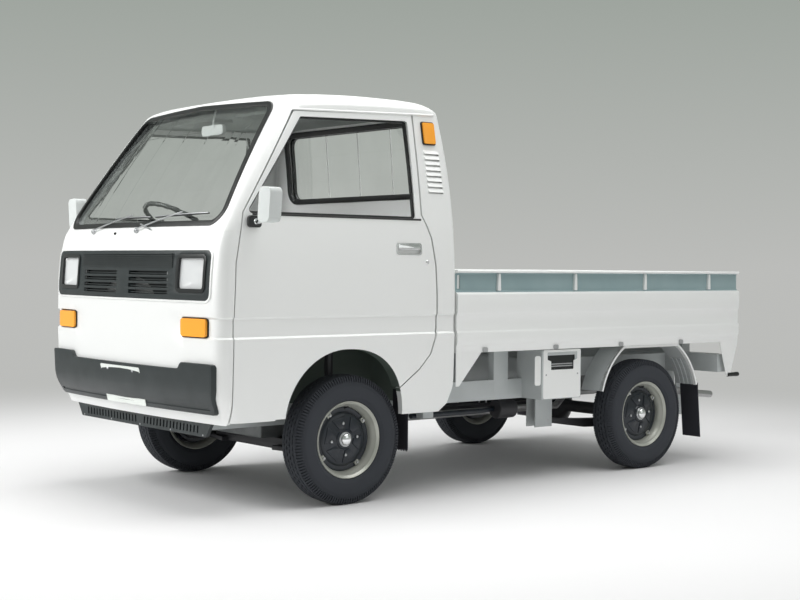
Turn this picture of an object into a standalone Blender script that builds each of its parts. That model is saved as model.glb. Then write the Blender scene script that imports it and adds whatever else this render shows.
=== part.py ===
"""A light cab-over truck with a fixed-side bed, modelled at real size in metres.

+X is the vehicle's left, -Y its front and +Z up. The origin is on the ground,
below the middle of the vehicle's box.
"""

import math

import bmesh
import bpy
from mathutils import Matrix, Vector

# Whole vehicle
BODY_LENGTH = 3.175
BODY_WIDTH = 1.395
WHEELBASE = 1.807
FRONT_AXLE_Y = -0.897
FRONT_TRACK = 1.190
REAR_TRACK = 1.210
TYRE_RADIUS = 0.2685
TYRE_WIDTH = 0.125
WHEEL_STEPS = 24
FACE_GAP = 0.0003
MOVE_GAP = 0.005
OVERRUN = 0.05

HALF_WIDTH = BODY_WIDTH / 2
NOSE = BODY_LENGTH / 2
TAIL = BODY_LENGTH / 2
REAR_AXLE_Y = FRONT_AXLE_Y + WHEELBASE
AXLE_Z = TYRE_RADIUS * math.cos(math.pi / WHEEL_STEPS)

# Wheel and tyre sections; W is the distance outboard of the wheel's middle.
RIM_RADIUS = 0.150
RIM_LIP_RADIUS = 0.160
RIM_WELL_RADIUS = 0.138
RIM_HALF_WIDTH = 0.043
RIM_LIP_W = 0.052
RIM_WALL = 0.004
DRUM_RADIUS = 0.125
WHEEL_BACK_W = -0.045
CAP_RADIUS = 0.028
CAP_W = 0.048
BACKPLATE_SET = 0.055
# Columns: height from bead to tread, half width there.
TYRE_SHARES = (
    (0.13, 0.85),
    (0.35, 0.98),
    (0.60, 1.00),
    (0.82, 0.90),
    (0.95, 0.72),
    (1.00, 0.50),
)

# Cab skin
SILL_Z = 0.361
FOOT_Z = 1.146
BAND_LOW_Z = 0.6994
BAND_HIGH_Z = 0.7753
BAND_DEPTH = 0.007
BAND_EDGE = 0.004
GUTTER_FRONT_Z = 1.603
GUTTER_REAR_Z = 1.634
GUTTER_INSET = 0.0925
GUTTER_HALF_WIDTH = HALF_WIDTH - GUTTER_INSET
HEAD_Y = -1.195
CAB_REAR_Y = -0.362
ROOF_RISE = 0.097
ROOF_POWER_SHARE = 3.4
CROWN = 0.035
CORNER_RADIUS = 0.060
REAR_CORNER_RADIUS = 0.016
REAR_LEAN = 0.034
LEAST_RADIUS = 0.010
SIDE_BULGE = 0.006
SCREEN_BULGE = 0.012
CORNER_STEPS = 3

# Columns: height of the screen's foot, half width of the body, reach of the nose.
CAB_SECTION_SHARES = (
    (0.3150, 0.9835, 0.9600),
    (0.3534, 0.9864, 0.9732),
    (0.4101, 0.9900, 0.9928),
    (0.4887, 0.9950, 0.9972),
    (0.6069, 1.0000, 1.0000),
    (0.7504, 0.9990, 1.0000),
    (0.8290, 0.9957, 0.9972),
    (0.9075, 0.9900, 0.9915),
    (0.9599, 0.9835, 0.9830),
    (1.0000, 0.9778, 0.9676),
)
UPPER_RING_SHARES = (0.25, 0.50, 0.75, 1.0)
FRONT_COLUMN_SHARES = (0.675, 0.575, 0.300, 0.0)
BAND_START_SHARE = 0.62
# Columns: place from the screen's head to the back, rise of the roof there.
ROOF_SHARES = (
    (0.0, 0.70),
    (0.054, 0.78),
    (0.21, 0.94),
    (0.474, 1.00),
    (0.714, 0.95),
    (0.894, 0.84),
    (0.954, 0.66),
    (0.990, 0.34),
    (1.0, 0.0),
)

# Cab walls
SIDE_WALL = 0.055
PILLAR_WALL = 0.025
FRONT_WALL = 0.040
REAR_WALL = 0.030
ROOF_WALL = 0.030
SPLIT_Z = 1.112

# Doors
DOOR_FRONT_Y = -1.490
DOOR_REAR_Y = -0.466
DOOR_TOP_Z = 1.631
DOOR_BOTTOM_Z = 0.372
DOOR_FRONT_GAP = 0.005
DOOR_REAR_GAP = 0.0085
DOOR_WINDOW_RADIUS = 0.035
# Columns: place from the door's front edge to its rear edge, height from its
# bottom to its top, and how much of the front gap, rear gap and top gap it keeps.
DOOR_SHARES = (
    (0.0000, 0.0000, 1, 0, 0),
    (0.0000, 0.3200, 1, 0, 0),
    (0.0100, 0.4900, 1, 0, 0),
    (0.0488, 0.6450, 1, 0, 0),
    (0.3220, 0.9790, 1, 0, 1),
    (0.9277, 1.0000, 0, 1, 1),
    (0.9277, 0.6560, 0, 1, 0),
    (0.9480, 0.6290, 0, 1, 0),
    (0.9760, 0.5780, 0, 1, 0),
    (0.9950, 0.4860, 0, 1, 0),
    (1.0000, 0.3870, 0, 1, 0),
    (1.0000, 0.2760, 0, 1, 0),
    (0.9930, 0.2450, 0, 1, 0),
    (0.9690, 0.1890, 0, 1, 0),
    (0.9110, 0.1390, 0, 1, 0),
    (0.8000, 0.0750, 0, 1, 0),
    (0.7200, 0.0000, 0, 1, 0),
)
# Columns: place along the door's length, height up the door.
DOOR_WINDOW_SHARES = (
    (0.0650, 0.6426),
    (0.3550, 0.9590),
    (0.8940, 0.9740),
    (0.8940, 0.6426),
)
HINGE_HEIGHTS_Z = (0.640, 1.010)
HINGE_HEIGHT = 0.060
HINGE_INSET = 0.012
HINGE_WIDTH = 0.030
HANDLE_FRONT_Y = -0.689
HANDLE_REAR_Y = -0.551
HANDLE_LOW_Z = 1.028
HANDLE_HIGH_Z = 1.079

# Front wheel arch and the quarter panel's foot
ARCH_Y = -0.9455
ARCH_Z = 0.345
ARCH_HALF_LENGTH = 0.297
ARCH_HEIGHT = 0.298
ARCH_REAR_POWER_SHARE = 2.4
ARCH_STEPS = 8
NOTCH_Y = -1.288
QUARTER_FOOT_Y = -0.449
QUARTER_HEEL_Z = 0.487
QUARTER_KNEE_Y = -0.404
QUARTER_KNEE_Z = 0.394
REAR_WALL_FOOT_Z = 0.662

# Windows
SCREEN_FOOT_INSET = 0.0695
SCREEN_FOOT_HALF = HALF_WIDTH - SCREEN_FOOT_INSET
SCREEN_HEAD_INSET = 0.1835
SCREEN_HEAD_HALF = HALF_WIDTH - SCREEN_HEAD_INSET
SCREEN_LOW_Z = 1.143
SCREEN_HIGH_Z = 1.650
SCREEN_CORNER_DROP = 0.016
SCREEN_RADIUS = 0.055
GLASS_SET_IN = 0.006
GLASS_THICKNESS = 0.006
REAR_WINDOW_INSET = 0.1875
REAR_WINDOW_HALF = HALF_WIDTH - REAR_WINDOW_INSET
REAR_WINDOW_LOW_Z = 1.288
REAR_WINDOW_HIGH_Z = 1.612
REAR_WINDOW_RADIUS = 0.060
LOUVRE_FRONT_Y = -0.497
LOUVRE_REAR_Y = -0.410
LOUVRE_LOW_Z = 1.292
LOUVRE_PITCH = 0.0235
LOUVRE_HEIGHT = 0.008
LOUVRE_DEPTH = 0.010
LOUVRE_COUNT = 8
MARKER_FRONT_Y = -0.500
MARKER_REAR_Y = -0.436
MARKER_LOW_Z = 1.504
MARKER_HIGH_Z = 1.598
MARKER_RADIUS = 0.008
MARKER_STAND = 0.012
GUARD_PITCH = 0.245
GUARD_RADIUS = 0.006
GUARD_STAND = 0.020
GUARD_MARGIN = 0.020

# Front face
GRILLE_HALF = 0.637
GRILLE_LOW_Z = 0.842
GRILLE_HIGH_Z = 1.036
GRILLE_RADIUS = 0.028
GRILLE_DEPTH = 0.026
GRILLE_STAND = 0.003
LAMP_INNER_X = 0.415
LAMP_OUTER_X = 0.605
LAMP_LOW_Z = 0.875
LAMP_HIGH_Z = 1.018
LAMP_RADIUS = 0.022
LAMP_RECESS = 0.020
LAMP_GLASS_IN = 0.006
SLOT_INNER_X = 0.065
SLOT_OUTER_X = 0.345
SLOT_LOW_Z = 0.862
SLOT_PITCH = 0.0255
SLOT_HEIGHT = 0.014
SLOT_DEPTH = 0.014
SLOT_COUNT = 4
TURN_INNER_X = 0.452
TURN_OUTER_X = 0.618
TURN_LOW_Z = 0.7015
TURN_HIGH_Z = 0.7735
TURN_RADIUS = 0.014
TURN_STAND = 0.014
BUMPER_HALF = 0.668
BUMPER_LOW_Z = 0.402
BUMPER_HIGH_Z = 0.601
BUMPER_WAIST_Z = 0.574
BUMPER_WAIST_OUT = 0.464
BUMPER_WAIST_IN = 0.434
BUMPER_RADIUS = 0.018
BUMPER_STAND = 0.016
LOWER_GRILLE_HALF = 0.560
LOWER_GRILLE_TAPER = 0.070
LOWER_GRILLE_LOW_Z = 0.305
LOWER_GRILLE_Y = -1.503
LOWER_GRILLE_DEPTH = 0.016
LOWER_SLOT_INNER = 0.050
LOWER_SLOT_OUTER = 0.440
LOWER_SLOT_COUNT = 14
LOWER_SLOT_MARGIN = 0.012
MIRROR_LOW_Z = 1.166
MIRROR_HIGH_Z = 1.290
MIRROR_FRONT_Y = -1.425
MIRROR_REAR_Y = -1.385
MIRROR_REACH = 0.0575
MIRROR_INNER_X = HALF_WIDTH + MIRROR_REACH
MIRROR_WHOLE_REACH = 0.1475
MIRROR_OUTER_X = HALF_WIDTH + MIRROR_WHOLE_REACH
MIRROR_RADIUS = 0.018
MIRROR_ARM_RADIUS = 0.008
MIRROR_FOOT_Y = -1.370
MIRROR_FOOT_Z = 1.140
MIRROR_FOOT_RADIUS = 0.016

# Cab inside
FLOOR_THICKNESS = 0.022
FOOTWELL_Z = 0.400
FOOTWELL_FRONT_Y = -1.462
RISER_Y = -1.200
PLATFORM_Z = 0.660
FLOOR_INSET = 0.0655
FLOOR_HALF = HALF_WIDTH - FLOOR_INSET
HOUSE_INNER_X = 0.365
HOUSE_INSET = 0.0375
HOUSE_OUTER_X = HALF_WIDTH - HOUSE_INSET
HOUSE_REAR_Y = -0.570
DASH_INSET = 0.0975
DASH_HALF = HALF_WIDTH - DASH_INSET
DASH_REAR_Y = -1.270
DASH_LOW_Z = 0.880
DASH_HIGH_Z = 1.105
DASH_LIP = 0.060
SEAT_INNER_X = 0.040
SEAT_INSET = 0.1125
SEAT_OUTER_X = HALF_WIDTH - SEAT_INSET
SEAT_FRONT_Y = -1.060
SEAT_REAR_Y = -0.565
SEAT_HEIGHT = 0.125
SEAT_RADIUS = 0.030
BACK_THICKNESS = 0.110
BACK_HIGH_Z = 1.150
BACK_LEAN = 0.055
STEERING_X = -0.300
STEERING_Y = -1.120
STEERING_Z = 1.150
STEERING_RADIUS = 0.190
STEERING_RIM_RADIUS = 0.012
STEERING_TILT_DEG = 32.0
HUB_RADIUS = 0.030
HUB_LENGTH = 0.030
COLUMN_RADIUS = 0.020
COLUMN_DROP = 0.560
BRACKET_RISE = 0.035

# Chassis
RAIL_WIDTH = 0.070
RAIL_HEIGHT = 0.090
FRONT_RAIL_X = 0.340
MID_RAIL_X = 0.530
REAR_RAIL_X = 0.430
RAIL_LOW_Z = 0.309
MID_RAIL_LOW_Z = 0.374
REAR_RAIL_LOW_Z = 0.450
RAIL_FRONT_Y = -1.440
OUTRIGGER_Y = -0.345
KICK_Y = 0.450
RAIL_REAR_Y = 1.520
CROSS_WIDTH = 0.060
CROSS_HEIGHT = 0.050
ENGINE_HALF = 0.180
ENGINE_FRONT_Y = -1.020
ENGINE_REAR_Y = -0.450
ENGINE_LOW_Z = 0.235
ENGINE_HIGH_Z = 0.600
GEARBOX_HALF = 0.110
GEARBOX_LOW_Z = 0.270
GEARBOX_HIGH_Z = 0.450
MOUNT_LOW_Z = 0.320
MOUNT_HIGH_Z = 0.380
MOUNT_LENGTH = 0.080
SHAFT_RADIUS = 0.025
SHAFT_FRONT_Z = 0.275
AXLE_TUBE_RADIUS = 0.030
DIFF_RADIUS = 0.100
DIFF_HALF = 0.070
SPRING_INSET = 0.165
SPRING_WIDTH = 0.050
SPRING_FRONT_LENGTH = 0.510
SPRING_REAR_LENGTH = 0.450
SPRING_THICKNESS = 0.020
SPRING_EYE_RADIUS = 0.022
SPRING_EYE_Z = 0.252
HANGER_THICKNESS = 0.006
HANGER_LENGTH = 0.110
BATTERY_INSET = 0.0375
BATTERY_OUTER_X = HALF_WIDTH - BATTERY_INSET
BATTERY_FRONT_Y = 0.196
BATTERY_REAR_Y = 0.452
BATTERY_LOW_Z = 0.373
BATTERY_HIGH_Z = 0.600
BATTERY_HOLE_MARGIN = 0.038
BATTERY_HOLE_LOW_Z = 0.500
BATTERY_HOLE_HIGH_Z = 0.575
BATTERY_HOLE_DEPTH = 0.020
POST_FRONT_Y = 0.016
POST_REAR_Y = 0.105
TANK_INSET = 0.0375
TANK_OUTER_X = HALF_WIDTH - TANK_INSET
TANK_FRONT_Y = -0.060
TANK_REAR_Y = 0.400
TANK_LOW_Z = 0.355
TANK_HIGH_Z = 0.575
TANK_RADIUS = 0.030
MUFFLER_RADIUS = 0.055
MUFFLER_HALF = 0.210
MUFFLER_Y = 1.250
MUFFLER_Z = 0.360
PIPE_RADIUS = 0.018
PIPE_X = 0.215
PIPE_Z = 0.345
PIPE_FRONT_Z = 0.283
TAILPIPE_X = 0.550
TAILPIPE_Y = 1.544
TAILPIPE_Z = 0.324
KINGPIN_INSET = 0.095
STRUT_RADIUS = 0.018
SPINDLE_RADIUS = 0.020
BACKPLATE_RADIUS = 0.110
BACKPLATE_THICKNESS = 0.008
STEER_ARM_LENGTH = 0.120
ARM_LOW_Z = 0.185
ARM_THICKNESS = 0.020
ARM_ROOT_X = 0.200
KINGPIN_X = FRONT_TRACK / 2 - KINGPIN_INSET
ARM_ROOT_HALF = 0.080
ARM_TIP_HALF = 0.020
ARM_TIP_REACH = 0.012
CROSSMEMBER_HALF_Y = 0.045
SPRING_INNER_X = REAR_TRACK / 2 - SPRING_INSET
HANGER_Y = REAR_AXLE_Y - SPRING_FRONT_LENGTH
SHACKLE_Y = REAR_AXLE_Y + SPRING_REAR_LENGTH

# Bed
BED_FRONT_Y = -0.353
BED_LOW_Z = 0.606
BED_FLOOR_THICKNESS = 0.030
BED_TOP_Z = 0.967
SIDE_THICKNESS = 0.034
RECESS_LOW_Z = 0.868
RECESS_HIGH_Z = 0.955
RECESS_DEPTH = 0.020
SWAGE_LOW_Z = 0.646
GUSSET_LOW_Z = 0.473
GUSSET_FOOT_Y = -0.318
GUSSET_REAR_Y = -0.131
SKIRT_THICKNESS = 0.012
SKIRT_TOP_Y = 1.442
SKIRT_TIP_Y = 1.495
SKIRT_REAR_Y = 1.568
SKIRT_LOW_Z = 0.429
STOP_RADIUS = 0.014
STOP_Z = 0.445
GATE_THICKNESS = 0.030
GATE_RIB = 0.006
GATE_KNUCKLE_RADIUS = 0.008
GATE_KNUCKLE_WIDTH = 0.050
GATE_HINGE_X = (0.480, 0.0, -0.480)
STAY_COUNT = 4
STAY_WIDTH = 0.012
FENDER_INSET = 0.0255
FENDER_OUTER_X = HALF_WIDTH - FENDER_INSET
FENDER_INNER_X = 0.535
FENDER_Y = 0.940
FENDER_Z = 0.300
FENDER_RADIUS = 0.353
FENDER_FOOT_Z = 0.392
FENDER_THICKNESS = 0.012
FENDER_STEPS = 10
FLAP_THICKNESS = 0.005
FRONT_FLAP_LOW_Z = 0.190
FRONT_FLAP_HIGH_Z = 0.453
FRONT_FLAP_INNER_X = 0.530
FRONT_FLAP_OUTER_X = 0.632
REAR_FLAP_INNER_X = 0.556
REAR_FLAP_LOW_Z = 0.125
REAR_FLAP_LEAN = 0.024
TAIL_LAMP_INNER_X = 0.400
TAIL_LAMP_OUTER_X = 0.600
TAIL_LAMP_LOW_Z = 0.480
TAIL_LAMP_DEPTH = 0.055

# Columns: name, red, green, blue, roughness, metallic.
FINISHES = (
    ("white_paint", 0.86, 0.87, 0.86, 0.30, 0.0),
    ("charcoal_plastic", 0.045, 0.055, 0.06, 0.55, 0.0),
    ("glass", 0.75, 0.85, 0.82, 0.05, 0.0),
    ("lamp_glass", 0.85, 0.88, 0.88, 0.10, 0.0),
    ("amber_lens", 0.95, 0.38, 0.03, 0.20, 0.0),
    ("red_lens", 0.55, 0.02, 0.02, 0.20, 0.0),
    ("black_rubber", 0.02, 0.02, 0.025, 0.80, 0.0),
    ("tyre_rubber", 0.03, 0.035, 0.045, 0.80, 0.0),
    ("wheel_steel", 0.55, 0.55, 0.50, 0.40, 0.3),
    ("black_steel", 0.02, 0.02, 0.025, 0.60, 0.4),
    ("engine_metal", 0.30, 0.30, 0.30, 0.50, 0.8),
    ("exhaust_steel", 0.40, 0.40, 0.40, 0.40, 0.9),
    ("inner_paint", 0.10, 0.13, 0.11, 0.60, 0.0),
    ("mirror_plastic", 0.60, 0.63, 0.62, 0.45, 0.0),
    ("seat_vinyl", 0.08, 0.08, 0.09, 0.60, 0.0),
    ("bright_steel", 0.80, 0.80, 0.80, 0.15, 1.0),
)


def clear_scene():
    for old in list(bpy.data.objects):
        bpy.data.objects.remove(old, do_unlink=True)


def make_finishes():
    made = {}
    for name, red, green, blue, roughness, metallic in FINISHES:
        finish = bpy.data.materials.new(name)
        finish.use_nodes = True
        shader = finish.node_tree.nodes["Principled BSDF"]
        shader.inputs["Base Color"].default_value = (red, green, blue, 1)
        shader.inputs["Roughness"].default_value = roughness
        shader.inputs["Metallic"].default_value = metallic
        made[name] = finish
    return made


def new_collection(name):
    made = bpy.data.collections.new(name)
    bpy.context.scene.collection.children.link(made)
    return made


clear_scene()
FINISH = make_finishes()
PARTS = new_collection("kei_truck")
CUTTERS = new_collection("cutters")
CUTTERS.hide_render = True


def tool(mesh):
    """A helper object that is later used up by a Boolean, or kept by keep()."""
    made = bpy.data.objects.new("tool", mesh)
    CUTTERS.objects.link(made)
    return made


def mesh_of(shape):
    bpy.context.view_layer.update()
    graph = bpy.context.evaluated_depsgraph_get()
    return bpy.data.meshes.new_from_object(shape.evaluated_get(graph))


def drop(shape):
    bpy.data.objects.remove(shape, do_unlink=True)


def welded(mesh):
    """The mesh with its loose caps merged and its faces pointing out."""
    work = bmesh.new()
    work.from_mesh(mesh)
    bmesh.ops.remove_doubles(work, verts=work.verts, dist=FACE_GAP / 10)
    bmesh.ops.recalc_face_normals(work, faces=work.faces)
    work.to_mesh(mesh)
    work.free()
    return mesh


def combine(shape, other, operation):
    """Applies one exact Boolean to the shape and uses the other up."""
    step = shape.modifiers.new("combine", "BOOLEAN")
    step.operation = operation
    step.solver = "EXACT"
    step.object = other
    mesh = mesh_of(shape)
    shape.modifiers.clear()
    shape.data = mesh
    drop(other)
    return shape


def cut(shape, *others):
    for other in others:
        combine(shape, other, "DIFFERENCE")
    return shape


def join(shape, *others):
    for other in others:
        combine(shape, other, "UNION")
    return shape


def inside(shape, region):
    return combine(shape, region, "INTERSECT")


def copy_of(shape):
    return tool(shape.data.copy())


def mirrored(shape):
    """A copy of the shape on the other side of the vehicle's middle plane."""
    mesh = shape.data.copy()
    mesh.transform(Matrix.Scale(-1, 4, Vector((1, 0, 0))))
    mesh.flip_normals()
    return tool(mesh)


def keep(shape, name, finish, smooth_degrees=35.0, pivot=(0, 0, 0)):
    """Makes the shape a named part with its finish and its origin at the pivot."""
    CUTTERS.objects.unlink(shape)
    PARTS.objects.link(shape)
    shape.name = name
    shape.data.name = name
    shape.data.transform(Matrix.Translation(-Vector(pivot)))
    shape.location = pivot
    shape.data.materials.clear()
    shape.data.materials.append(FINISH[finish])
    shape.data.shade_smooth()
    shape.data.set_sharp_from_angle(angle=math.radians(smooth_degrees))
    return shape


def boxes(*corners):
    """One tool of separate boxes, each given by its low and its high corner."""
    work = bmesh.new()
    for low, high in corners:
        low, high = Vector(low), Vector(high)
        place = Matrix.Translation((low + high) / 2) @ Matrix.Diagonal((high - low).to_4d())
        bmesh.ops.create_cube(work, size=1, matrix=place)
    mesh = bpy.data.meshes.new("boxes")
    work.to_mesh(mesh)
    work.free()
    return tool(mesh)


def plate(outline, axis, low, high, holes=()):
    """A flat outline given thickness along an axis from low to high.

    Along X the outline is in (y, z), along Y in (x, z) and along Z in (x, y).
    """
    flat = bpy.data.curves.new("plate", "CURVE")
    flat.dimensions = "2D"
    flat.fill_mode = "BOTH"
    flat.extrude = (high - low) / 2
    for loop in (outline, *holes):
        line = flat.splines.new("POLY")
        line.points.add(len(loop) - 1)
        line.use_cyclic_u = True
        for point, (across, up) in zip(line.points, loop):
            point.co = (across, up, 0, 1)
    turns = {
        "X": Matrix(((0, 0, 1, 0), (1, 0, 0, 0), (0, 1, 0, 0), (0, 0, 0, 1))),
        "Y": Matrix(((1, 0, 0, 0), (0, 0, -1, 0), (0, 1, 0, 0), (0, 0, 0, 1))),
        "Z": Matrix.Identity(4),
    }
    middle = {"X": (1, 0, 0), "Y": (0, 1, 0), "Z": (0, 0, 1)}
    shape = tool(flat)
    mesh = mesh_of(shape)
    drop(shape)
    mesh.transform(Matrix.Translation(Vector(middle[axis]) * (low + high) / 2) @ turns[axis])
    return tool(welded(mesh))


def rod(points, radius, resolution=2):
    """A round bar along straight runs between the points."""
    line = bpy.data.curves.new("rod", "CURVE")
    line.dimensions = "3D"
    line.bevel_depth = radius
    line.bevel_resolution = resolution
    line.use_fill_caps = True
    run = line.splines.new("POLY")
    run.points.add(len(points) - 1)
    for point, place in zip(run.points, points):
        point.co = (*place, 1)
    shape = tool(line)
    mesh = mesh_of(shape)
    drop(shape)
    return tool(welded(mesh))


def turned(profile, steps, place, closed=False, turn=0.0):
    """A profile of (radius, width) turned about the X axis through a place."""
    mesh = bpy.data.meshes.new("turned")
    points = [(radius, 0, width) for radius, width in profile]
    count = len(points)
    edges = [(i, (i + 1) % count) for i in range(count if closed else count - 1)]
    mesh.from_pydata(points, edges, [])
    shape = tool(mesh)
    screw = shape.modifiers.new("turn", "SCREW")
    screw.steps = steps
    screw.render_steps = steps
    screw.use_merge_vertices = True
    screw.merge_threshold = FACE_GAP / 10
    solid = mesh_of(shape)
    drop(shape)
    solid.transform(Matrix.Rotation(turn, 4, "Z"))
    solid.transform(Matrix.Translation(place) @ Matrix.Rotation(math.pi / 2, 4, "Y"))
    return tool(welded(solid))


def rounded(points, radius, steps=3):
    """The outline with each corner replaced by an arc of the radius."""
    made = []
    count = len(points)
    for index, point in enumerate(points):
        here = Vector(point)
        before = (Vector(points[index - 1]) - here).normalized()
        after = (Vector(points[(index + 1) % count]) - here).normalized()
        half = before.angle(after) / 2
        reach = radius / math.tan(half)
        middle = here + (before + after).normalized() * radius / math.sin(half)
        start = here + before * reach - middle
        sweep = start.angle_signed(here + after * reach - middle)
        for step in range(steps + 1):
            angle = -sweep * step / steps
            turn = Matrix.Rotation(angle, 2)
            made.append(tuple(middle + turn @ start))
    return made


def rectangle(low_a, high_a, low_b, high_b):
    return [(low_a, low_b), (high_a, low_b), (high_a, high_b), (low_a, high_b)]


def follow(table, place, column):
    """A column of a table of shares, read between its rows."""
    for lower, upper in zip(table, table[1:]):
        if place <= upper[0]:
            part = (place - lower[0]) / (upper[0] - lower[0])
            return lower[column] + (upper[column] - lower[column]) * part
    return table[-1][column]


def in_band(height):
    return BAND_LOW_Z + BAND_EDGE / 2 < height < BAND_HIGH_Z - BAND_EDGE / 2


def cab_heights():
    edges = [BAND_LOW_Z - BAND_EDGE, BAND_LOW_Z + BAND_EDGE]
    edges += [BAND_HIGH_Z - BAND_EDGE, BAND_HIGH_Z + BAND_EDGE]
    return sorted([FOOT_Z * row[0] for row in CAB_SECTION_SHARES] + edges)


def column_places(half_width, corner):
    """(x, how far the column is round the corner) from the left side to the right."""
    turn = [
        (half_width - corner * (1 - math.cos(angle)), angle)
        for angle in (math.pi / 2 * step / CORNER_STEPS for step in range(CORNER_STEPS + 1))
    ]
    left = turn + [(share * half_width, None) for share in FRONT_COLUMN_SHARES]
    right = [(-x, angle) for x, angle in reversed(left[:-1])]
    return left + right


def front_y(x, half_width, corner, nose, crown, angle, band):
    """Where the front face lies at a column; the corner is a quarter round."""
    reach = min(abs(x), half_width - corner) / half_width
    y = -nose + crown * reach**2
    if band and abs(x) > BAND_START_SHARE * half_width:
        y += BAND_DEPTH
    if angle is None:
        return y
    return y + corner * (1 - math.sin(angle))


def back_y(x, half_width, rear, corner):
    over = abs(x) - (half_width - corner)
    if over <= 0:
        return rear
    return rear - corner + math.sqrt(max(corner**2 - over**2, 0))


def gutter_z(y):
    part = (y - HEAD_Y) / (CAB_REAR_Y - HEAD_Y)
    return GUTTER_FRONT_Z + (GUTTER_REAR_Z - GUTTER_FRONT_Z) * part


def roof_z(x, y, half_width, row_share):
    side = min(abs(x) / half_width, 1)
    round_off = (1 - side**ROOF_POWER_SHARE) ** (1 / ROOF_POWER_SHARE)
    return gutter_z(y) + ROOF_RISE * follow(ROOF_SHARES, row_share, 1) * round_off


def level_ring(height, side_in, front_in, rear_in):
    """One level ring of the cab: its front columns, then its rear columns."""
    share = height / FOOT_Z
    half_width = HALF_WIDTH * follow(CAB_SECTION_SHARES, share, 1) - side_in
    nose = NOSE * follow(CAB_SECTION_SHARES, share, 2) - front_in
    band = in_band(height)
    if band:
        half_width -= BAND_DEPTH
    corner = max(CORNER_RADIUS - max(side_in, 0), LEAST_RADIUS)
    rear_corner = max(REAR_CORNER_RADIUS - max(side_in, 0), LEAST_RADIUS)
    front, back = [], []
    for x, angle in column_places(half_width, corner):
        y = front_y(x, half_width, corner, nose, CROWN, angle, band)
        front.append(Vector((x, y, height)))
        y = back_y(x, half_width, CAB_REAR_Y - rear_in, rear_corner)
        back.append(Vector((x, y, height)))
    return front, back


def head_ring(side_in, front_in, rear_in, roof_in):
    """The ring where walls and screen meet the roof; it follows the roof's edge."""
    half_width = GUTTER_HALF_WIDTH - side_in
    corner = max(CORNER_RADIUS - max(side_in, 0), LEAST_RADIUS)
    rear_corner = max(REAR_CORNER_RADIUS - max(side_in, 0), LEAST_RADIUS)
    front, back = [], []
    for x, angle in column_places(half_width, corner):
        y = front_y(x, half_width, corner, -HEAD_Y - front_in, CROWN, angle, False)
        front.append(Vector((x, y, roof_z(x, y, half_width, 0) - roof_in)))
        y = back_y(x, half_width, CAB_REAR_Y - REAR_LEAN - rear_in, rear_corner)
        back.append(Vector((x, y, gutter_z(y) - roof_in)))
    return front, back


def rear_lean(height):
    """How far the rear wall leans ahead at a height; it leans ever more upwards."""
    share = (height - FOOT_Z) / (GUTTER_REAR_Z - FOOT_Z)
    return REAR_LEAN * max(share, 0) ** 2


def between(foot, head, share):
    """A ring on the leaning walls between the screen's foot and the roof."""
    swell = 4 * share * (1 - share)
    made = []
    for low_side, high_side, is_front in zip(foot, head, (True, False)):
        points = []
        for low, high in zip(low_side, high_side):
            point = low.lerp(high, share)
            point.x *= 1 + SIDE_BULGE / HALF_WIDTH * swell
            point.y += -SCREEN_BULGE * swell if is_front else REAR_LEAN / 4 * swell
            points.append(point)
        made.append(points)
    return made


def whole_ring(front, back):
    """Front columns, right side rows, rear columns and left side rows, in order."""
    rows = [row[0] for row in ROOF_SHARES][1:-1]
    right = [front[-1].lerp(back[-1], row) for row in rows]
    left = [front[0].lerp(back[0], row) for row in rows]
    return front + right + back[::-1] + left[::-1]


def cab_form(side=0.0, upper_side=None, front=0.0, rear=0.0, roof=0.0, low=0.0):
    """A closed form of the cab's skin, moved in by a distance on each side."""
    upper_side = side if upper_side is None else upper_side
    levels = [level_ring(height, side, front, rear) for height in cab_heights()]
    for point in levels[0][0] + levels[0][1]:
        point.z -= low
    foot = level_ring(FOOT_Z, upper_side, front, rear)
    head = head_ring(upper_side, front, rear, roof)
    if upper_side != side:
        levels.append([[p + Vector((0, 0, FACE_GAP)) for p in half] for half in foot])
    rings = [whole_ring(*level) for level in levels]
    rings += [whole_ring(*between(foot, head, share)) for share in UPPER_RING_SHARES]
    work = bmesh.new()
    made = [[work.verts.new(point) for point in ring] for ring in rings]
    count = len(rings[0])
    for low_ring, high_ring in zip(made, made[1:]):
        for index in range(count):
            after = (index + 1) % count
            corners = (low_ring[index], low_ring[after], high_ring[after], high_ring[index])
            work.faces.new(corners)
    work.faces.new(made[0])
    roof_faces(work, made[-1], len(head[0]), upper_side, roof)
    bmesh.ops.recalc_face_normals(work, faces=work.faces)
    mesh = bpy.data.meshes.new("cab_form")
    work.to_mesh(mesh)
    work.free()
    return tool(mesh)


def roof_faces(work, ring, columns, side_in, roof_in):
    """The roof as a grid whose edges are the last ring."""
    shares = [row[0] for row in ROOF_SHARES]
    rows = len(shares)
    front = ring[:columns]
    right = ring[columns : columns + rows - 2]
    back = ring[columns + rows - 2 : 2 * columns + rows - 2][::-1]
    left = ring[2 * columns + rows - 2 :][::-1]
    grid = [front]
    half_width = GUTTER_HALF_WIDTH - side_in
    for index, share in enumerate(shares[1:-1]):
        line = [left[index]]
        for column in range(1, columns - 1):
            point = front[column].co.lerp(back[column].co, share)
            point.z = roof_z(point.x, point.y, half_width, share) - roof_in
            line.append(work.verts.new(point))
        grid.append(line + [right[index]])
    grid.append(back)
    for near, far in zip(grid, grid[1:]):
        for column in range(columns - 1):
            work.faces.new((near[column], near[column + 1], far[column + 1], far[column]))


def skin_patch(region, outer, inner):
    """The layer of cab skin between two depths, inside a region."""
    layer = cab_form(outer, None, outer, outer, outer, OVERRUN)
    cut(layer, cab_form(inner, None, inner, inner, inner, OVERRUN + OVERRUN))
    return inside(layer, region)


def front_region(outline, holes=()):
    return plate(outline, "Y", -NOSE - OVERRUN, HEAD_Y + OVERRUN + OVERRUN, holes)


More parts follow.
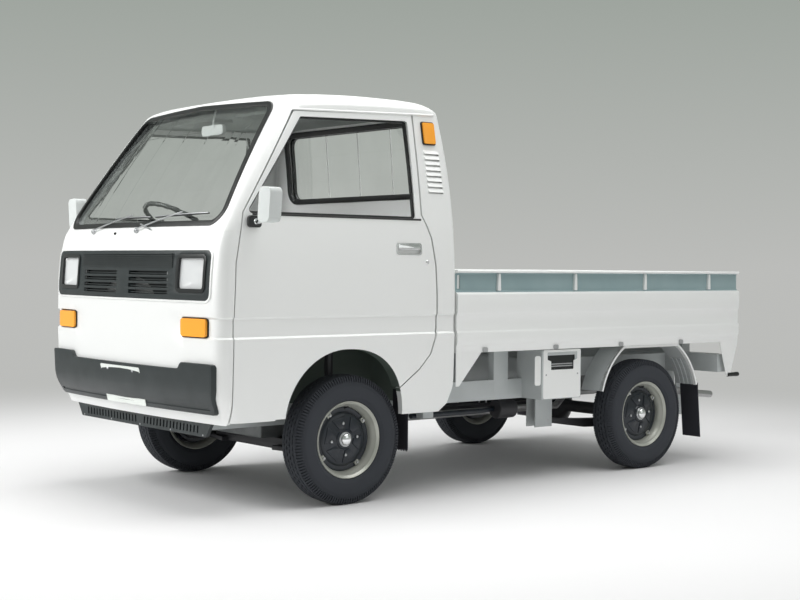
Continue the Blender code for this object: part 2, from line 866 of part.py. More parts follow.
def door_outline(front_gap=0.0, rear_gap=0.0, top_gap=0.0, bottom=0.0):
    length = DOOR_REAR_Y - DOOR_FRONT_Y
    height = DOOR_TOP_Z - DOOR_BOTTOM_Z
    points = []
    for along, up, front, rear, top in DOOR_SHARES:
        y = DOOR_FRONT_Y + along * length + front * front_gap - rear * rear_gap
        z = DOOR_BOTTOM_Z + up * height - top * top_gap
        if up == 0:
            z -= bottom
        points.append((y, z))
    return points


def door_window():
    length = DOOR_REAR_Y - DOOR_FRONT_Y
    height = DOOR_TOP_Z - DOOR_BOTTOM_Z
    corners = [
        (DOOR_FRONT_Y + along * length, DOOR_BOTTOM_Z + up * height)
        for along, up in DOOR_WINDOW_SHARES
    ]
    return rounded(corners, DOOR_WINDOW_RADIUS / 3, 2)


def arch_outline():
    """The wheel arch seen from the side: rounder behind than in front."""
    points = [(ARCH_Y - ARCH_HALF_LENGTH, SILL_Z - OVERRUN)]
    for step in range(2 * ARCH_STEPS + 1):
        angle = math.pi * step / (2 * ARCH_STEPS)
        power = 2 if angle <= math.pi / 2 else ARCH_REAR_POWER_SHARE
        along = abs(math.cos(angle)) ** (2 / power)
        up = math.sin(angle) ** (2 / power)
        sign = -1 if angle < math.pi / 2 else 1
        points.append((ARCH_Y + sign * along * ARCH_HALF_LENGTH, ARCH_Z + up * ARCH_HEIGHT))
    points.append((ARCH_Y + ARCH_HALF_LENGTH, SILL_Z - OVERRUN))
    return points


def whole_width(outline):
    return plate(outline, "X", -HALF_WIDTH - OVERRUN, HALF_WIDTH + OVERRUN)


def left_side(outline):
    return plate(outline, "X", HOUSE_INNER_X, HALF_WIDTH + OVERRUN)


def side_wall(shape, clearance=0.0):
    """What is left of a shape outboard of the door's inner face."""
    lower = SIDE_WALL + clearance
    upper = PILLAR_WALL + clearance
    return cut(shape, cab_form(lower, upper, -OVERRUN, -OVERRUN, -FACE_GAP, OVERRUN))


def louvre_boxes(side):
    """Cutters for the slots of one quarter panel."""
    made = []
    for index in range(LOUVRE_COUNT):
        low = LOUVRE_LOW_Z + index * LOUVRE_PITCH
        share = (low - FOOT_Z) / (GUTTER_REAR_Z - FOOT_Z)
        foot_x = HALF_WIDTH * CAB_SECTION_SHARES[-1][1]
        skin = foot_x + (GUTTER_HALF_WIDTH - foot_x) * share
        near, far = sorted((side * (skin - LOUVRE_DEPTH), side * (skin + OVERRUN)))
        made.append(((near, LOUVRE_FRONT_Y, low), (far, LOUVRE_REAR_Y, low + LOUVRE_HEIGHT)))
    return boxes(*made)


def screen_outline(grow=0.0):
    corners = [
        (-SCREEN_FOOT_HALF - grow, SCREEN_LOW_Z - grow),
        (SCREEN_FOOT_HALF + grow, SCREEN_LOW_Z - grow),
        (SCREEN_HEAD_HALF + grow, SCREEN_HIGH_Z - SCREEN_CORNER_DROP + grow),
        (0, SCREEN_HIGH_Z + grow),
        (-SCREEN_HEAD_HALF - grow, SCREEN_HIGH_Z - SCREEN_CORNER_DROP + grow),
    ]
    return rounded(corners, SCREEN_RADIUS + grow)


def rear_window_outline(grow=0.0):
    half = REAR_WINDOW_HALF + grow
    flat = rectangle(-half, half, REAR_WINDOW_LOW_Z - grow, REAR_WINDOW_HIGH_Z + grow)
    return rounded(flat, REAR_WINDOW_RADIUS + grow)


def grille_outline(grow=0.0):
    half = GRILLE_HALF + grow
    flat = rectangle(-half, half, GRILLE_LOW_Z - grow, GRILLE_HIGH_Z + grow)
    return rounded(flat, GRILLE_RADIUS + grow)


def lamp_outline(side, grow=0.0):
    low, high = sorted((side * (LAMP_INNER_X - grow), side * (LAMP_OUTER_X + grow)))
    return rounded(rectangle(low, high, LAMP_LOW_Z - grow, LAMP_HIGH_Z + grow), LAMP_RADIUS + grow)


def build_cab():
    """The hollow cab, split into front, roof, rear and doors where its panels meet."""
    shell = cab_form()
    door = inside(copy_of(shell), left_side(door_outline(DOOR_FRONT_GAP, DOOR_REAR_GAP, MOVE_GAP)))
    build_doors(side_wall(door))
    cut(shell, cab_form(SIDE_WALL, PILLAR_WALL, FRONT_WALL, REAR_WALL, ROOF_WALL, OVERRUN))
    hole = side_wall(left_side(door_outline(bottom=OVERRUN)), MOVE_GAP + MOVE_GAP)
    cut(shell, mirrored(hole), hole)
    top_row = max(DOOR_SHARES, key=lambda row: row[1])
    hole_corner = (DOOR_FRONT_Y + top_row[0] * (DOOR_REAR_Y - DOOR_FRONT_Y), DOOR_TOP_Z)
    build_cab_front(copy_of(shell))
    build_cab_rear(copy_of(shell), hole_corner)
    build_cab_roof(shell, hole_corner)


def build_cab_front(shape):
    region = rectangle(-NOSE - OVERRUN, RISER_Y, SILL_Z - OVERRUN, SPLIT_Z - FACE_GAP)
    inside(shape, whole_width(region))
    pocket_depth = GRILLE_DEPTH + FACE_GAP
    pocket = skin_patch(front_region(grille_outline(FACE_GAP)), -LAMP_RECESS, pocket_depth)
    cut(shape, pocket)
    for height in HINGE_HEIGHTS_Z:
        for side in (-1, 1):
            outer = HALF_WIDTH - HINGE_INSET
            ends = sorted((side * (outer - HINGE_WIDTH), side * outer))
            back = DOOR_FRONT_Y + DOOR_FRONT_GAP + hinge_lean(height) - FACE_GAP
            low = (ends[0], DOOR_FRONT_Y - MOVE_GAP, height)
            high = (ends[1], back, height + HINGE_HEIGHT)
            join(shape, boxes((low, high)))
    keep(shape, "cab_front", "white_paint")


def hinge_lean(height):
    """How far the door's front edge leans back at the foot of a hinge."""
    share = (height - DOOR_BOTTOM_Z) / (DOOR_TOP_Z - DOOR_BOTTOM_Z)
    edge = DOOR_SHARES[:4]
    along = follow([(row[1], row[0]) for row in edge], share, 1)
    return along * (DOOR_REAR_Y - DOOR_FRONT_Y)


def build_cab_roof(shape, corner):
    inner_y = (DOOR_FRONT_Y + DOOR_REAR_Y) / 2
    region = [
        (-NOSE - OVERRUN, SPLIT_Z),
        (inner_y, SPLIT_Z),
        (inner_y, corner[1] - ROOF_WALL - ROOF_WALL),
        (corner[0], corner[1] - ROOF_WALL - ROOF_WALL),
        (corner[0], corner[1] + FACE_GAP),
        (CAB_REAR_Y + OVERRUN, corner[1] + FACE_GAP),
        (CAB_REAR_Y + OVERRUN, GUTTER_REAR_Z + ROOF_RISE + OVERRUN),
        (-NOSE - OVERRUN, GUTTER_REAR_Z + ROOF_RISE + OVERRUN),
    ]
    inside(shape, whole_width(region))
    cut(shape, front_region(screen_outline()))
    keep(shape, "cab_roof", "white_paint")


def build_cab_rear(shape, corner):
    inner_y = (DOOR_FRONT_Y + DOOR_REAR_Y) / 2
    low_edge = corner[1] - ROOF_WALL - ROOF_WALL - FACE_GAP
    region = [
        (inner_y, SILL_Z),
        (QUARTER_FOOT_Y, SILL_Z),
        (QUARTER_KNEE_Y, QUARTER_KNEE_Z),
        (CAB_REAR_Y, QUARTER_HEEL_Z),
        (CAB_REAR_Y + OVERRUN, QUARTER_HEEL_Z),
        (CAB_REAR_Y + OVERRUN, corner[1]),
        (corner[0] + FACE_GAP, corner[1]),
        (corner[0] + FACE_GAP, low_edge),
        (inner_y, low_edge),
    ]
    inside(shape, whole_width(region))
    cut(shape, whole_width(arch_outline()))
    wall_foot = boxes(
        (
            (-HALF_WIDTH + SIDE_WALL, DOOR_REAR_Y, SILL_Z - OVERRUN),
            (HALF_WIDTH - SIDE_WALL, CAB_REAR_Y + OVERRUN, REAR_WALL_FOOT_Z),
        )
    )
    tyre_room = boxes(
        (
            (-HOUSE_OUTER_X, DOOR_FRONT_Y, SILL_Z - OVERRUN),
            (HOUSE_OUTER_X, HOUSE_REAR_Y + FLOOR_THICKNESS + FACE_GAP, PLATFORM_Z),
        )
    )
    cut(shape, tyre_room)
    window = plate(rear_window_outline(), "Y", SEAT_REAR_Y, CAB_REAR_Y + OVERRUN)
    cut(shape, wall_foot, window, louvre_boxes(1), louvre_boxes(-1))
    keep(shape, "cab_rear", "white_paint")


def build_doors(door):
    cut(door, left_side(door_window()), left_side(arch_outline()))
    notch = rectangle(NOTCH_Y, ARCH_Y, SILL_Z - OVERRUN, DOOR_BOTTOM_Z + MOVE_GAP)
    cut(door, left_side(notch))
    handle = boxes(
        (
            (HALF_WIDTH - SIDE_WALL / 2, HANDLE_FRONT_Y, HANDLE_LOW_Z),
            (HALF_WIDTH + MOVE_GAP, HANDLE_REAR_Y, HANDLE_HIGH_Z),
        )
    )
    join(door, handle)
    other = mirrored(door)
    for side, shape, name in ((1, door, "door_left"), (-1, other, "door_right")):
        keep(shape, name, "white_paint", pivot=(side * HALF_WIDTH, DOOR_FRONT_Y, DOOR_BOTTOM_Z))
        build_mirror(side, name.replace("door", "door_mirror"))


def build_mirror(side, name):
    head = rounded(
        rectangle(MIRROR_INNER_X, MIRROR_OUTER_X, MIRROR_LOW_Z, MIRROR_HIGH_Z), MIRROR_RADIUS
    )
    shape = plate(head, "Y", MIRROR_FRONT_Y, MIRROR_REAR_Y)
    low_z = MIRROR_FOOT_Z - MIRROR_FOOT_RADIUS
    skin = HALF_WIDTH * follow(CAB_SECTION_SHARES, low_z / FOOT_Z, 1)
    foot = (skin + MIRROR_ARM_RADIUS + MIRROR_ARM_RADIUS, MIRROR_FOOT_Y, MIRROR_FOOT_Z)
    neck = ((MIRROR_INNER_X + MIRROR_OUTER_X) / 2, MIRROR_REAR_Y - MIRROR_ARM_RADIUS, MIRROR_LOW_Z + MIRROR_RADIUS)
    join(shape, rod([foot, neck], MIRROR_ARM_RADIUS))
    low = (skin + FACE_GAP, MIRROR_FOOT_Y - MIRROR_FOOT_RADIUS, low_z)
    high = (foot[0] + MIRROR_ARM_RADIUS, MIRROR_FOOT_Y + MIRROR_FOOT_RADIUS, MIRROR_FOOT_Z + MIRROR_FOOT_RADIUS)
    join(shape, boxes((low, high)))
    if side < 0:
        other = mirrored(shape)
        drop(shape)
        shape = other
    keep(shape, name, "mirror_plastic")


def build_windows():
    near = GLASS_SET_IN
    far = GLASS_SET_IN + GLASS_THICKNESS
    screen = skin_patch(front_region(screen_outline(-FACE_GAP)), near, far)
    keep(screen, "windscreen", "glass")
    region = plate(rear_window_outline(-FACE_GAP), "Y", SEAT_REAR_Y, CAB_REAR_Y + OVERRUN)
    keep(skin_patch(region, near, far), "rear_window", "glass")
    low = REAR_WINDOW_LOW_Z - GUARD_MARGIN
    high = REAR_WINDOW_HIGH_Z + GUARD_MARGIN / 2
    reach = GUARD_PITCH + GUARD_RADIUS
    strips, ends = [], []
    for height in (low, high):
        wall = CAB_REAR_Y - rear_lean(height - GUARD_RADIUS) + FACE_GAP
        ends.append((wall + GUARD_STAND, height))
        strips.append(
            (
                (-reach, wall, height - GUARD_RADIUS),
                (reach, wall + GUARD_STAND + GUARD_RADIUS, height + GUARD_RADIUS),
            )
        )
    guard = boxes(strips[0])
    for x in (-GUARD_PITCH, 0, GUARD_PITCH):
        join(guard, rod([(x, y, z) for y, z in ends], GUARD_RADIUS / 2))
    join(guard, boxes(strips[1]))
    keep(guard, "rear_window_guard", "white_paint")


def build_front_face():
    grille = skin_patch(front_region(grille_outline()), -GRILLE_STAND, GRILLE_DEPTH)
    for side in (-1, 1):
        recess = skin_patch(front_region(lamp_outline(side)), -LAMP_RECESS, LAMP_RECESS)
        cut(grille, recess)
        region = front_region(lamp_outline(side, -FACE_GAP))
        lamp = skin_patch(region, LAMP_GLASS_IN, LAMP_RECESS - FACE_GAP)
        keep(lamp, "headlamp_left" if side > 0 else "headlamp_right", "lamp_glass")
    slots = []
    for index in range(SLOT_COUNT):
        low = SLOT_LOW_Z + index * SLOT_PITCH
        for side in (-1, 1):
            ends = sorted((side * SLOT_INNER_X, side * SLOT_OUTER_X))
            slots.append(
                (
                    (ends[0], -NOSE - OVERRUN, low),
                    (ends[1], -NOSE + CROWN / 2 + SLOT_DEPTH - GRILLE_STAND, low + SLOT_HEIGHT),
                )
            )
    cut(grille, boxes(*slots))
    keep(grille, "grille", "charcoal_plastic")
    for side in (-1, 1):
        ends = sorted((side * TURN_INNER_X, side * TURN_OUTER_X))
        outline = rounded(rectangle(*ends, TURN_LOW_Z, TURN_HIGH_Z), TURN_RADIUS)
        lamp = skin_patch(front_region(outline), -TURN_STAND, -FACE_GAP)
        keep(lamp, "turn_lamp_left" if side > 0 else "turn_lamp_right", "amber_lens")
    build_side_lamps()
    build_bumper()
    build_lower_grille()


def build_side_lamps():
    """Amber lamps high on the quarter panels, above the louvres."""
    outline = rectangle(MARKER_FRONT_Y, MARKER_REAR_Y, MARKER_LOW_Z, MARKER_HIGH_Z)
    lamp = skin_patch(left_side(rounded(outline, MARKER_RADIUS)), -MARKER_STAND, -FACE_GAP)
    keep(mirrored(lamp), "side_lamp_right", "amber_lens")
    keep(lamp, "side_lamp_left", "amber_lens")


def build_bumper():
    half = [
        (0, BUMPER_WAIST_Z),
        (BUMPER_WAIST_IN, BUMPER_WAIST_Z),
        (BUMPER_WAIST_OUT, BUMPER_HIGH_Z),
        (BUMPER_HALF, BUMPER_HIGH_Z),
        (BUMPER_HALF, BUMPER_LOW_Z + BUMPER_RADIUS),
        (BUMPER_HALF - BUMPER_RADIUS, BUMPER_LOW_Z),
    ]
    outline = half + [(-x, z) for x, z in reversed(half[1:])]
    bumper = skin_patch(front_region(outline), -BUMPER_STAND, -FACE_GAP)
    keep(bumper, "bumper", "charcoal_plastic")


def build_lower_grille():
    top = SILL_Z - FACE_GAP
    tip = LOWER_GRILLE_HALF - LOWER_GRILLE_TAPER
    outline = [
        (-LOWER_GRILLE_HALF, top),
        (LOWER_GRILLE_HALF, top),
        (tip, LOWER_GRILLE_LOW_Z),
        (-tip, LOWER_GRILLE_LOW_Z),
    ]
    pitch = (LOWER_SLOT_OUTER - LOWER_SLOT_INNER) / LOWER_SLOT_COUNT
    holes = []
    for index in range(LOWER_SLOT_COUNT):
        for side in (-1, 1):
            inner = LOWER_SLOT_INNER + index * pitch
            ends = sorted((side * inner, side * (inner + pitch / 2)))
            low = LOWER_GRILLE_LOW_Z + LOWER_SLOT_MARGIN
            holes.append(rectangle(*ends, low, top - LOWER_SLOT_MARGIN))
    back = LOWER_GRILLE_Y + LOWER_GRILLE_DEPTH
    keep(plate(outline, "Y", LOWER_GRILLE_Y, back, holes), "lower_grille", "charcoal_plastic")


def build_cab_inside():
    low_floor = FOOTWELL_Z
    thick = FLOOR_THICKNESS
    rear = CAB_REAR_Y - REAR_WALL - FACE_GAP
    outline = [
        (FOOTWELL_FRONT_Y, low_floor),
        (RISER_Y, low_floor),
        (RISER_Y, PLATFORM_Z - thick),
        (rear, PLATFORM_Z - thick),
        (rear, PLATFORM_Z),
        (RISER_Y - thick, PLATFORM_Z),
        (RISER_Y - thick, low_floor + thick),
        (FOOTWELL_FRONT_Y, low_floor + thick),
    ]
    floor = plate(outline, "X", -FLOOR_HALF, FLOOR_HALF)
    top = PLATFORM_Z - thick / 2
    for side in (-1, 1):
        wall = sorted((side * (HOUSE_INNER_X - thick), side * HOUSE_INNER_X))
        back = sorted((side * (HOUSE_INNER_X - thick), side * FLOOR_HALF))
        join(
            floor,
            boxes(((wall[0], RISER_Y - thick / 2, low_floor), (wall[1], HOUSE_REAR_Y + thick / 2, top))),
            boxes(((back[0], HOUSE_REAR_Y, low_floor), (back[1], HOUSE_REAR_Y + thick, top))),
        )
    keep(floor, "cab_floor", "inner_paint")
    build_dashboard()
    build_seats()
    build_steering()


def build_dashboard():
    form = cab_form(SIDE_WALL, PILLAR_WALL, FRONT_WALL + FACE_GAP, REAR_WALL, ROOF_WALL)
    outline = [
        (-NOSE, DASH_HIGH_Z),
        (DASH_REAR_Y - DASH_LIP, DASH_HIGH_Z),
        (DASH_REAR_Y, DASH_HIGH_Z - DASH_LIP / 2),
        (DASH_REAR_Y, DASH_LOW_Z + DASH_LIP),
        (DASH_REAR_Y - DASH_LIP, DASH_LOW_Z),
        (-NOSE, DASH_LOW_Z),
    ]
    inside(form, plate(outline, "X", -DASH_HALF, DASH_HALF))
    room = COLUMN_RADIUS + COLUMN_RADIUS
    low = (STEERING_X - room, DASH_REAR_Y - DASH_LIP, DASH_LOW_Z - OVERRUN)
    high = (STEERING_X + room, DASH_REAR_Y + OVERRUN, DASH_LOW_Z + DASH_LIP + COLUMN_RADIUS)
    keep(cut(form, boxes((low, high))), "dashboard", "charcoal_plastic")


def build_seats():
    low = PLATFORM_Z + FACE_GAP
    base = rounded(rectangle(SEAT_FRONT_Y, SEAT_REAR_Y, low, low + SEAT_HEIGHT), SEAT_RADIUS)
    back_y = SEAT_REAR_Y + FACE_GAP
    back = [
        (back_y, low),
        (back_y + BACK_THICKNESS, low),
        (back_y + BACK_THICKNESS + BACK_LEAN, BACK_HIGH_Z),
        (back_y + BACK_LEAN, BACK_HIGH_Z),
    ]
    for side, name in ((1, "left"), (-1, "right")):
        ends = sorted((side * SEAT_INNER_X, side * SEAT_OUTER_X))
        keep(plate(base, "X", *ends), "seat_" + name, "seat_vinyl")
    width = SEAT_OUTER_X
    keep(plate(rounded(back, SEAT_RADIUS), "X", -width, width), "seat_back", "seat_vinyl")


def build_steering():
    """A column from the dashboard's side of the floor to the wheel's hub."""
    tilt = math.radians(STEERING_TILT_DEG)
    place = Vector((STEERING_X, STEERING_Y, STEERING_Z))
    axis = Vector((0, math.sin(tilt), math.cos(tilt)))
    bpy.ops.mesh.primitive_torus_add(
        major_segments=28,
        minor_segments=8,
        major_radius=STEERING_RADIUS,
        minor_radius=STEERING_RIM_RADIUS,
    )
    made = bpy.context.object
    rim = tool(made.data.copy())
    drop(made)
    reach = STEERING_RADIUS
    for x in (-reach, reach):
        join(rim, rod([(0, 0, -HUB_LENGTH / 2), (x, 0, 0)], STEERING_RIM_RADIUS / 2))
    join(rim, rod([(0, 0, -HUB_LENGTH), (0, 0, HUB_LENGTH / 2)], HUB_RADIUS))
    turn = Matrix.Translation(place) @ Matrix.Rotation(-tilt, 4, "X")
    rim.data.transform(turn)
    keep(rim, "steering_wheel", "black_rubber", pivot=place)
    top = place - axis * (HUB_LENGTH + FACE_GAP)
    bend = place - axis * COLUMN_DROP
    foot = Vector((bend.x, bend.y, FOOTWELL_Z + FLOOR_THICKNESS + FACE_GAP))
    column = rod([foot, bend, top], COLUMN_RADIUS)
    room = COLUMN_RADIUS + COLUMN_RADIUS - FACE_GAP
    low = (STEERING_X - room, DASH_REAR_Y - DASH_LIP / 2, DASH_LOW_Z + BRACKET_RISE)
    high = (STEERING_X + room, DASH_REAR_Y, DASH_LOW_Z + BRACKET_RISE + COLUMN_RADIUS)
    join(column, boxes((low, high)))
    keep(column, "steering_column", "black_steel")


def build_frame():
    width = RAIL_WIDTH
    height = RAIL_HEIGHT
    mid_top = MID_RAIL_LOW_Z + height
    rear_top = REAR_RAIL_LOW_Z + height
    bed_under = BED_LOW_Z - FACE_GAP
    solids = []
    for side in (-1, 1):

        def span(inner, outer):
            return sorted((side * inner, side * outer))

        front = span(FRONT_RAIL_X - width, FRONT_RAIL_X)
        middle = span(MID_RAIL_X - width, MID_RAIL_X)
        rear = span(REAR_RAIL_X - width, REAR_RAIL_X)
        solids += [
            ((front[0], RAIL_FRONT_Y, RAIL_LOW_Z), (front[1], OUTRIGGER_Y, FOOTWELL_Z - FACE_GAP)),
            ((middle[0], OUTRIGGER_Y, MID_RAIL_LOW_Z), (middle[1], KICK_Y, mid_top)),
            ((rear[0], KICK_Y - width, REAR_RAIL_LOW_Z), (rear[1], RAIL_REAR_Y, rear_top)),
        ]
        post = span(MID_RAIL_X - width / 2, MID_RAIL_X + FACE_GAP)
        solids.append(((post[0], POST_FRONT_Y, mid_top - width), (post[1], POST_REAR_Y, bed_under)))
        for x in (SPRING_INNER_X - HANGER_THICKNESS - FACE_GAP, SPRING_INNER_X + SPRING_WIDTH + FACE_GAP):
            plate_x = span(x, x + HANGER_THICKNESS)
            low = SPRING_EYE_Z - SPRING_EYE_RADIUS - HANGER_THICKNESS
            reach = SPRING_EYE_RADIUS + HANGER_THICKNESS
            front = HANGER_Y + reach - HANGER_LENGTH
            solids.append(((plate_x[0], front, low), (plate_x[1], HANGER_Y + reach, mid_top)))
            solids.append(((plate_x[0], SHACKLE_Y - reach, low), (plate_x[1], SHACKLE_Y + reach, rear_top)))
        bridge = span(REAR_RAIL_X - width / 2, SPRING_INNER_X + SPRING_WIDTH + HANGER_THICKNESS)
        for y in (HANGER_Y, SHACKLE_Y):
            solids.append(((bridge[0], y - width / 2, REAR_RAIL_LOW_Z), (bridge[1], y + width / 2, rear_top)))
    inner = FRONT_RAIL_X - width / 2
    middle_x = MID_RAIL_X - width / 2
    rear_x = REAR_RAIL_X - width / 2
    half = CROSS_WIDTH / 2
    cross = (
        (RAIL_FRONT_Y + half, inner, RAIL_LOW_Z, RAIL_LOW_Z + CROSS_HEIGHT),
        (OUTRIGGER_Y, middle_x, RAIL_LOW_Z, mid_top),
        (KICK_Y - width / 2, middle_x, MID_RAIL_LOW_Z, rear_top),
        (SHACKLE_Y, rear_x, REAR_RAIL_LOW_Z, rear_top - FACE_GAP),
        (RAIL_REAR_Y - half, HALF_WIDTH - SIDE_THICKNESS, REAR_RAIL_LOW_Z, rear_top),
    )
    for y, reach, low, high in cross:
        solids.append(((-reach, y - half, low), (reach, y + half, high)))
    bearers = (OUTRIGGER_Y + half, KICK_Y, REAR_AXLE_Y, RAIL_REAR_Y - half)
    for y in bearers:
        low = mid_top if y < KICK_Y else rear_top
        reach = MID_RAIL_X if y < KICK_Y else REAR_RAIL_X
        solids.append(((-reach, y - half, low - half), (reach, y + half, bed_under)))
    frame = boxes(solids[0])
    for solid in solids[1:]:
        join(frame, boxes(solid))
    battery = boxes(
        (
            (MID_RAIL_X - width / 2, BATTERY_FRONT_Y, BATTERY_LOW_Z),
            (BATTERY_OUTER_X, BATTERY_REAR_Y, BATTERY_HIGH_Z),
        )
    )
    join(frame, battery)
    window = boxes(
        (
            (BATTERY_OUTER_X - BATTERY_HOLE_DEPTH, BATTERY_FRONT_Y + BATTERY_HOLE_MARGIN, BATTERY_HOLE_LOW_Z),
            (BATTERY_OUTER_X + OVERRUN, BATTERY_REAR_Y - BATTERY_HOLE_MARGIN, BATTERY_HOLE_HIGH_Z),
        )
    )
    cut(frame, window)
    keep(frame, "frame", "white_paint")


def build_drive():
    engine = boxes(
        ((-ENGINE_HALF, ENGINE_FRONT_Y, ENGINE_LOW_Z), (ENGINE_HALF, ENGINE_REAR_Y, ENGINE_HIGH_Z))
    )
    reach = FRONT_RAIL_X - RAIL_WIDTH - FACE_GAP
    middle = (ENGINE_FRONT_Y + ENGINE_REAR_Y) / 2
    mount = MOUNT_LENGTH / 2
    join(
        engine,
        boxes(((-reach, middle - mount, MOUNT_LOW_Z), (reach, middle + mount, MOUNT_HIGH_Z))),
        boxes(
            (
                (-GEARBOX_HALF, ENGINE_REAR_Y - mount, GEARBOX_LOW_Z),
                (GEARBOX_HALF, OUTRIGGER_Y - CROSS_WIDTH, GEARBOX_HIGH_Z),
            )
        ),
    )
    keep(engine, "engine", "engine_metal")
    end = REAR_TRACK / 2 + WHEEL_BACK_W - FACE_GAP
    brake = REAR_TRACK / 2 - BACKPLATE_SET
    half = BACKPLATE_THICKNESS / 2
    profile = [
        (DIFF_RADIUS, DIFF_HALF),
        (AXLE_TUBE_RADIUS, DIFF_RADIUS + DIFF_HALF / 2),
        (AXLE_TUBE_RADIUS, brake - half),
        (BACKPLATE_RADIUS, brake - half),
        (BACKPLATE_RADIUS, brake + half),
        (SPINDLE_RADIUS, brake + half),
        (SPINDLE_RADIUS, end),
        (0, end),
    ]
    whole = [(radius, -x) for radius, x in reversed(profile)] + profile
    axle = turned(whole, WHEEL_STEPS, (0, REAR_AXLE_Y, AXLE_Z))
    shaft_front = OUTRIGGER_Y - CROSS_WIDTH + FACE_GAP
    join(axle, rod([(0, shaft_front, SHAFT_FRONT_Z), (0, REAR_AXLE_Y, AXLE_Z)], SHAFT_RADIUS))
    keep(axle, "rear_axle", "black_steel")
    build_springs()
    build_exhaust()
    build_tank()


def disc(radius, thickness):
    half = thickness / 2
    return [(0, -half), (radius, -half), (radius, half), (0, half)]


def build_springs():
    """Leaf springs slung under the rear axle, each with an eye at both ends."""
    top = AXLE_Z - AXLE_TUBE_RADIUS - FACE_GAP
    thick = SPRING_THICKNESS
    eye = SPRING_EYE_RADIUS
    middle = REAR_AXLE_Y
    clamp = DIFF_HALF
    rise = (SPRING_EYE_Z + top) / 2
    # Columns: place, height of the upper side, how many leaves lie there.
    leaves = (
        (HANGER_Y, SPRING_EYE_Z + thick / 2, 1),
        ((HANGER_Y + middle) / 2, rise, 2),
        (middle - clamp, top, 2),
        (middle + clamp, top, 2),
        ((middle + SHACKLE_Y) / 2, rise, 2),
        (SHACKLE_Y, SPRING_EYE_Z + thick / 2, 1),
    )
    upper = [(y, z) for y, z, _ in leaves]
    lower = [(y, z - thick * count) for y, z, count in reversed(leaves)]
    for side, name in ((1, "leaf_spring_left"), (-1, "leaf_spring_right")):
        ends = sorted((side * SPRING_INNER_X, side * (SPRING_INNER_X + SPRING_WIDTH)))
        spring = plate(upper + lower, "X", *ends)
        for y in (HANGER_Y, SHACKLE_Y):
            x = side * (SPRING_INNER_X + SPRING_WIDTH / 2)
            join(spring, turned(disc(eye, SPRING_WIDTH), WHEEL_STEPS, (x, y, SPRING_EYE_Z)))
        keep(spring, name, "black_steel")


def build_exhaust():
    muffler_profile = disc(MUFFLER_RADIUS, MUFFLER_HALF + MUFFLER_HALF)
    exhaust = turned(muffler_profile, WHEEL_STEPS, (0, MUFFLER_Y, MUFFLER_Z))
    bend = PIPE_RADIUS + PIPE_RADIUS
    front = [
        (ENGINE_HALF - PIPE_RADIUS + FACE_GAP, ENGINE_REAR_Y + PIPE_RADIUS + FACE_GAP, PIPE_FRONT_Z),
        (PIPE_X, ENGINE_REAR_Y + bend + bend, PIPE_FRONT_Z),
        (PIPE_X, REAR_AXLE_Y - DIFF_RADIUS - bend - bend, PIPE_FRONT_Z),
        (PIPE_X, REAR_AXLE_Y - DIFF_RADIUS, PIPE_Z),
        (PIPE_X, REAR_AXLE_Y + DIFF_RADIUS, PIPE_Z),
        (MUFFLER_HALF - bend, MUFFLER_Y, MUFFLER_Z),
    ]
    join(exhaust, rod(front, PIPE_RADIUS))
    tail = [
        (MUFFLER_HALF - bend, MUFFLER_Y, MUFFLER_Z),
        (TAILPIPE_X - bend - bend, MUFFLER_Y, MUFFLER_Z),
        (TAILPIPE_X - bend, MUFFLER_Y + bend, MUFFLER_Z),
        (TAILPIPE_X, MUFFLER_Y + bend + bend + bend, TAILPIPE_Z + PIPE_RADIUS),
        (TAILPIPE_X, TAILPIPE_Y, TAILPIPE_Z),
    ]
    join(exhaust, rod(tail, PIPE_RADIUS))
    strap = boxes(
        (
            (-bend, SHACKLE_Y - CROSS_WIDTH / 2, MUFFLER_Z),
            (bend, SHACKLE_Y + CROSS_WIDTH / 2, REAR_RAIL_LOW_Z - FACE_GAP),
        ),
    )
    arm = boxes(
        (
            (-bend, MUFFLER_Y, MUFFLER_Z),
            (bend, SHACKLE_Y, MUFFLER_Z + PIPE_RADIUS),
        ),
    )
    join(exhaust, join(strap, arm))
    keep(exhaust, "exhaust", "exhaust_steel")


def build_tank():
    inner = MID_RAIL_X + FACE_GAP
    outline = rounded(rectangle(TANK_FRONT_Y, TANK_REAR_Y, TANK_LOW_Z, TANK_HIGH_Z), TANK_RADIUS)
    keep(plate(outline, "X", -TANK_OUTER_X, -inner - FACE_GAP), "fuel_tank", "black_steel")


def rim_profile():
    wall = RIM_WALL
    seat = RIM_WELL_RADIUS
    return [
        (0, CAP_W),
        (CAP_RADIUS - wall, CAP_W - wall),
        (CAP_RADIUS, CAP_W / 2),
        (CAP_RADIUS + CAP_RADIUS, CAP_W / 4),
        (DRUM_RADIUS, wall),
        (seat - wall, wall + wall),
        (seat - wall, CAP_W / 3),
        (RIM_RADIUS - wall, RIM_HALF_WIDTH),
        (RIM_LIP_RADIUS - wall, RIM_LIP_W),
        (RIM_LIP_RADIUS, RIM_LIP_W),
        (RIM_LIP_RADIUS, RIM_HALF_WIDTH),
        (RIM_RADIUS, RIM_HALF_WIDTH),
        (seat, CAP_W / 3),
        (seat, -CAP_W / 2),
        (RIM_RADIUS, -RIM_HALF_WIDTH),
        (RIM_LIP_RADIUS, -RIM_HALF_WIDTH),
        (RIM_LIP_RADIUS, -RIM_LIP_W),
        (RIM_RADIUS - wall, -RIM_HALF_WIDTH),
        (seat - wall, -CAP_W / 2),
        (seat - wall, -wall - wall),
        (DRUM_RADIUS, -wall - wall),
        (DRUM_RADIUS, WHEEL_BACK_W),
        (0, WHEEL_BACK_W),
    ]


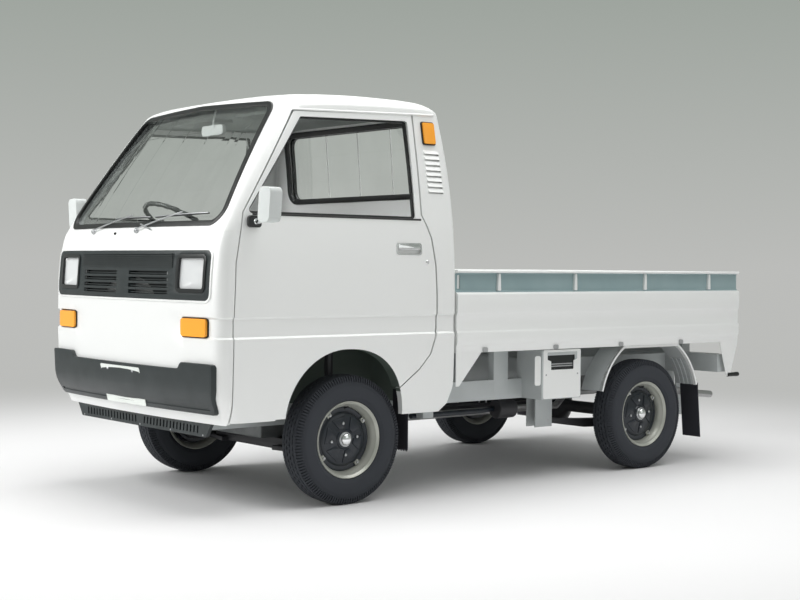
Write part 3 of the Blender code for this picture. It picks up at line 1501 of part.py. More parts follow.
def tyre_profile():
    bead = RIM_RADIUS + FACE_GAP
    inner_w = RIM_HALF_WIDTH - FACE_GAP
    half = TYRE_WIDTH / 2
    lip = RIM_LIP_RADIUS + FACE_GAP
    height = TYRE_RADIUS - bead
    outer = [(bead, inner_w), (lip, inner_w)]
    outer += [(bead + height * up, half * out) for up, out in TYRE_SHARES]
    return outer + [(radius, -w) for radius, w in reversed(outer)]


def build_wheels():
    """Four like wheels; each is a rim with its drum, and a tyre that it holds."""
    places = (
        ("front_left", 1, FRONT_TRACK / 2, FRONT_AXLE_Y),
        ("front_right", -1, FRONT_TRACK / 2, FRONT_AXLE_Y),
        ("rear_left", 1, REAR_TRACK / 2, REAR_AXLE_Y),
        ("rear_right", -1, REAR_TRACK / 2, REAR_AXLE_Y),
    )
    flat_turn = math.pi / WHEEL_STEPS
    for name, side, half_track, y in places:
        place = (side * half_track, y, AXLE_Z)
        profile = [(radius, side * w) for radius, w in rim_profile()]
        keep(turned(profile, WHEEL_STEPS, place, turn=flat_turn), "wheel_" + name, "wheel_steel", pivot=place)
        tyre = turned(tyre_profile(), WHEEL_STEPS, place, closed=True, turn=flat_turn)
        keep(tyre, "tyre_" + name, "tyre_rubber", pivot=place)


def build_front_axle():
    """Crossmember with the lower arms, and the knuckles that stand on them."""
    arm_top = ARM_LOW_Z + ARM_THICKNESS
    y = FRONT_AXLE_Y
    inner = FRONT_RAIL_X - RAIL_WIDTH
    beam = boxes(
        ((-inner, y - CROSSMEMBER_HALF_Y, ARM_LOW_Z), (inner, y + CROSSMEMBER_HALF_Y, ENGINE_LOW_Z - FACE_GAP))
    )
    for side in (-1, 1):
        outline = [
            (side * ARM_ROOT_X, y - ARM_ROOT_HALF),
            (side * KINGPIN_X, y - ARM_TIP_HALF),
            (side * (KINGPIN_X + ARM_TIP_REACH), y - ARM_TIP_HALF / 2),
            (side * (KINGPIN_X + ARM_TIP_REACH), y + ARM_TIP_HALF / 2),
            (side * KINGPIN_X, y + ARM_TIP_HALF),
            (side * ARM_ROOT_X, y + ARM_ROOT_HALF),
        ]
        join(beam, plate(outline, "Z", ARM_LOW_Z, arm_top))
        leg = sorted((side * (inner - RAIL_WIDTH / 2), side * (inner + RAIL_WIDTH / 2)))
        tower = boxes(
            ((leg[0], y - CROSSMEMBER_HALF_Y, ARM_LOW_Z), (leg[1], y + CROSSMEMBER_HALF_Y, RAIL_LOW_Z - FACE_GAP))
        )
        join(beam, tower)
    keep(beam, "front_suspension", "black_steel")
    for side, name in ((1, "knuckle_left"), (-1, "knuckle_right")):
        x = side * KINGPIN_X
        top = PLATFORM_Z - FLOOR_THICKNESS - FACE_GAP
        upright = rod([(x, y, arm_top + FACE_GAP), (x, y, top)], STRUT_RADIUS)
        spindle_end = side * (FRONT_TRACK / 2 + WHEEL_BACK_W - FACE_GAP)
        join(upright, rod([(x, y, AXLE_Z), (spindle_end, y, AXLE_Z)], SPINDLE_RADIUS))
        plate_x = side * (FRONT_TRACK / 2 - BACKPLATE_SET)
        join(upright, turned(disc(BACKPLATE_RADIUS, BACKPLATE_THICKNESS), WHEEL_STEPS, (plate_x, y, AXLE_Z)))
        arm = boxes(
            (
                (x - STRUT_RADIUS / 2, y, AXLE_Z - STRUT_RADIUS),
                (x + STRUT_RADIUS / 2, y + STEER_ARM_LENGTH, AXLE_Z),
            )
        )
        join(upright, arm)
        keep(upright, name, "black_steel", pivot=(x, y, AXLE_Z))


def side_profile():
    """The bed side seen from behind, from its foot to its top rail and back."""
    x = HALF_WIDTH
    inner = HALF_WIDTH - SIDE_THICKNESS
    edge = BAND_EDGE
    return [
        (inner, BED_LOW_Z),
        (x - BAND_DEPTH, BED_LOW_Z),
        (x - BAND_DEPTH, SWAGE_LOW_Z - edge),
        (x, SWAGE_LOW_Z + edge),
        (x, BAND_LOW_Z - edge),
        (x - BAND_DEPTH, BAND_LOW_Z + edge),
        (x - BAND_DEPTH, BAND_HIGH_Z - edge),
        (x, BAND_HIGH_Z + edge),
        (x, RECESS_LOW_Z - BAND_DEPTH),
        (x - BAND_DEPTH, RECESS_LOW_Z + BAND_DEPTH),
        (x - RECESS_DEPTH, RECESS_LOW_Z + RECESS_DEPTH),
        (x - RECESS_DEPTH, RECESS_HIGH_Z),
        (x, RECESS_HIGH_Z),
        (x, BED_TOP_Z),
        (inner, BED_TOP_Z),
    ]


def build_bed():
    inner = HALF_WIDTH - SIDE_THICKNESS - FACE_GAP
    gate_front = TAIL - GATE_THICKNESS - MOVE_GAP
    floor_top = BED_LOW_Z + BED_FLOOR_THICKNESS
    floor_front = BED_FRONT_Y + GATE_THICKNESS + FACE_GAP
    floor = boxes(((-inner, floor_front, BED_LOW_Z), (inner, gate_front, floor_top)))
    for side in (-1, 1):
        join(floor, fender(side))
    for index, x in enumerate(GATE_HINGE_X):
        half = GATE_KNUCKLE_WIDTH / 2
        tongue = boxes(
            (
                (x - half, gate_front - GATE_THICKNESS, BED_LOW_Z),
                (x + half, TAIL - GATE_THICKNESS - FACE_GAP, floor_top - GATE_KNUCKLE_RADIUS),
            )
        )
        join(floor, tongue)
    keep(floor, "bed_floor", "white_paint")
    board = boxes(
        (
            (-inner, BED_FRONT_Y, BED_LOW_Z),
            (inner, BED_FRONT_Y + GATE_THICKNESS, BED_TOP_Z),
        )
    )
    keep(board, "headboard", "white_paint")
    for side, name in ((1, "bed_side_left"), (-1, "bed_side_right")):
        build_bed_side(side, name)
    build_gate()


def front_reach():
    """How far the bumper stands ahead of the middle; the rear stops reach as far."""
    return NOSE * follow(CAB_SECTION_SHARES, BUMPER_WAIST_Z / FOOT_Z, 2) + BUMPER_STAND


def build_bed_side(side, name):
    panel = plate(side_profile(), "Y", BED_FRONT_Y, TAIL)
    gusset = [
        (BED_FRONT_Y, BED_LOW_Z + BAND_EDGE),
        (BED_FRONT_Y, GUSSET_LOW_Z),
        (GUSSET_FOOT_Y, GUSSET_LOW_Z),
        (GUSSET_REAR_Y, BED_LOW_Z + BAND_EDGE),
    ]
    skirt = [
        (SKIRT_TOP_Y, BED_LOW_Z + BAND_EDGE),
        (SKIRT_TIP_Y, SKIRT_LOW_Z),
        (SKIRT_REAR_Y, SKIRT_LOW_Z),
        (TAIL, BED_LOW_Z + BAND_EDGE),
    ]
    outer = HALF_WIDTH - BAND_DEPTH
    for outline in (gusset, skirt):
        join(panel, plate(outline, "X", outer - SKIRT_THICKNESS, outer - FACE_GAP))
    stay_pitch = (TAIL - BED_FRONT_Y) / STAY_COUNT
    for index in range(STAY_COUNT):
        y = BED_FRONT_Y + stay_pitch * (index + 1 / 2)
        low = (HALF_WIDTH - RECESS_DEPTH - FACE_GAP, y, RECESS_LOW_Z + BAND_DEPTH)
        high = (HALF_WIDTH - BAND_DEPTH - FACE_GAP, y + STAY_WIDTH, RECESS_HIGH_Z + FACE_GAP)
        join(panel, boxes((low, high)))
    x = outer - SKIRT_THICKNESS / 2
    stop = rod([(x, SKIRT_REAR_Y - STOP_RADIUS, STOP_Z), (x, front_reach(), STOP_Z)], STOP_RADIUS)
    join(panel, stop)
    if side < 0:
        other = mirrored(panel)
        drop(panel)
        panel = other
    keep(panel, name, "white_paint")


def build_gate():
    """The tailgate with its pressed ribs and hinge knuckles at its foot."""
    half = HALF_WIDTH - SIDE_THICKNESS - MOVE_GAP
    front = TAIL - GATE_THICKNESS
    gate = boxes(((-half, front, BED_LOW_Z), (half, TAIL, BED_TOP_Z)))
    grooves = []
    for low, high in ((BAND_LOW_Z, BAND_HIGH_Z), (RECESS_LOW_Z, RECESS_HIGH_Z)):
        grooves.append(((-half - OVERRUN, TAIL - GATE_RIB, low), (half + OVERRUN, TAIL + OVERRUN, high)))
    cut(gate, boxes(*grooves))
    keep(gate, "tailgate", "white_paint", pivot=(0, TAIL, BED_LOW_Z))


def fender(side):
    """A rear wheel arch under the bed: a bent sheet with a flange outside."""
    rise = BED_LOW_Z - FACE_GAP - FENDER_Z
    start = math.asin((FENDER_FOOT_Z - FENDER_Z) / FENDER_RADIUS)
    outer, inner = [], []
    for step in range(FENDER_STEPS + 1):
        angle = start + (math.pi - start - start) * step / FENDER_STEPS
        for points, radius in ((outer, FENDER_RADIUS + FENDER_THICKNESS), (inner, FENDER_RADIUS)):
            y = FENDER_Y - math.cos(angle) * radius
            top = rise + radius - FENDER_RADIUS - FENDER_THICKNESS
            z = FENDER_Z + min(math.sin(angle) * radius, top)
            points.append((y, z))
    ends = sorted((side * FENDER_INNER_X, side * FENDER_OUTER_X))
    arch = plate(outer + inner[::-1], "X", *ends)
    ends = sorted((side * FENDER_INNER_X, side * (HALF_WIDTH - SIDE_THICKNESS - STAY_WIDTH)))
    reach = FENDER_RADIUS / 3
    low = (ends[0], FENDER_Y - reach, BED_LOW_Z - FENDER_THICKNESS / 2)
    high = (ends[1], FENDER_Y + reach, BED_LOW_Z + FENDER_THICKNESS)
    return join(arch, boxes((low, high)))


def build_flaps():
    for side, name in ((1, "left"), (-1, "right")):
        ends = sorted((side * FRONT_FLAP_INNER_X, side * FRONT_FLAP_OUTER_X))
        back = HOUSE_REAR_Y - FACE_GAP
        low = (ends[0], back - FLAP_THICKNESS, FRONT_FLAP_LOW_Z)
        high = (ends[1], back, FRONT_FLAP_HIGH_Z)
        keep(boxes((low, high)), "front_flap_" + name, "black_rubber")
        ends = sorted((side * REAR_FLAP_INNER_X, side * FENDER_OUTER_X))
        foot = math.asin((FENDER_FOOT_Z - FENDER_Z) / FENDER_RADIUS)
        reach = math.cos(foot) * (FENDER_RADIUS + FENDER_THICKNESS)
        front = FENDER_Y + reach + FACE_GAP
        sheet = [
            (front, FENDER_FOOT_Z + FENDER_THICKNESS),
            (front, FENDER_FOOT_Z - FENDER_THICKNESS),
            (front + REAR_FLAP_LEAN, REAR_FLAP_LOW_Z),
        ]
        sheet += [(y + FLAP_THICKNESS, z) for y, z in reversed(sheet)]
        keep(plate(sheet, "X", *ends), "rear_flap_" + name, "black_rubber")


def build_tail_lamps():
    for side, name in ((1, "tail_lamp_left"), (-1, "tail_lamp_right")):
        ends = sorted((side * TAIL_LAMP_INNER_X, side * TAIL_LAMP_OUTER_X))
        low = (ends[0], RAIL_REAR_Y + FACE_GAP, TAIL_LAMP_LOW_Z)
        high = (ends[1], RAIL_REAR_Y + TAIL_LAMP_DEPTH, REAR_RAIL_LOW_Z + RAIL_HEIGHT)
        keep(boxes((low, high)), name, "red_lens")


build_cab()
build_windows()
build_front_face()
build_cab_inside()
build_frame()
build_drive()
build_front_axle()
build_wheels()
build_bed()
build_flaps()
build_tail_lamps()
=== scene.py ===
"""The looks of a light cab-over truck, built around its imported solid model.

+X is the vehicle's left, -Y its front and +Z up. Lengths are in metres.
"""

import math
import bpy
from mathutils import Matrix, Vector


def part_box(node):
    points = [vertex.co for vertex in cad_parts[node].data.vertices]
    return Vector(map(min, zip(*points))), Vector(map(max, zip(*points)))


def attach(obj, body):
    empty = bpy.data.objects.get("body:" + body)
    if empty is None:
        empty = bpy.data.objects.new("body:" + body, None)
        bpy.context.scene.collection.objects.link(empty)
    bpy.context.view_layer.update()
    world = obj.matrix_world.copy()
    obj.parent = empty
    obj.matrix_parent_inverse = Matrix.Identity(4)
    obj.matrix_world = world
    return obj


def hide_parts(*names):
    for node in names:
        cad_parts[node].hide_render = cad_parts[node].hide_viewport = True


bl_info = {
    "name": "Light cab-over truck",
    "version": (1, 0, 0),
    "blender": (4, 5, 0),
    "location": "View3D > Sidebar > Truck",
    "description": "Builds the body, wheels, cab and bed of a light truck with fixed bed sides",
    "category": "Add Mesh",
}

import bmesh
import bpy
from bpy.props import BoolProperty, FloatProperty, FloatVectorProperty, IntProperty, PointerProperty
from mathutils import Matrix, Vector
from mathutils.bvhtree import BVHTree

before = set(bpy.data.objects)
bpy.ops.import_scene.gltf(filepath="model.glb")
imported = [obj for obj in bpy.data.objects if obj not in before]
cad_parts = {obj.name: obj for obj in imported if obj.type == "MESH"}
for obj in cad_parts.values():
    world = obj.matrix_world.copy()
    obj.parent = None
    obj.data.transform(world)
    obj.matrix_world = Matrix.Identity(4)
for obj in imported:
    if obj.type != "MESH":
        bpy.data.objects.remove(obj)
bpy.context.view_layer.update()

# Whole vehicle
HALF_WIDTH = 0.6975
NOSE = 1.5875
TAIL = 1.5875
FRONT_AXLE_Y = -0.897
REAR_AXLE_Y = 0.910
FRONT_TRACK = 1.190
REAR_TRACK = 1.210
TYRE_RADIUS = 0.2685
AXLE_Z = 0.2662
FACE_GAP = 0.0003
MOVE_GAP = 0.005
OVERRUN = 0.05

# Cab skin
SILL_Z = 0.361
FOOT_Z = 1.146
BAND_LOW_Z = 0.6994
BAND_HIGH_Z = 0.7753
BAND_DEPTH = 0.007
BAND_EDGE = 0.004
BAND_START_SHARE = 0.62
GUTTER_FRONT_Z = 1.603
GUTTER_REAR_Z = 1.634
GUTTER_HALF_WIDTH = 0.605
HEAD_Y = -1.195
CAB_REAR_Y = -0.362
ROOF_RISE = 0.097
ROOF_POWER = 3.4
CROWN = 0.035
CORNER_RADIUS = 0.060
REAR_CORNER_RADIUS = 0.016
REAR_LEAN = 0.034
LEAST_RADIUS = 0.010
SIDE_BULGE = 0.006
SCREEN_BULGE = 0.012
CORNER_STEPS = 7
SIDE_WALL = 0.055
PILLAR_WALL = 0.025
FRONT_WALL = 0.040
REAR_WALL = 0.030
ROOF_WALL = 0.030
SPLIT_Z = 1.112

# Columns: height of the screen's foot, half width of the body, reach of the nose.
SECTIONS = (
    (0.3150, 0.9835, 0.9600),
    (0.3534, 0.9864, 0.9732),
    (0.4101, 0.9900, 0.9928),
    (0.4887, 0.9950, 0.9972),
    (0.6069, 1.0000, 1.0000),
    (0.7504, 0.9990, 1.0000),
    (0.8290, 0.9957, 0.9972),
    (0.9075, 0.9900, 0.9915),
    (0.9599, 0.9835, 0.9830),
    (1.0000, 0.9778, 0.9676),
)
SECTION_STEPS = 3
COLUMNS = (0.85, 0.78, 0.72, 0.675, 0.635, 0.605, 0.5, 0.4, 0.3, 0.2, 0.1, 0.0)
UPPER_RINGS = 12
# Columns: place from the screen's head to the back, rise of the roof there.
ROOF_ROWS = (
    (0.0, 0.70),
    (0.054, 0.78),
    (0.21, 0.94),
    (0.474, 1.00),
    (0.714, 0.95),
    (0.894, 0.84),
    (0.954, 0.66),
    (0.990, 0.34),
    (1.0, 0.0),
)

# Doors
DOOR_FRONT_Y = -1.490
DOOR_REAR_Y = -0.466
DOOR_TOP_Z = 1.631
DOOR_BOTTOM_Z = 0.372
DOOR_FRONT_GAP = 0.005
DOOR_REAR_GAP = 0.0085
# Columns: place from the door's front edge to its rear edge, height from its
# bottom to its top, and how much of the front gap, rear gap and top gap it keeps.
DOOR_EDGE = (
    (0.0000, 0.0000, 1, 0, 0),
    (0.0000, 0.3200, 1, 0, 0),
    (0.0100, 0.4900, 1, 0, 0),
    (0.0488, 0.6450, 1, 0, 0),
    (0.3220, 0.9790, 1, 0, 1),
    (0.9277, 1.0000, 0, 1, 1),
    (0.9277, 0.6560, 0, 1, 0),
    (0.9480, 0.6290, 0, 1, 0),
    (0.9760, 0.5780, 0, 1, 0),
    (0.9950, 0.4860, 0, 1, 0),
    (1.0000, 0.3870, 0, 1, 0),
    (1.0000, 0.2760, 0, 1, 0),
    (0.9930, 0.2450, 0, 1, 0),
    (0.9690, 0.1890, 0, 1, 0),
    (0.9110, 0.1390, 0, 1, 0),
    (0.8000, 0.0750, 0, 1, 0),
    (0.7200, 0.0000, 0, 1, 0),
)
DOOR_WINDOW = ((0.0650, 0.6426), (0.3550, 0.9590), (0.8940, 0.9740), (0.8940, 0.6426))
HANDLE = (-0.689, -0.551, 1.028, 1.079)
ARCH_Y = -0.9455
ARCH_Z = 0.345
ARCH_HALF_LENGTH = 0.297
ARCH_HEIGHT = 0.298
ARCH_REAR_POWER = 2.4
ARCH_STEPS = 20
NOTCH_Y = -1.288
QUARTER_FOOT_Y = -0.449
QUARTER_HEEL_Z = 0.487
QUARTER_KNEE_Y = -0.404
QUARTER_KNEE_Z = 0.394
REAR_WALL_FOOT_Z = 0.662
PLATFORM_Z = 0.660
HOUSE_INNER_X = 0.365
HOUSE_OUTER_X = 0.660
HOUSE_REAR_Y = -0.570
RISER_Y = -1.200

# Bed
BED_FRONT_Y = -0.353
BED_LOW_Z = 0.606
BED_FLOOR_THICKNESS = 0.030
SIDE_THICKNESS = 0.034
RECESS_LOW_Z = 0.868
RECESS_HIGH_Z = 0.955
RECESS_DEPTH = 0.020
GATE_THICKNESS = 0.030
FENDER_OUTER_X = 0.672
FENDER_INNER_X = 0.535
FENDER_Y = 0.940
FENDER_Z = 0.300
FENDER_RADIUS = 0.353
FENDER_FOOT_Z = 0.392
FENDER_THICKNESS = 0.012

# Columns: name, colour, second tone, tone scale, roughness, metal, coat, grain scale, grain depth.
FINISHES = (
    ("white_paint", (0.80, 0.82, 0.80), (0.77, 0.79, 0.775), 3, 0.24, 0.0, 0.6, 900, 0.010),
    # The next finish paints shade and reflection in blue-grey into the bed sides' recess band, which is white
    # paint.
    ("recess_paint", (0.27, 0.37, 0.38), (0.24, 0.34, 0.35), 6, 0.34, 0.0, 0.3, 900, 0.02),
    # The next finish is white paint darkened to a grey as painted shade, for the frame, the fenders' insides
    # and the pillars' inner faces; it also colours the rail joints.
    ("grey_paint", (0.50, 0.53, 0.53), (0.46, 0.49, 0.49), 6, 0.40, 0.0, 0.1, 900, 0.02),
    ("inner_paint", (0.115, 0.135, 0.12), (0.09, 0.105, 0.095), 7, 0.50, 0.0, 0.0, 700, 0.05),
    ("headliner", (0.42, 0.45, 0.43), (0.37, 0.40, 0.385), 9, 0.85, 0.0, 0.0, 420, 0.30),
    ("charcoal_plastic", (0.016, 0.023, 0.024), (0.012, 0.018, 0.019), 10, 0.40, 0.0, 0.0, 1300, 0.10),
    ("lamp_bezel", (0.006, 0.008, 0.009), (0.004, 0.006, 0.006), 14, 0.30, 0.0, 0.1, 1300, 0.05),
    ("dash_plastic", (0.028, 0.031, 0.034), (0.020, 0.022, 0.025), 12, 0.58, 0.0, 0.0, 600, 0.20),
    ("seal_rubber", (0.004, 0.005, 0.005), (0.007, 0.008, 0.008), 16, 0.38, 0.0, 0.0, 900, 0.08),
    ("flap_rubber", (0.006, 0.007, 0.009), (0.010, 0.011, 0.013), 12, 0.66, 0.0, 0.0, 500, 0.25),
    ("tyre_rubber", (0.005, 0.008, 0.011), (0.008, 0.012, 0.016), 9, 0.50, 0.0, 0.0, 700, 0.20),
    ("rim_paint", (0.47, 0.48, 0.43), (0.42, 0.43, 0.385), 12, 0.36, 0.35, 0.2, 900, 0.03),
    ("disc_paint", (0.004, 0.008, 0.014), (0.007, 0.012, 0.020), 14, 0.32, 0.1, 0.2, 900, 0.05),
    ("chrome", (0.86, 0.87, 0.88), (0.78, 0.79, 0.80), 20, 0.08, 1.0, 0.0, 900, 0.005),
    ("satin_steel", (0.52, 0.53, 0.54), (0.44, 0.45, 0.46), 24, 0.32, 1.0, 0.0, 800, 0.05),
    ("black_steel", (0.007, 0.009, 0.013), (0.012, 0.014, 0.018), 11, 0.44, 0.3, 0.1, 380, 0.18),
    ("cast_metal", (0.20, 0.21, 0.21), (0.15, 0.16, 0.16), 15, 0.56, 0.8, 0.0, 260, 0.55),
    ("exhaust_steel", (0.34, 0.34, 0.33), (0.24, 0.24, 0.235), 8, 0.46, 0.9, 0.0, 330, 0.25),
    ("mirror_plastic", (0.52, 0.56, 0.55), (0.47, 0.51, 0.50), 11, 0.45, 0.0, 0.0, 1200, 0.08),
    ("battery_case", (0.005, 0.007, 0.008), (0.008, 0.010, 0.011), 14, 0.35, 0.0, 0.0, 900, 0.08),
    ("plate_white", (0.74, 0.78, 0.74), (0.71, 0.75, 0.71), 9, 0.34, 0.0, 0.1, 900, 0.02),
    ("white_plastic", (0.66, 0.68, 0.67), (0.62, 0.64, 0.63), 9, 0.40, 0.0, 0.0, 900, 0.06),
    ("wheel_plastic", (0.016, 0.017, 0.018), (0.024, 0.025, 0.026), 14, 0.36, 0.0, 0.1, 900, 0.10),
)


# Collections and plain mesh helpers
def new_collection(name):
    made = bpy.data.collections.new(name)
    bpy.context.scene.collection.children.link(made)
    return made


PIECES = new_collection("pieces")
TOOLS = new_collection("tools")
TOOLS.hide_render = True


def tool(data):
    """A helper object that is later used up, or kept by keep()."""
    made = bpy.data.objects.new("tool", data)
    TOOLS.objects.link(made)
    return made


def mesh_of(shape):
    """The mesh of an object, with its modifiers applied."""
    bpy.context.view_layer.update()
    graph = bpy.context.evaluated_depsgraph_get()
    return bpy.data.meshes.new_from_object(shape.evaluated_get(graph))


def drop(shape):
    bpy.data.objects.remove(shape, do_unlink=True)


def welded(mesh, reach=FACE_GAP / 10):
    """The mesh with its doubles merged and its faces pointing out."""
    work = bmesh.new()
    work.from_mesh(mesh)
    bmesh.ops.remove_doubles(work, verts=work.verts, dist=reach)
    bmesh.ops.recalc_face_normals(work, faces=work.faces)
    work.to_mesh(mesh)
    work.free()
    return mesh


def combine(shape, other, operation):
    step = shape.modifiers.new("combine", "BOOLEAN")
    step.operation = operation
    step.solver = "EXACT"
    step.object = other
    mesh = mesh_of(shape)
    shape.modifiers.clear()
    shape.data = mesh
    drop(other)
    return shape


def cut(shape, *others):
    for other in others:
        combine(shape, other, "DIFFERENCE")
    return shape


def inside(shape, region):
    return combine(shape, region, "INTERSECT")


def copy_of(shape):
    return tool(shape.data.copy())


def mirrored(shape):
    mesh = shape.data.copy()
    mesh.transform(Matrix.Scale(-1, 4, Vector((1, 0, 0))))
    mesh.flip_normals()
    return tool(mesh)


def gather(*shapes):
    """Several shapes as one object, without a Boolean; they may touch."""
    work = bmesh.new()
    for shape in shapes:
        work.from_mesh(shape.data)
    mesh = bpy.data.meshes.new("gather")
    work.to_mesh(mesh)
    work.free()
    for shape in shapes:
        drop(shape)
    return tool(mesh)


def softened(shape, width, steps=2, angle=30.0):
    """The shape with its sharp edges rounded off."""
    step = shape.modifiers.new("soften", "BEVEL")
    step.width = width
    step.segments = steps
    step.limit_method = "ANGLE"
    step.angle_limit = math.radians(angle)
    mesh = mesh_of(shape)
    shape.modifiers.clear()
    shape.data = mesh
    return shape


def subdivided(shape, levels=2):
    step = shape.modifiers.new("smooth", "SUBSURF")
    step.levels = levels
    step.render_levels = levels
    mesh = mesh_of(shape)
    shape.modifiers.clear()
    shape.data = mesh
    return shape


def keep(shape, name, finish, body="body", replaces=(), smooth_degrees=35.0):
    """Makes the shape a named piece that rides on a body."""
    TOOLS.objects.unlink(shape)
    PIECES.objects.link(shape)
    shape.name = name
    shape.data.name = name
    if finish:
        shape.data.materials.clear()
        shape.data.materials.append(bpy.data.materials[finish])
    shape.data.shade_smooth()
    shape.data.set_sharp_from_angle(angle=math.radians(smooth_degrees))
    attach(shape, body)
    if replaces:
        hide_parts(*replaces)
    return shape


def boxes(*corners):
    """One tool of separate boxes, each given by its low and its high corner."""
    work = bmesh.new()
    for low, high in corners:
        low, high = Vector(low), Vector(high)
        place = Matrix.Translation((low + high) / 2) @ Matrix.Diagonal((high - low).to_4d())
        bmesh.ops.create_cube(work, size=1, matrix=place)
    mesh = bpy.data.meshes.new("boxes")
    work.to_mesh(mesh)
    work.free()
    return tool(mesh)


def plate(outline, axis, low, high, holes=()):
    """A flat outline given thickness along an axis from low to high.

    Along X the outline is in (y, z), along Y in (x, z) and along Z in (x, y).
    """
    flat = bpy.data.curves.new("plate", "CURVE")
    flat.dimensions = "2D"
    flat.fill_mode = "BOTH"
    flat.extrude = (high - low) / 2
    for loop in (outline, *holes):
        line = flat.splines.new("POLY")
        line.points.add(len(loop) - 1)
        line.use_cyclic_u = True
        for point, (across, up) in zip(line.points, loop):
            point.co = (across, up, 0, 1)
    turns = {
        "X": Matrix(((0, 0, 1, 0), (1, 0, 0, 0), (0, 1, 0, 0), (0, 0, 0, 1))),
        "Y": Matrix(((1, 0, 0, 0), (0, 0, -1, 0), (0, 1, 0, 0), (0, 0, 0, 1))),
        "Z": Matrix.Identity(4),
    }
    middle = {"X": (1, 0, 0), "Y": (0, 1, 0), "Z": (0, 0, 1)}
    shape = tool(flat)
    mesh = mesh_of(shape)
    drop(shape)
    mesh.transform(Matrix.Translation(Vector(middle[axis]) * (low + high) / 2) @ turns[axis])
    return tool(welded(mesh))


def turned(profile, steps, place, closed=False, axis="X"):
    """A profile of (radius, width) turned about an axis through a place."""
    mesh = bpy.data.meshes.new("turned")
    points = [(radius, 0, width) for radius, width in profile]
    count = len(points)
    edges = [(i, (i + 1) % count) for i in range(count if closed else count - 1)]
    mesh.from_pydata(points, edges, [])
    shape = tool(mesh)
    screw = shape.modifiers.new("turn", "SCREW")
    screw.steps = steps
    screw.render_steps = steps
    screw.use_merge_vertices = True
    screw.merge_threshold = FACE_GAP / 10
    solid = mesh_of(shape)
    drop(shape)
    turns = {
        "X": Matrix.Rotation(math.pi / 2, 4, "Y"),
        "Y": Matrix.Rotation(-math.pi / 2, 4, "X"),
        "Z": Matrix.Identity(4),
    }
    solid.transform(Matrix.Translation(place) @ turns[axis])
    return tool(welded(solid))


def rounded(points, radius, steps=6):
    """The outline with each corner replaced by an arc of the radius."""
    made = []
    count = len(points)
    for index, point in enumerate(points):
        here = Vector(point)
        before = (Vector(points[index - 1]) - here).normalized()
        after = (Vector(points[(index + 1) % count]) - here).normalized()
        half = before.angle(after) / 2
        reach = radius / math.tan(half)
        middle = here + (before + after).normalized() * radius / math.sin(half)
        start = here + before * reach - middle
        sweep = start.angle_signed(here + after * reach - middle)
        for step in range(steps + 1):
            turn = Matrix.Rotation(-sweep * step / steps, 2)
            made.append(tuple(middle + turn @ start))
    return made


def rectangle(low_a, high_a, low_b, high_b):
    return [(low_a, low_b), (high_a, low_b), (high_a, high_b), (low_a, high_b)]


def follow(table, place, column):
    """A column of a table, read between its rows on a smooth curve."""
    for index in range(len(table) - 1):
        if place <= table[index + 1][0]:
            break
    before = table[max(index - 1, 0)]
    lower, upper = table[index], table[index + 1]
    after = table[min(index + 2, len(table) - 1)]
    span = upper[0] - lower[0]
    part = (place - lower[0]) / span
    rise_low = (upper[column] - before[column]) / (upper[0] - before[0]) * span
    rise_high = (after[column] - lower[column]) / (after[0] - lower[0]) * span
    square, cube = part**2, part**3
    return (
        (2 * cube - 3 * square + 1) * lower[column]
        + (cube - 2 * square + part) * rise_low
        + (3 * square - 2 * cube) * upper[column]
        + (cube - square) * rise_high
    )


# Geometry node trees for what repeats or follows a path
def new_tree(name, sockets):
    tree = bpy.data.node_groups.new(name, "GeometryNodeTree")
    tree.interface.new_socket("Geometry", in_out="INPUT", socket_type="NodeSocketGeometry")
    for label, kind, value in sockets:
        socket = tree.interface.new_socket(label, in_out="INPUT", socket_type=kind)
        if value is not None:
            socket.default_value = value
    tree.interface.new_socket("Geometry", in_out="OUTPUT", socket_type="NodeSocketGeometry")
    return tree, tree.nodes.new("NodeGroupInput"), tree.nodes.new("NodeGroupOutput")


def end_tree(tree, start, end, geometry):
    """Realizes what the tree made, sets its material and leads it out."""
    whole = tree.nodes.new("GeometryNodeRealizeInstances")
    paint = tree.nodes.new("GeometryNodeSetMaterial")
    tree.links.new(geometry, whole.inputs["Geometry"])
    tree.links.new(whole.outputs["Geometry"], paint.inputs["Geometry"])
    tree.links.new(start.outputs["Finish"], paint.inputs["Material"])
    tree.links.new(paint.outputs["Geometry"], end.inputs["Geometry"])


def make_row_tree():
    """Copies of a piece in a straight row."""
    tree, start, end = new_tree(
        "row_of_pieces",
        (
            ("Count", "NodeSocketInt", 4),
            ("Step", "NodeSocketVector", (0.0, 0.1, 0.0)),
            ("Finish", "NodeSocketMaterial", None),
        ),
    )
    line = tree.nodes.new("GeometryNodeMeshLine")
    line.mode = "OFFSET"
    place = tree.nodes.new("GeometryNodeInstanceOnPoints")
    tree.links.new(start.outputs["Count"], line.inputs["Count"])
    tree.links.new(start.outputs["Step"], line.inputs["Offset"])
    tree.links.new(line.outputs["Mesh"], place.inputs["Points"])
    tree.links.new(start.outputs["Geometry"], place.inputs["Instance"])
    end_tree(tree, start, end, place.outputs["Instances"])


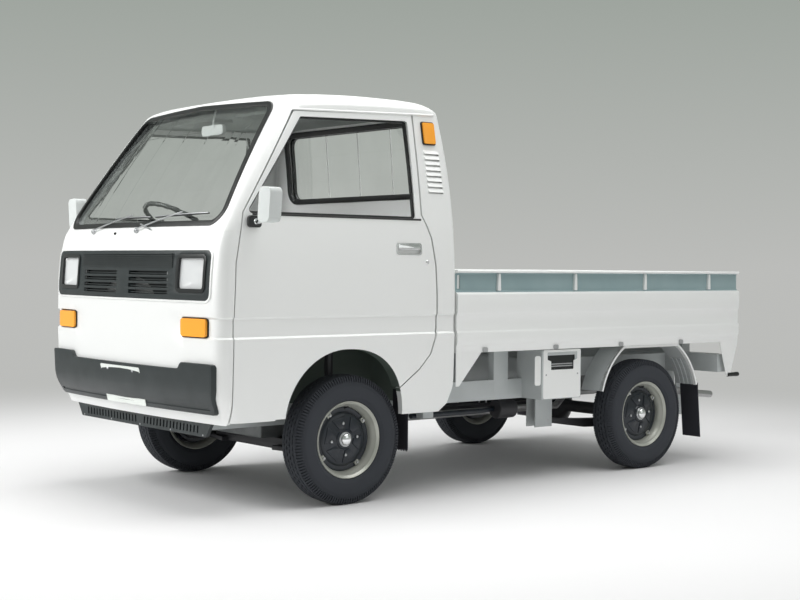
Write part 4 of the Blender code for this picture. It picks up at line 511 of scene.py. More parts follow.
def make_ring_tree():
    """Copies of a piece turned about the X axis through a centre."""
    tree, start, end = new_tree(
        "ring_of_pieces",
        (
            ("Count", "NodeSocketInt", 8),
            ("First angle", "NodeSocketFloat", 0.0),
            ("Centre", "NodeSocketVector", (0.0, 0.0, 0.0)),
            ("Finish", "NodeSocketMaterial", None),
        ),
    )
    points = tree.nodes.new("GeometryNodePoints")
    index = tree.nodes.new("GeometryNodeInputIndex")
    step = tree.nodes.new("ShaderNodeMath")
    step.operation = "DIVIDE"
    step.inputs[0].default_value = math.tau
    angle = tree.nodes.new("ShaderNodeMath")
    angle.operation = "MULTIPLY_ADD"
    about = tree.nodes.new("ShaderNodeCombineXYZ")
    turn = tree.nodes.new("FunctionNodeEulerToRotation")
    place = tree.nodes.new("GeometryNodeInstanceOnPoints")
    move = tree.nodes.new("GeometryNodeTransform")
    tree.links.new(start.outputs["Count"], points.inputs["Count"])
    tree.links.new(start.outputs["Count"], step.inputs[1])
    tree.links.new(index.outputs["Index"], angle.inputs[0])
    tree.links.new(step.outputs["Value"], angle.inputs[1])
    tree.links.new(start.outputs["First angle"], angle.inputs[2])
    tree.links.new(angle.outputs["Value"], about.inputs["X"])
    tree.links.new(about.outputs["Vector"], turn.inputs["Euler"])
    tree.links.new(turn.outputs["Rotation"], place.inputs["Rotation"])
    tree.links.new(points.outputs["Points"], place.inputs["Points"])
    tree.links.new(start.outputs["Geometry"], place.inputs["Instance"])
    tree.links.new(place.outputs["Instances"], move.inputs["Geometry"])
    tree.links.new(start.outputs["Centre"], move.inputs["Translation"])
    end_tree(tree, start, end, move.outputs["Geometry"])


def make_path_tree():
    """A round bar or tube along a path."""
    tree, start, end = new_tree(
        "bar_on_path",
        (
            ("Radius", "NodeSocketFloat", 0.005),
            ("Sides", "NodeSocketInt", 12),
            ("Finish", "NodeSocketMaterial", None),
        ),
    )
    ring = tree.nodes.new("GeometryNodeCurvePrimitiveCircle")
    sweep = tree.nodes.new("GeometryNodeCurveToMesh")
    sweep.inputs["Fill Caps"].default_value = True
    tree.links.new(start.outputs["Radius"], ring.inputs["Radius"])
    tree.links.new(start.outputs["Sides"], ring.inputs["Resolution"])
    tree.links.new(start.outputs["Geometry"], sweep.inputs["Curve"])
    tree.links.new(ring.outputs["Curve"], sweep.inputs["Profile Curve"])
    end_tree(tree, start, end, sweep.outputs["Mesh"])


def grown(shape, tree_name, finish, **values):
    """The shape run through one of the trees, as a plain mesh."""
    tree = bpy.data.node_groups[tree_name]
    step = shape.modifiers.new("grow", "NODES")
    step.node_group = tree
    values["Finish"] = bpy.data.materials[finish]
    for item in tree.interface.items_tree:
        label = item.name.replace(" ", "_")
        if item.item_type == "SOCKET" and item.in_out == "INPUT" and label in values:
            step[item.identifier] = values[label]
    mesh = mesh_of(shape)
    drop(shape)
    return tool(mesh)


def row(shape, finish, count, step):
    return grown(shape, "row_of_pieces", finish, Count=count, Step=step)


def ring(shape, finish, count, centre, first=0.0):
    return grown(shape, "ring_of_pieces", finish, Count=count, Centre=centre, First_angle=first)


def bar(points, radius, finish, closed=False, bend=0.0, sides=12):
    """A round bar through the points; its bends are rounded by the bend radius."""
    line = bpy.data.curves.new("bar", "CURVE")
    line.dimensions = "3D"
    run = line.splines.new("POLY")
    places = bent(points, bend) if bend else points
    run.points.add(len(places) - 1)
    run.use_cyclic_u = closed
    for point, place in zip(run.points, places):
        point.co = (*place, 1)
    made = grown(tool(line), "bar_on_path", finish, Radius=radius, Sides=sides)
    welded(made.data)
    return made


def bent(points, radius, steps=6):
    """A path with its inner corners rounded."""
    path = [Vector(points[0])]
    for before, here, after in zip(points, points[1:], points[2:]):
        here = Vector(here)
        back = Vector(before) - here
        ahead = Vector(after) - here
        reach = min(radius, back.length / 2, ahead.length / 2)
        start = here + back.normalized() * reach
        end = here + ahead.normalized() * reach
        for step in range(steps + 1):
            part = step / steps
            path.append(start.lerp(here, part).lerp(here.lerp(end, part), part))
    path.append(Vector(points[-1]))
    return path


# Shader node groups
def new_group(name, inputs, outputs):
    group = bpy.data.node_groups.new(name, "ShaderNodeTree")
    for label, kind, value in inputs:
        socket = group.interface.new_socket(label, in_out="INPUT", socket_type=kind)
        socket.default_value = value
    for label, kind in outputs:
        group.interface.new_socket(label, in_out="OUTPUT", socket_type=kind)
    return group, group.nodes.new("NodeGroupInput"), group.nodes.new("NodeGroupOutput")


def add_node(tree, kind, links=(), **values):
    """A new node; links are (socket of the node, output that feeds it)."""
    node = tree.nodes.new(kind)
    for label, value in values.items():
        setattr(node, label, value)
    for socket, source in links:
        tree.links.new(source, node.inputs[socket])
    return node


def make_tone_group():
    """Slow changes of colour and roughness over a surface."""
    group, start, end = new_group(
        "surface_tone",
        (
            ("Colour", "NodeSocketColor", (0.8, 0.8, 0.8, 1)),
            ("Second colour", "NodeSocketColor", (0.7, 0.7, 0.7, 1)),
            ("Scale", "NodeSocketFloat", 5.0),
            ("Roughness", "NodeSocketFloat", 0.4),
        ),
        (("Colour", "NodeSocketColor"), ("Roughness", "NodeSocketFloat")),
    )
    place = add_node(group, "ShaderNodeTexCoord")
    cloud = add_node(
        group,
        "ShaderNodeTexNoise",
        (("Vector", place.outputs["Object"]), ("Scale", start.outputs["Scale"])),
    )
    cloud.inputs["Detail"].default_value = 4
    spread = add_node(group, "ShaderNodeMapRange", (("Value", cloud.outputs["Fac"]),))
    spread.inputs["From Min"].default_value = 0.35
    spread.inputs["From Max"].default_value = 0.65
    blend = add_node(group, "ShaderNodeMix", data_type="RGBA")
    group.links.new(spread.outputs["Result"], blend.inputs[0])
    group.links.new(start.outputs["Colour"], blend.inputs[6])
    group.links.new(start.outputs["Second colour"], blend.inputs[7])
    shift = add_node(group, "ShaderNodeMapRange", (("Value", cloud.outputs["Fac"]),))
    shift.inputs["To Min"].default_value = 0.82
    shift.inputs["To Max"].default_value = 1.18
    gloss = add_node(group, "ShaderNodeMath", operation="MULTIPLY")
    group.links.new(shift.outputs["Result"], gloss.inputs[0])
    group.links.new(start.outputs["Roughness"], gloss.inputs[1])
    group.links.new(blend.outputs[2], end.inputs["Colour"])
    group.links.new(gloss.outputs["Value"], end.inputs["Roughness"])


def make_grain_group():
    """A fine moulded or sprayed grain as a normal."""
    group, start, end = new_group(
        "surface_grain",
        (("Scale", "NodeSocketFloat", 800.0), ("Depth", "NodeSocketFloat", 0.1)),
        (("Normal", "NodeSocketVector"),),
    )
    place = add_node(group, "ShaderNodeTexCoord")
    grain = add_node(
        group,
        "ShaderNodeTexNoise",
        (("Vector", place.outputs["Object"]), ("Scale", start.outputs["Scale"])),
    )
    grain.inputs["Detail"].default_value = 2
    bump = add_node(
        group,
        "ShaderNodeBump",
        (("Height", grain.outputs["Fac"]), ("Strength", start.outputs["Depth"])),
    )
    bump.inputs["Distance"].default_value = 0.0015
    group.links.new(bump.outputs["Normal"], end.inputs["Normal"])


def make_flute_group():
    """Upright flutes and level steps of a moulded lens, as a normal."""
    group, start, end = new_group(
        "lens_flutes",
        (
            ("Pitch", "NodeSocketVector", (0.012, 0.012, 0.012)),
            ("Depth", "NodeSocketFloat", 0.5),
        ),
        (("Normal", "NodeSocketVector"),),
    )
    place = add_node(group, "ShaderNodeTexCoord")
    scaled = add_node(group, "ShaderNodeVectorMath", operation="DIVIDE")
    group.links.new(place.outputs["Object"], scaled.inputs[0])
    group.links.new(start.outputs["Pitch"], scaled.inputs[1])
    folded = add_node(group, "ShaderNodeVectorMath", operation="FRACTION")
    group.links.new(scaled.outputs["Vector"], folded.inputs[0])
    centred = add_node(group, "ShaderNodeVectorMath", operation="SUBTRACT")
    centred.inputs[1].default_value = (0.5, 0.5, 0.5)
    group.links.new(folded.outputs["Vector"], centred.inputs[0])
    size = add_node(group, "ShaderNodeVectorMath", operation="DOT_PRODUCT")
    group.links.new(centred.outputs["Vector"], size.inputs[0])
    group.links.new(centred.outputs["Vector"], size.inputs[1])
    bump = add_node(
        group,
        "ShaderNodeBump",
        (("Height", size.outputs["Value"]), ("Strength", start.outputs["Depth"])),
    )
    bump.inputs["Distance"].default_value = 0.004
    group.links.new(bump.outputs["Normal"], end.inputs["Normal"])


def use_group(tree, name, **values):
    node = tree.nodes.new("ShaderNodeGroup")
    node.node_tree = bpy.data.node_groups[name]
    for label, value in values.items():
        node.inputs[label.replace("_", " ")].default_value = value
    return node


def new_material(name):
    made = bpy.data.materials.new(name)
    made.use_nodes = True
    return made, made.node_tree, made.node_tree.nodes["Principled BSDF"]


MATT_ROUGHNESS = 0.45
MATT_SPECULAR = 0.3


def make_finish(name, colour, second, tone_scale, roughness, metal, coat, grain_scale, depth):
    made, tree, shader = new_material(name)
    tone = use_group(
        tree,
        "surface_tone",
        Colour=(*colour, 1),
        Second_colour=(*second, 1),
        Scale=tone_scale,
        Roughness=roughness,
    )
    grain = use_group(tree, "surface_grain", Scale=grain_scale, Depth=depth)
    tree.links.new(tone.outputs["Colour"], shader.inputs["Base Color"])
    tree.links.new(tone.outputs["Roughness"], shader.inputs["Roughness"])
    tree.links.new(grain.outputs["Normal"], shader.inputs["Normal"])
    shader.inputs["Metallic"].default_value = metal
    shader.inputs["Coat Weight"].default_value = coat
    shader.inputs["Coat Roughness"].default_value = 0.08
    if roughness > MATT_ROUGHNESS:
        shader.inputs["Specular IOR Level"].default_value = MATT_SPECULAR
    return made


def make_glass(name, colour, roughness, depth=0.0, pitch=(0.012, 0.012, 0.012), glow=1.0):
    """Clear or tinted glass and lenses; a depth gives the lens its flutes."""
    made, tree, shader = new_material(name)
    tone = use_group(
        tree,
        "surface_tone",
        Colour=(*colour, 1),
        Second_colour=(*[part * 0.94 for part in colour], 1),
        Scale=4.0,
        Roughness=roughness,
    )
    tree.links.new(tone.outputs["Colour"], shader.inputs["Base Color"])
    tree.links.new(tone.outputs["Roughness"], shader.inputs["Roughness"])
    shader.inputs["Transmission Weight"].default_value = glow
    shader.inputs["IOR"].default_value = 1.45
    if depth:
        flutes = use_group(tree, "lens_flutes", Pitch=pitch, Depth=depth)
        tree.links.new(flutes.outputs["Normal"], shader.inputs["Normal"])
    return made


def let_light_through(name):
    """Glass that stops no light on its way into the cab."""
    tree = bpy.data.materials[name].node_tree
    rays = add_node(tree, "ShaderNodeLightPath")
    either = add_node(tree, "ShaderNodeMath", operation="MAXIMUM")
    clear = add_node(tree, "ShaderNodeBsdfTransparent")
    tree.links.new(rays.outputs["Is Shadow Ray"], either.inputs[0])
    tree.links.new(rays.outputs["Is Diffuse Ray"], either.inputs[1])
    blend = add_node(tree, "ShaderNodeMixShader", ((0, either.outputs["Value"]),))
    tree.links.new(tree.nodes["Principled BSDF"].outputs["BSDF"], blend.inputs[1])
    tree.links.new(clear.outputs["BSDF"], blend.inputs[2])
    tree.links.new(blend.outputs["Shader"], tree.nodes["Material Output"].inputs["Surface"])


def make_materials():
    make_tone_group()
    make_grain_group()
    make_flute_group()
    for finish in FINISHES:
        make_finish(*finish)
    make_glass("clear_glass", (0.94, 0.97, 0.95), 0.01)
    let_light_through("clear_glass")
    make_glass("lamp_glass", (0.95, 0.96, 0.96), 0.04, 0.5, (0.014, 9.0, 0.030))
    make_glass("amber_lens", (0.72, 0.135, 0.004), 0.12, 0.9, (0.007, 0.007, 0.007), 0.30)
    make_glass("red_lens", (0.60, 0.012, 0.012), 0.12, 0.7, (0.010, 0.010, 0.010), 0.35)
    make_glass("clear_lens", (0.90, 0.92, 0.92), 0.10, 0.7, (0.010, 0.010, 0.010), 0.45)
    make_vinyl()


def make_vinyl():
    """Pleated seat vinyl with a fine leather grain."""
    _, tree, shader = new_material("seat_vinyl")
    tone = use_group(
        tree,
        "surface_tone",
        Colour=(0.045, 0.047, 0.052, 1),
        Second_colour=(0.032, 0.034, 0.038, 1),
        Scale=7.0,
        Roughness=0.48,
    )
    place = add_node(tree, "ShaderNodeTexCoord")
    cells = add_node(tree, "ShaderNodeTexVoronoi", (("Vector", place.outputs["Object"]),))
    cells.feature = "DISTANCE_TO_EDGE"
    cells.inputs["Scale"].default_value = 420
    bump = add_node(tree, "ShaderNodeBump", (("Height", cells.outputs["Distance"]),))
    bump.inputs["Strength"].default_value = 0.35
    bump.inputs["Distance"].default_value = 0.001
    tree.links.new(tone.outputs["Colour"], shader.inputs["Base Color"])
    tree.links.new(tone.outputs["Roughness"], shader.inputs["Roughness"])
    tree.links.new(bump.outputs["Normal"], shader.inputs["Normal"])
    shader.inputs["Sheen Weight"].default_value = 0.1


# The cab's skin
def in_band(height):
    return BAND_LOW_Z + BAND_EDGE / 2 < height < BAND_HIGH_Z - BAND_EDGE / 2


def cab_heights():
    edges = [BAND_LOW_Z - BAND_EDGE, BAND_LOW_Z + BAND_EDGE]
    edges += [BAND_HIGH_Z - BAND_EDGE, BAND_HIGH_Z + BAND_EDGE]
    levels = []
    for lower, upper in zip(SECTIONS, SECTIONS[1:]):
        for step in range(SECTION_STEPS):
            height = FOOT_Z * (lower[0] + (upper[0] - lower[0]) * step / SECTION_STEPS)
            if min(abs(height - edge) for edge in edges) > BAND_EDGE:
                levels.append(height)
    return sorted(levels + edges + [FOOT_Z])


def column_places(half_width, corner):
    """(x, how far the column is round the corner) from the left side to the right."""
    turn = []
    for step in range(CORNER_STEPS + 1):
        angle = math.pi / 2 * step / CORNER_STEPS
        turn.append((half_width - corner * (1 - math.cos(angle)), angle))
    left = turn + [(share * half_width, None) for share in COLUMNS]
    right = [(-x, angle) for x, angle in reversed(left[:-1])]
    return left + right


def front_y(x, half_width, corner, nose, angle, band):
    reach = min(abs(x), half_width - corner) / half_width
    y = -nose + CROWN * reach**2
    if band and abs(x) > BAND_START_SHARE * half_width:
        y += BAND_DEPTH
    if angle is None:
        return y
    return y + corner * (1 - math.sin(angle))


def back_y(x, half_width, rear, corner):
    over = abs(x) - (half_width - corner)
    if over <= 0:
        return rear
    return rear - corner + math.sqrt(max(corner**2 - over**2, 0))


def gutter_z(y):
    part = (y - HEAD_Y) / (CAB_REAR_Y - HEAD_Y)
    return GUTTER_FRONT_Z + (GUTTER_REAR_Z - GUTTER_FRONT_Z) * part


def roof_z(x, y, half_width, row_share):
    side = min(abs(x) / half_width, 1)
    round_off = (1 - side**ROOF_POWER) ** (1 / ROOF_POWER)
    return gutter_z(y) + ROOF_RISE * follow(ROOF_ROWS, row_share, 1) * round_off


def level_ring(height, side_in, front_in, rear_in):
    share = height / FOOT_Z
    half_width = HALF_WIDTH * min(follow(SECTIONS, share, 1), 1) - side_in
    nose = NOSE * min(follow(SECTIONS, share, 2), 1) - front_in
    band = in_band(height)
    if band:
        half_width -= BAND_DEPTH
    corner = max(CORNER_RADIUS - max(side_in, 0), LEAST_RADIUS)
    rear_corner = max(REAR_CORNER_RADIUS - max(side_in, 0), LEAST_RADIUS)
    front, back = [], []
    for x, angle in column_places(half_width, corner):
        front.append(Vector((x, front_y(x, half_width, corner, nose, angle, band), height)))
        back.append(Vector((x, back_y(x, half_width, CAB_REAR_Y - rear_in, rear_corner), height)))
    return front, back


def head_ring(side_in, front_in, rear_in, roof_in):
    half_width = GUTTER_HALF_WIDTH - side_in
    corner = max(CORNER_RADIUS - max(side_in, 0), LEAST_RADIUS)
    rear_corner = max(REAR_CORNER_RADIUS - max(side_in, 0), LEAST_RADIUS)
    front, back = [], []
    for x, angle in column_places(half_width, corner):
        y = front_y(x, half_width, corner, -HEAD_Y - front_in, angle, False)
        front.append(Vector((x, y, roof_z(x, y, half_width, 0) - roof_in)))
        y = back_y(x, half_width, CAB_REAR_Y - REAR_LEAN - rear_in, rear_corner)
        back.append(Vector((x, y, gutter_z(y) - roof_in)))
    return front, back


def rear_lean(height):
    share = (height - FOOT_Z) / (GUTTER_REAR_Z - FOOT_Z)
    return REAR_LEAN * max(share, 0) ** 2


def between(foot, head, share):
    swell = 4 * share * (1 - share)
    made = []
    for low_side, high_side, is_front in zip(foot, head, (True, False)):
        points = []
        for low, high in zip(low_side, high_side):
            point = low.lerp(high, share)
            point.x *= 1 + SIDE_BULGE / HALF_WIDTH * swell
            point.y += -SCREEN_BULGE * swell if is_front else REAR_LEAN / 4 * swell
            points.append(point)
        made.append(points)
    return made


def roof_row_shares():
    shares = []
    for lower, upper in zip(ROOF_ROWS, ROOF_ROWS[1:]):
        shares += [lower[0], (lower[0] + upper[0]) / 2]
    return shares + [1.0]


def whole_ring(front, back):
    rows = roof_row_shares()[1:-1]
    right = [front[-1].lerp(back[-1], share) for share in rows]
    left = [front[0].lerp(back[0], share) for share in rows]
    return front + right + back[::-1] + left[::-1]


def cab_form(side=0.0, upper_side=None, front=0.0, rear=0.0, roof=0.0, low=0.0):
    """A closed form of the cab's skin, moved in by a distance on each side."""
    upper_side = side if upper_side is None else upper_side
    levels = [level_ring(height, side, front, rear) for height in cab_heights()]
    for point in levels[0][0] + levels[0][1]:
        point.z -= low
    foot = level_ring(FOOT_Z, upper_side, front, rear)
    head = head_ring(upper_side, front, rear, roof)
    if upper_side != side:
        levels.append([[p + Vector((0, 0, FACE_GAP)) for p in half] for half in foot])
    rings = [whole_ring(*level) for level in levels]
    for step in range(1, UPPER_RINGS + 1):
        rings.append(whole_ring(*between(foot, head, step / UPPER_RINGS)))
    work = bmesh.new()
    made = [[work.verts.new(point) for point in points] for points in rings]
    count = len(rings[0])
    for low_ring, high_ring in zip(made, made[1:]):
        for index in range(count):
            after = (index + 1) % count
            work.faces.new((low_ring[index], low_ring[after], high_ring[after], high_ring[index]))
    work.faces.new(made[0])
    roof_faces(work, made[-1], len(head[0]), upper_side, roof)
    bmesh.ops.recalc_face_normals(work, faces=work.faces)
    mesh = bpy.data.meshes.new("cab_form")
    work.to_mesh(mesh)
    work.free()
    return tool(mesh)


def roof_faces(work, points, columns, side_in, roof_in):
    shares = roof_row_shares()
    rows = len(shares)
    front = points[:columns]
    right = points[columns : columns + rows - 2]
    back = points[columns + rows - 2 : 2 * columns + rows - 2][::-1]
    left = points[2 * columns + rows - 2 :][::-1]
    grid = [front]
    half_width = GUTTER_HALF_WIDTH - side_in
    for index, share in enumerate(shares[1:-1]):
        line = [left[index]]
        for column in range(1, columns - 1):
            point = front[column].co.lerp(back[column].co, share)
            point.z = roof_z(point.x, point.y, half_width, share) - roof_in
            line.append(work.verts.new(point))
        grid.append(line + [right[index]])
    grid.append(back)
    for near, far in zip(grid, grid[1:]):
        for column in range(columns - 1):
            work.faces.new((near[column], near[column + 1], far[column + 1], far[column]))


def skin_patch(region, outer, inner):
    """The layer of cab skin between two depths, inside a region."""
    layer = cab_form(outer, None, outer, outer, outer, OVERRUN)
    cut(layer, cab_form(inner, None, inner, inner, inner, OVERRUN + OVERRUN))
    return inside(layer, region)


class Skin:
    """The cab's outer face, to set things on."""

    def __init__(self):
        shape = cab_form(low=OVERRUN)
        work = bmesh.new()
        work.from_mesh(shape.data)
        self.tree = BVHTree.FromBMesh(work)
        work.free()
        drop(shape)

    def front(self, x, z, stand=0.0):
        """A point of the front face or screen at (x, z), moved out by stand."""
        place, normal, _, _ = self.tree.ray_cast(Vector((x, -3, z)), Vector((0, 1, 0)))
        return place + normal * stand * (1 if normal.y < 0 else -1)

    def side(self, y, z, stand=0.0, side=1):
        place, normal, _, _ = self.tree.ray_cast(Vector((3 * side, y, z)), Vector((-side, 0, 0)))
        return place + normal * stand * (1 if normal.x * side > 0 else -1)

    def rear(self, x, z, stand=0.0):
        place, normal, _, _ = self.tree.ray_cast(Vector((x, 3, z)), Vector((0, -1, 0)))
        return place + normal * stand * (1 if normal.y > 0 else -1)


SKIN = Skin()


def front_region(outline, holes=()):
    return plate(outline, "Y", -NOSE - OVERRUN, HEAD_Y + OVERRUN + OVERRUN, holes)


def rear_region(outline, holes=()):
    return plate(outline, "Y", -0.565, CAB_REAR_Y + OVERRUN, holes)


def whole_width(outline):
    return plate(outline, "X", -HALF_WIDTH - OVERRUN, HALF_WIDTH + OVERRUN)


def left_side(outline, holes=()):
    return plate(outline, "X", HOUSE_INNER_X, HALF_WIDTH + OVERRUN, holes)


def door_outline(front_gap=0.0, rear_gap=0.0, top_gap=0.0, bottom=0.0):
    points = []
    for along, up, front, rear, top in DOOR_EDGE:
        y = DOOR_FRONT_Y + along * (DOOR_REAR_Y - DOOR_FRONT_Y) + front * front_gap - rear * rear_gap
        z = DOOR_BOTTOM_Z + up * (DOOR_TOP_Z - DOOR_BOTTOM_Z) - top * top_gap
        if up == 0:
            z -= bottom
        points.append((y, z))
    return points


def door_window(grow=0.0):
    corners = [
        (
            DOOR_FRONT_Y + along * (DOOR_REAR_Y - DOOR_FRONT_Y),
            DOOR_BOTTOM_Z + up * (DOOR_TOP_Z - DOOR_BOTTOM_Z),
        )
        for along, up in DOOR_WINDOW
    ]
    return grown_outline(rounded(corners, 0.014, 4), grow)


def grown_outline(points, reach):
    """An outline with every point moved outwards by a reach."""
    if not reach:
        return points
    made = []
    area = sum(a[0] * b[1] - b[0] * a[1] for a, b in zip(points, points[1:] + points[:1]))
    sign = 1 if area > 0 else -1
    for index, point in enumerate(points):
        before = Vector(points[index - 1])
        after = Vector(points[(index + 1) % len(points)])
        along = (after - before).normalized()
        made.append((point[0] + sign * along.y * reach, point[1] - sign * along.x * reach))
    return made


def arch_outline():
    """The wheel arch seen from the side: rounder behind than in front."""
    points = [(ARCH_Y - ARCH_HALF_LENGTH, SILL_Z - OVERRUN)]
    for step in range(2 * ARCH_STEPS + 1):
        angle = math.pi * step / (2 * ARCH_STEPS)
        power = 2 if angle <= math.pi / 2 else ARCH_REAR_POWER
        along = abs(math.cos(angle)) ** (2 / power)
        up = math.sin(angle) ** (2 / power)
        sign = -1 if angle < math.pi / 2 else 1
        points.append((ARCH_Y + sign * along * ARCH_HALF_LENGTH, ARCH_Z + up * ARCH_HEIGHT))
    points.append((ARCH_Y + ARCH_HALF_LENGTH, SILL_Z - OVERRUN))
    return points


def side_wall(shape, clearance=0.0):
    lower = SIDE_WALL + clearance
    upper = PILLAR_WALL + clearance
    return cut(shape, cab_form(lower, upper, -OVERRUN, -OVERRUN, -FACE_GAP, OVERRUN))


def screen_outline(grow=0.0):
    corners = [
        (-0.628, 1.143),
        (0.628, 1.143),
        (0.514, 1.634),
        (0, 1.650),
        (-0.514, 1.634),
    ]
    return grown_outline(rounded(corners, 0.055, 8), grow)


def rear_window_outline(grow=0.0):
    return grown_outline(rounded(rectangle(-0.510, 0.510, 1.288, 1.612), 0.060, 8), grow)


def grille_outline(grow=0.0):
    return grown_outline(rounded(rectangle(-0.637, 0.637, 0.842, 1.036), 0.028), grow)


def lamp_outline(side, grow=0.0):
    low, high = sorted((side * 0.415, side * 0.605))
    return grown_outline(rounded(rectangle(low, high, 0.875, 1.018), 0.022), grow)


# Sizes and colours that a user may change
class TruckSettings(bpy.types.PropertyGroup):
    bl_idname = "TRUCK_PG_settings"

    paint: FloatVectorProperty(
        name="Body paint",
        description="Colour of the cab and the bed",
        subtype="COLOR",
        size=3,
        min=0.0,
        max=1.0,
        default=(0.80, 0.82, 0.80),
    )
    rim: FloatVectorProperty(
        name="Rim paint",
        description="Colour of the wheels' rims",
        subtype="COLOR",
        size=3,
        min=0.0,
        max=1.0,
        default=(0.47, 0.48, 0.43),
    )
    seal_width: FloatProperty(
        name="Seal width",
        description="Width of the rubber round the windscreen",
        unit="LENGTH",
        default=0.020,
        min=0.008,
        max=0.040,
    )
    tread_pitches: IntProperty(
        name="Tread pitches",
        description="How often the tread pattern repeats round a tyre",
        default=64,
        min=24,
        max=96,
    )
    tread_depth: FloatProperty(
        name="Tread depth",
        description="Depth of the tyres' grooves",
        unit="LENGTH",
        default=0.006,
        min=0.002,
        max=0.009,
    )
    hub_nuts: IntProperty(
        name="Wheel nuts",
        description="How many nuts hold each wheel",
        default=4,
        min=3,
        max=6,
    )
    wipers: BoolProperty(
        name="Wipers",
        description="Whether the windscreen has its two wipers",
        default=True,
    )


def settings():
    return bpy.context.scene.truck


class TRUCK_OT_finishes(bpy.types.Operator):
    """Makes every material of the truck"""

    bl_idname = "truck.finishes"
    bl_label = "Finishes"

    def execute(self, context):
        make_materials()
        make_row_tree()
        make_ring_tree()
        make_path_tree()
        for name, colour in (("white_paint", settings().paint), ("rim_paint", settings().rim)):
            for node in bpy.data.materials[name].node_tree.nodes:
                if node.type == "GROUP" and "Second colour" in node.inputs:
                    node.inputs["Colour"].default_value = (*colour, 1)
        return {"FINISHED"}


# The stage
def make_floor_material():
    """A pale floor that fades into the backdrop's grey further out."""
    made, tree, shader = new_material("studio_floor")
    place = add_node(tree, "ShaderNodeTexCoord")
    flat = add_node(tree, "ShaderNodeVectorMath", operation="MULTIPLY")
    flat.inputs[1].default_value = (1, 1, 0)
    tree.links.new(place.outputs["Object"], flat.inputs[0])
    reach = add_node(tree, "ShaderNodeVectorMath", (("Vector", flat.outputs["Vector"]),), operation="LENGTH")
    far = add_node(
        tree, "ShaderNodeMapRange", (("Value", reach.outputs["Value"]),), interpolation_type="SMOOTHERSTEP"
    )
    far.inputs["From Min"].default_value = 1.6
    far.inputs["From Max"].default_value = 6.5
    tone = use_group(
        tree,
        "surface_tone",
        Colour=(0.80, 0.80, 0.80, 1),
        Second_colour=(0.785, 0.785, 0.785, 1),
        Scale=0.6,
        Roughness=0.62,
    )
    tree.links.new(tone.outputs["Colour"], shader.inputs["Base Color"])
    tree.links.new(tone.outputs["Roughness"], shader.inputs["Roughness"])
    glow = add_node(tree, "ShaderNodeEmission")
    glow.inputs["Color"].default_value = (0.500, 0.505, 0.490, 1)
    blend = add_node(tree, "ShaderNodeMixShader", ((0, far.outputs["Result"]),))
    tree.links.new(shader.outputs["BSDF"], blend.inputs[1])
    tree.links.new(glow.outputs["Emission"], blend.inputs[2])
    tree.links.new(blend.outputs["Shader"], tree.nodes["Material Output"].inputs["Surface"])
    return made


def make_world():
    """A grey backdrop that darkens upwards, and an even light from all round."""
    world = bpy.data.worlds.new("studio")
    bpy.context.scene.world = world
    world.use_nodes = True
    tree = world.node_tree
    sky = tree.nodes["Background"]
    light = add_node(tree, "ShaderNodeBackground")
    light.inputs["Color"].default_value = (1.0, 1.0, 1.0, 1)
    light.inputs["Strength"].default_value = 0.40
    place = add_node(tree, "ShaderNodeTexCoord")
    split = add_node(tree, "ShaderNodeSeparateXYZ", (("Vector", place.outputs["Generated"]),))
    rise = add_node(tree, "ShaderNodeValToRGB", (("Fac", split.outputs["Z"]),))
    stops = rise.color_ramp.elements
    stops[0].position = 0.0
    stops[0].color = (0.500, 0.505, 0.490, 1)
    stops[1].position = 0.30
    stops[1].color = (0.300, 0.325, 0.300, 1)
    middle = stops.new(0.18)
    middle.color = (0.345, 0.375, 0.345, 1)
    tree.links.new(rise.outputs["Color"], sky.inputs["Color"])
    rays = add_node(tree, "ShaderNodeLightPath")
    first = add_node(tree, "ShaderNodeMath", operation="MAXIMUM")
    seen = add_node(tree, "ShaderNodeMath", operation="MAXIMUM")
    tree.links.new(rays.outputs["Is Camera Ray"], first.inputs[0])
    tree.links.new(rays.outputs["Is Glossy Ray"], first.inputs[1])
    tree.links.new(first.outputs["Value"], seen.inputs[0])
    tree.links.new(rays.outputs["Is Transmission Ray"], seen.inputs[1])
    blend = add_node(tree, "ShaderNodeMixShader", ((0, seen.outputs["Value"]),))
    tree.links.new(light.outputs["Background"], blend.inputs[1])
    tree.links.new(sky.outputs["Background"], blend.inputs[2])
    tree.links.new(blend.outputs["Shader"], tree.nodes["World Output"].inputs["Surface"])


def soft_box(name, place, aim, width, height, power):
    data = bpy.data.lights.new(name, "AREA")
    data.shape = "RECTANGLE"
    data.size = width
    data.size_y = height
    data.energy = power
    lamp = bpy.data.objects.new(name, data)
    bpy.context.scene.collection.objects.link(lamp)
    way = Vector(aim) - Vector(place)
    lamp.matrix_world = Matrix.Translation(place) @ way.to_track_quat("-Z", "Y").to_matrix().to_4x4()


def make_camera():
    """The camera of the photograph, from its right, up and forward directions."""
    right = Vector((0.64265, 0.76611, 0.00865))
    up = Vector((-0.01822, 0.00399, 0.99983))
    ahead = Vector((-0.76594, 0.64270, -0.01653))
    data = bpy.data.cameras.new("camera")
    data.sensor_width = 36.0
    data.lens = 64.79
    data.shift_x = -0.02965
    data.shift_y = -0.01326
    camera = bpy.data.objects.new("camera", data)
    bpy.context.scene.collection.objects.link(camera)
    turn = Matrix((right, up, -ahead)).transposed()
    camera.matrix_world = Matrix.Translation((5.3604, -4.4588, 0.9845)) @ turn.to_4x4()
    bpy.context.scene.camera = camera


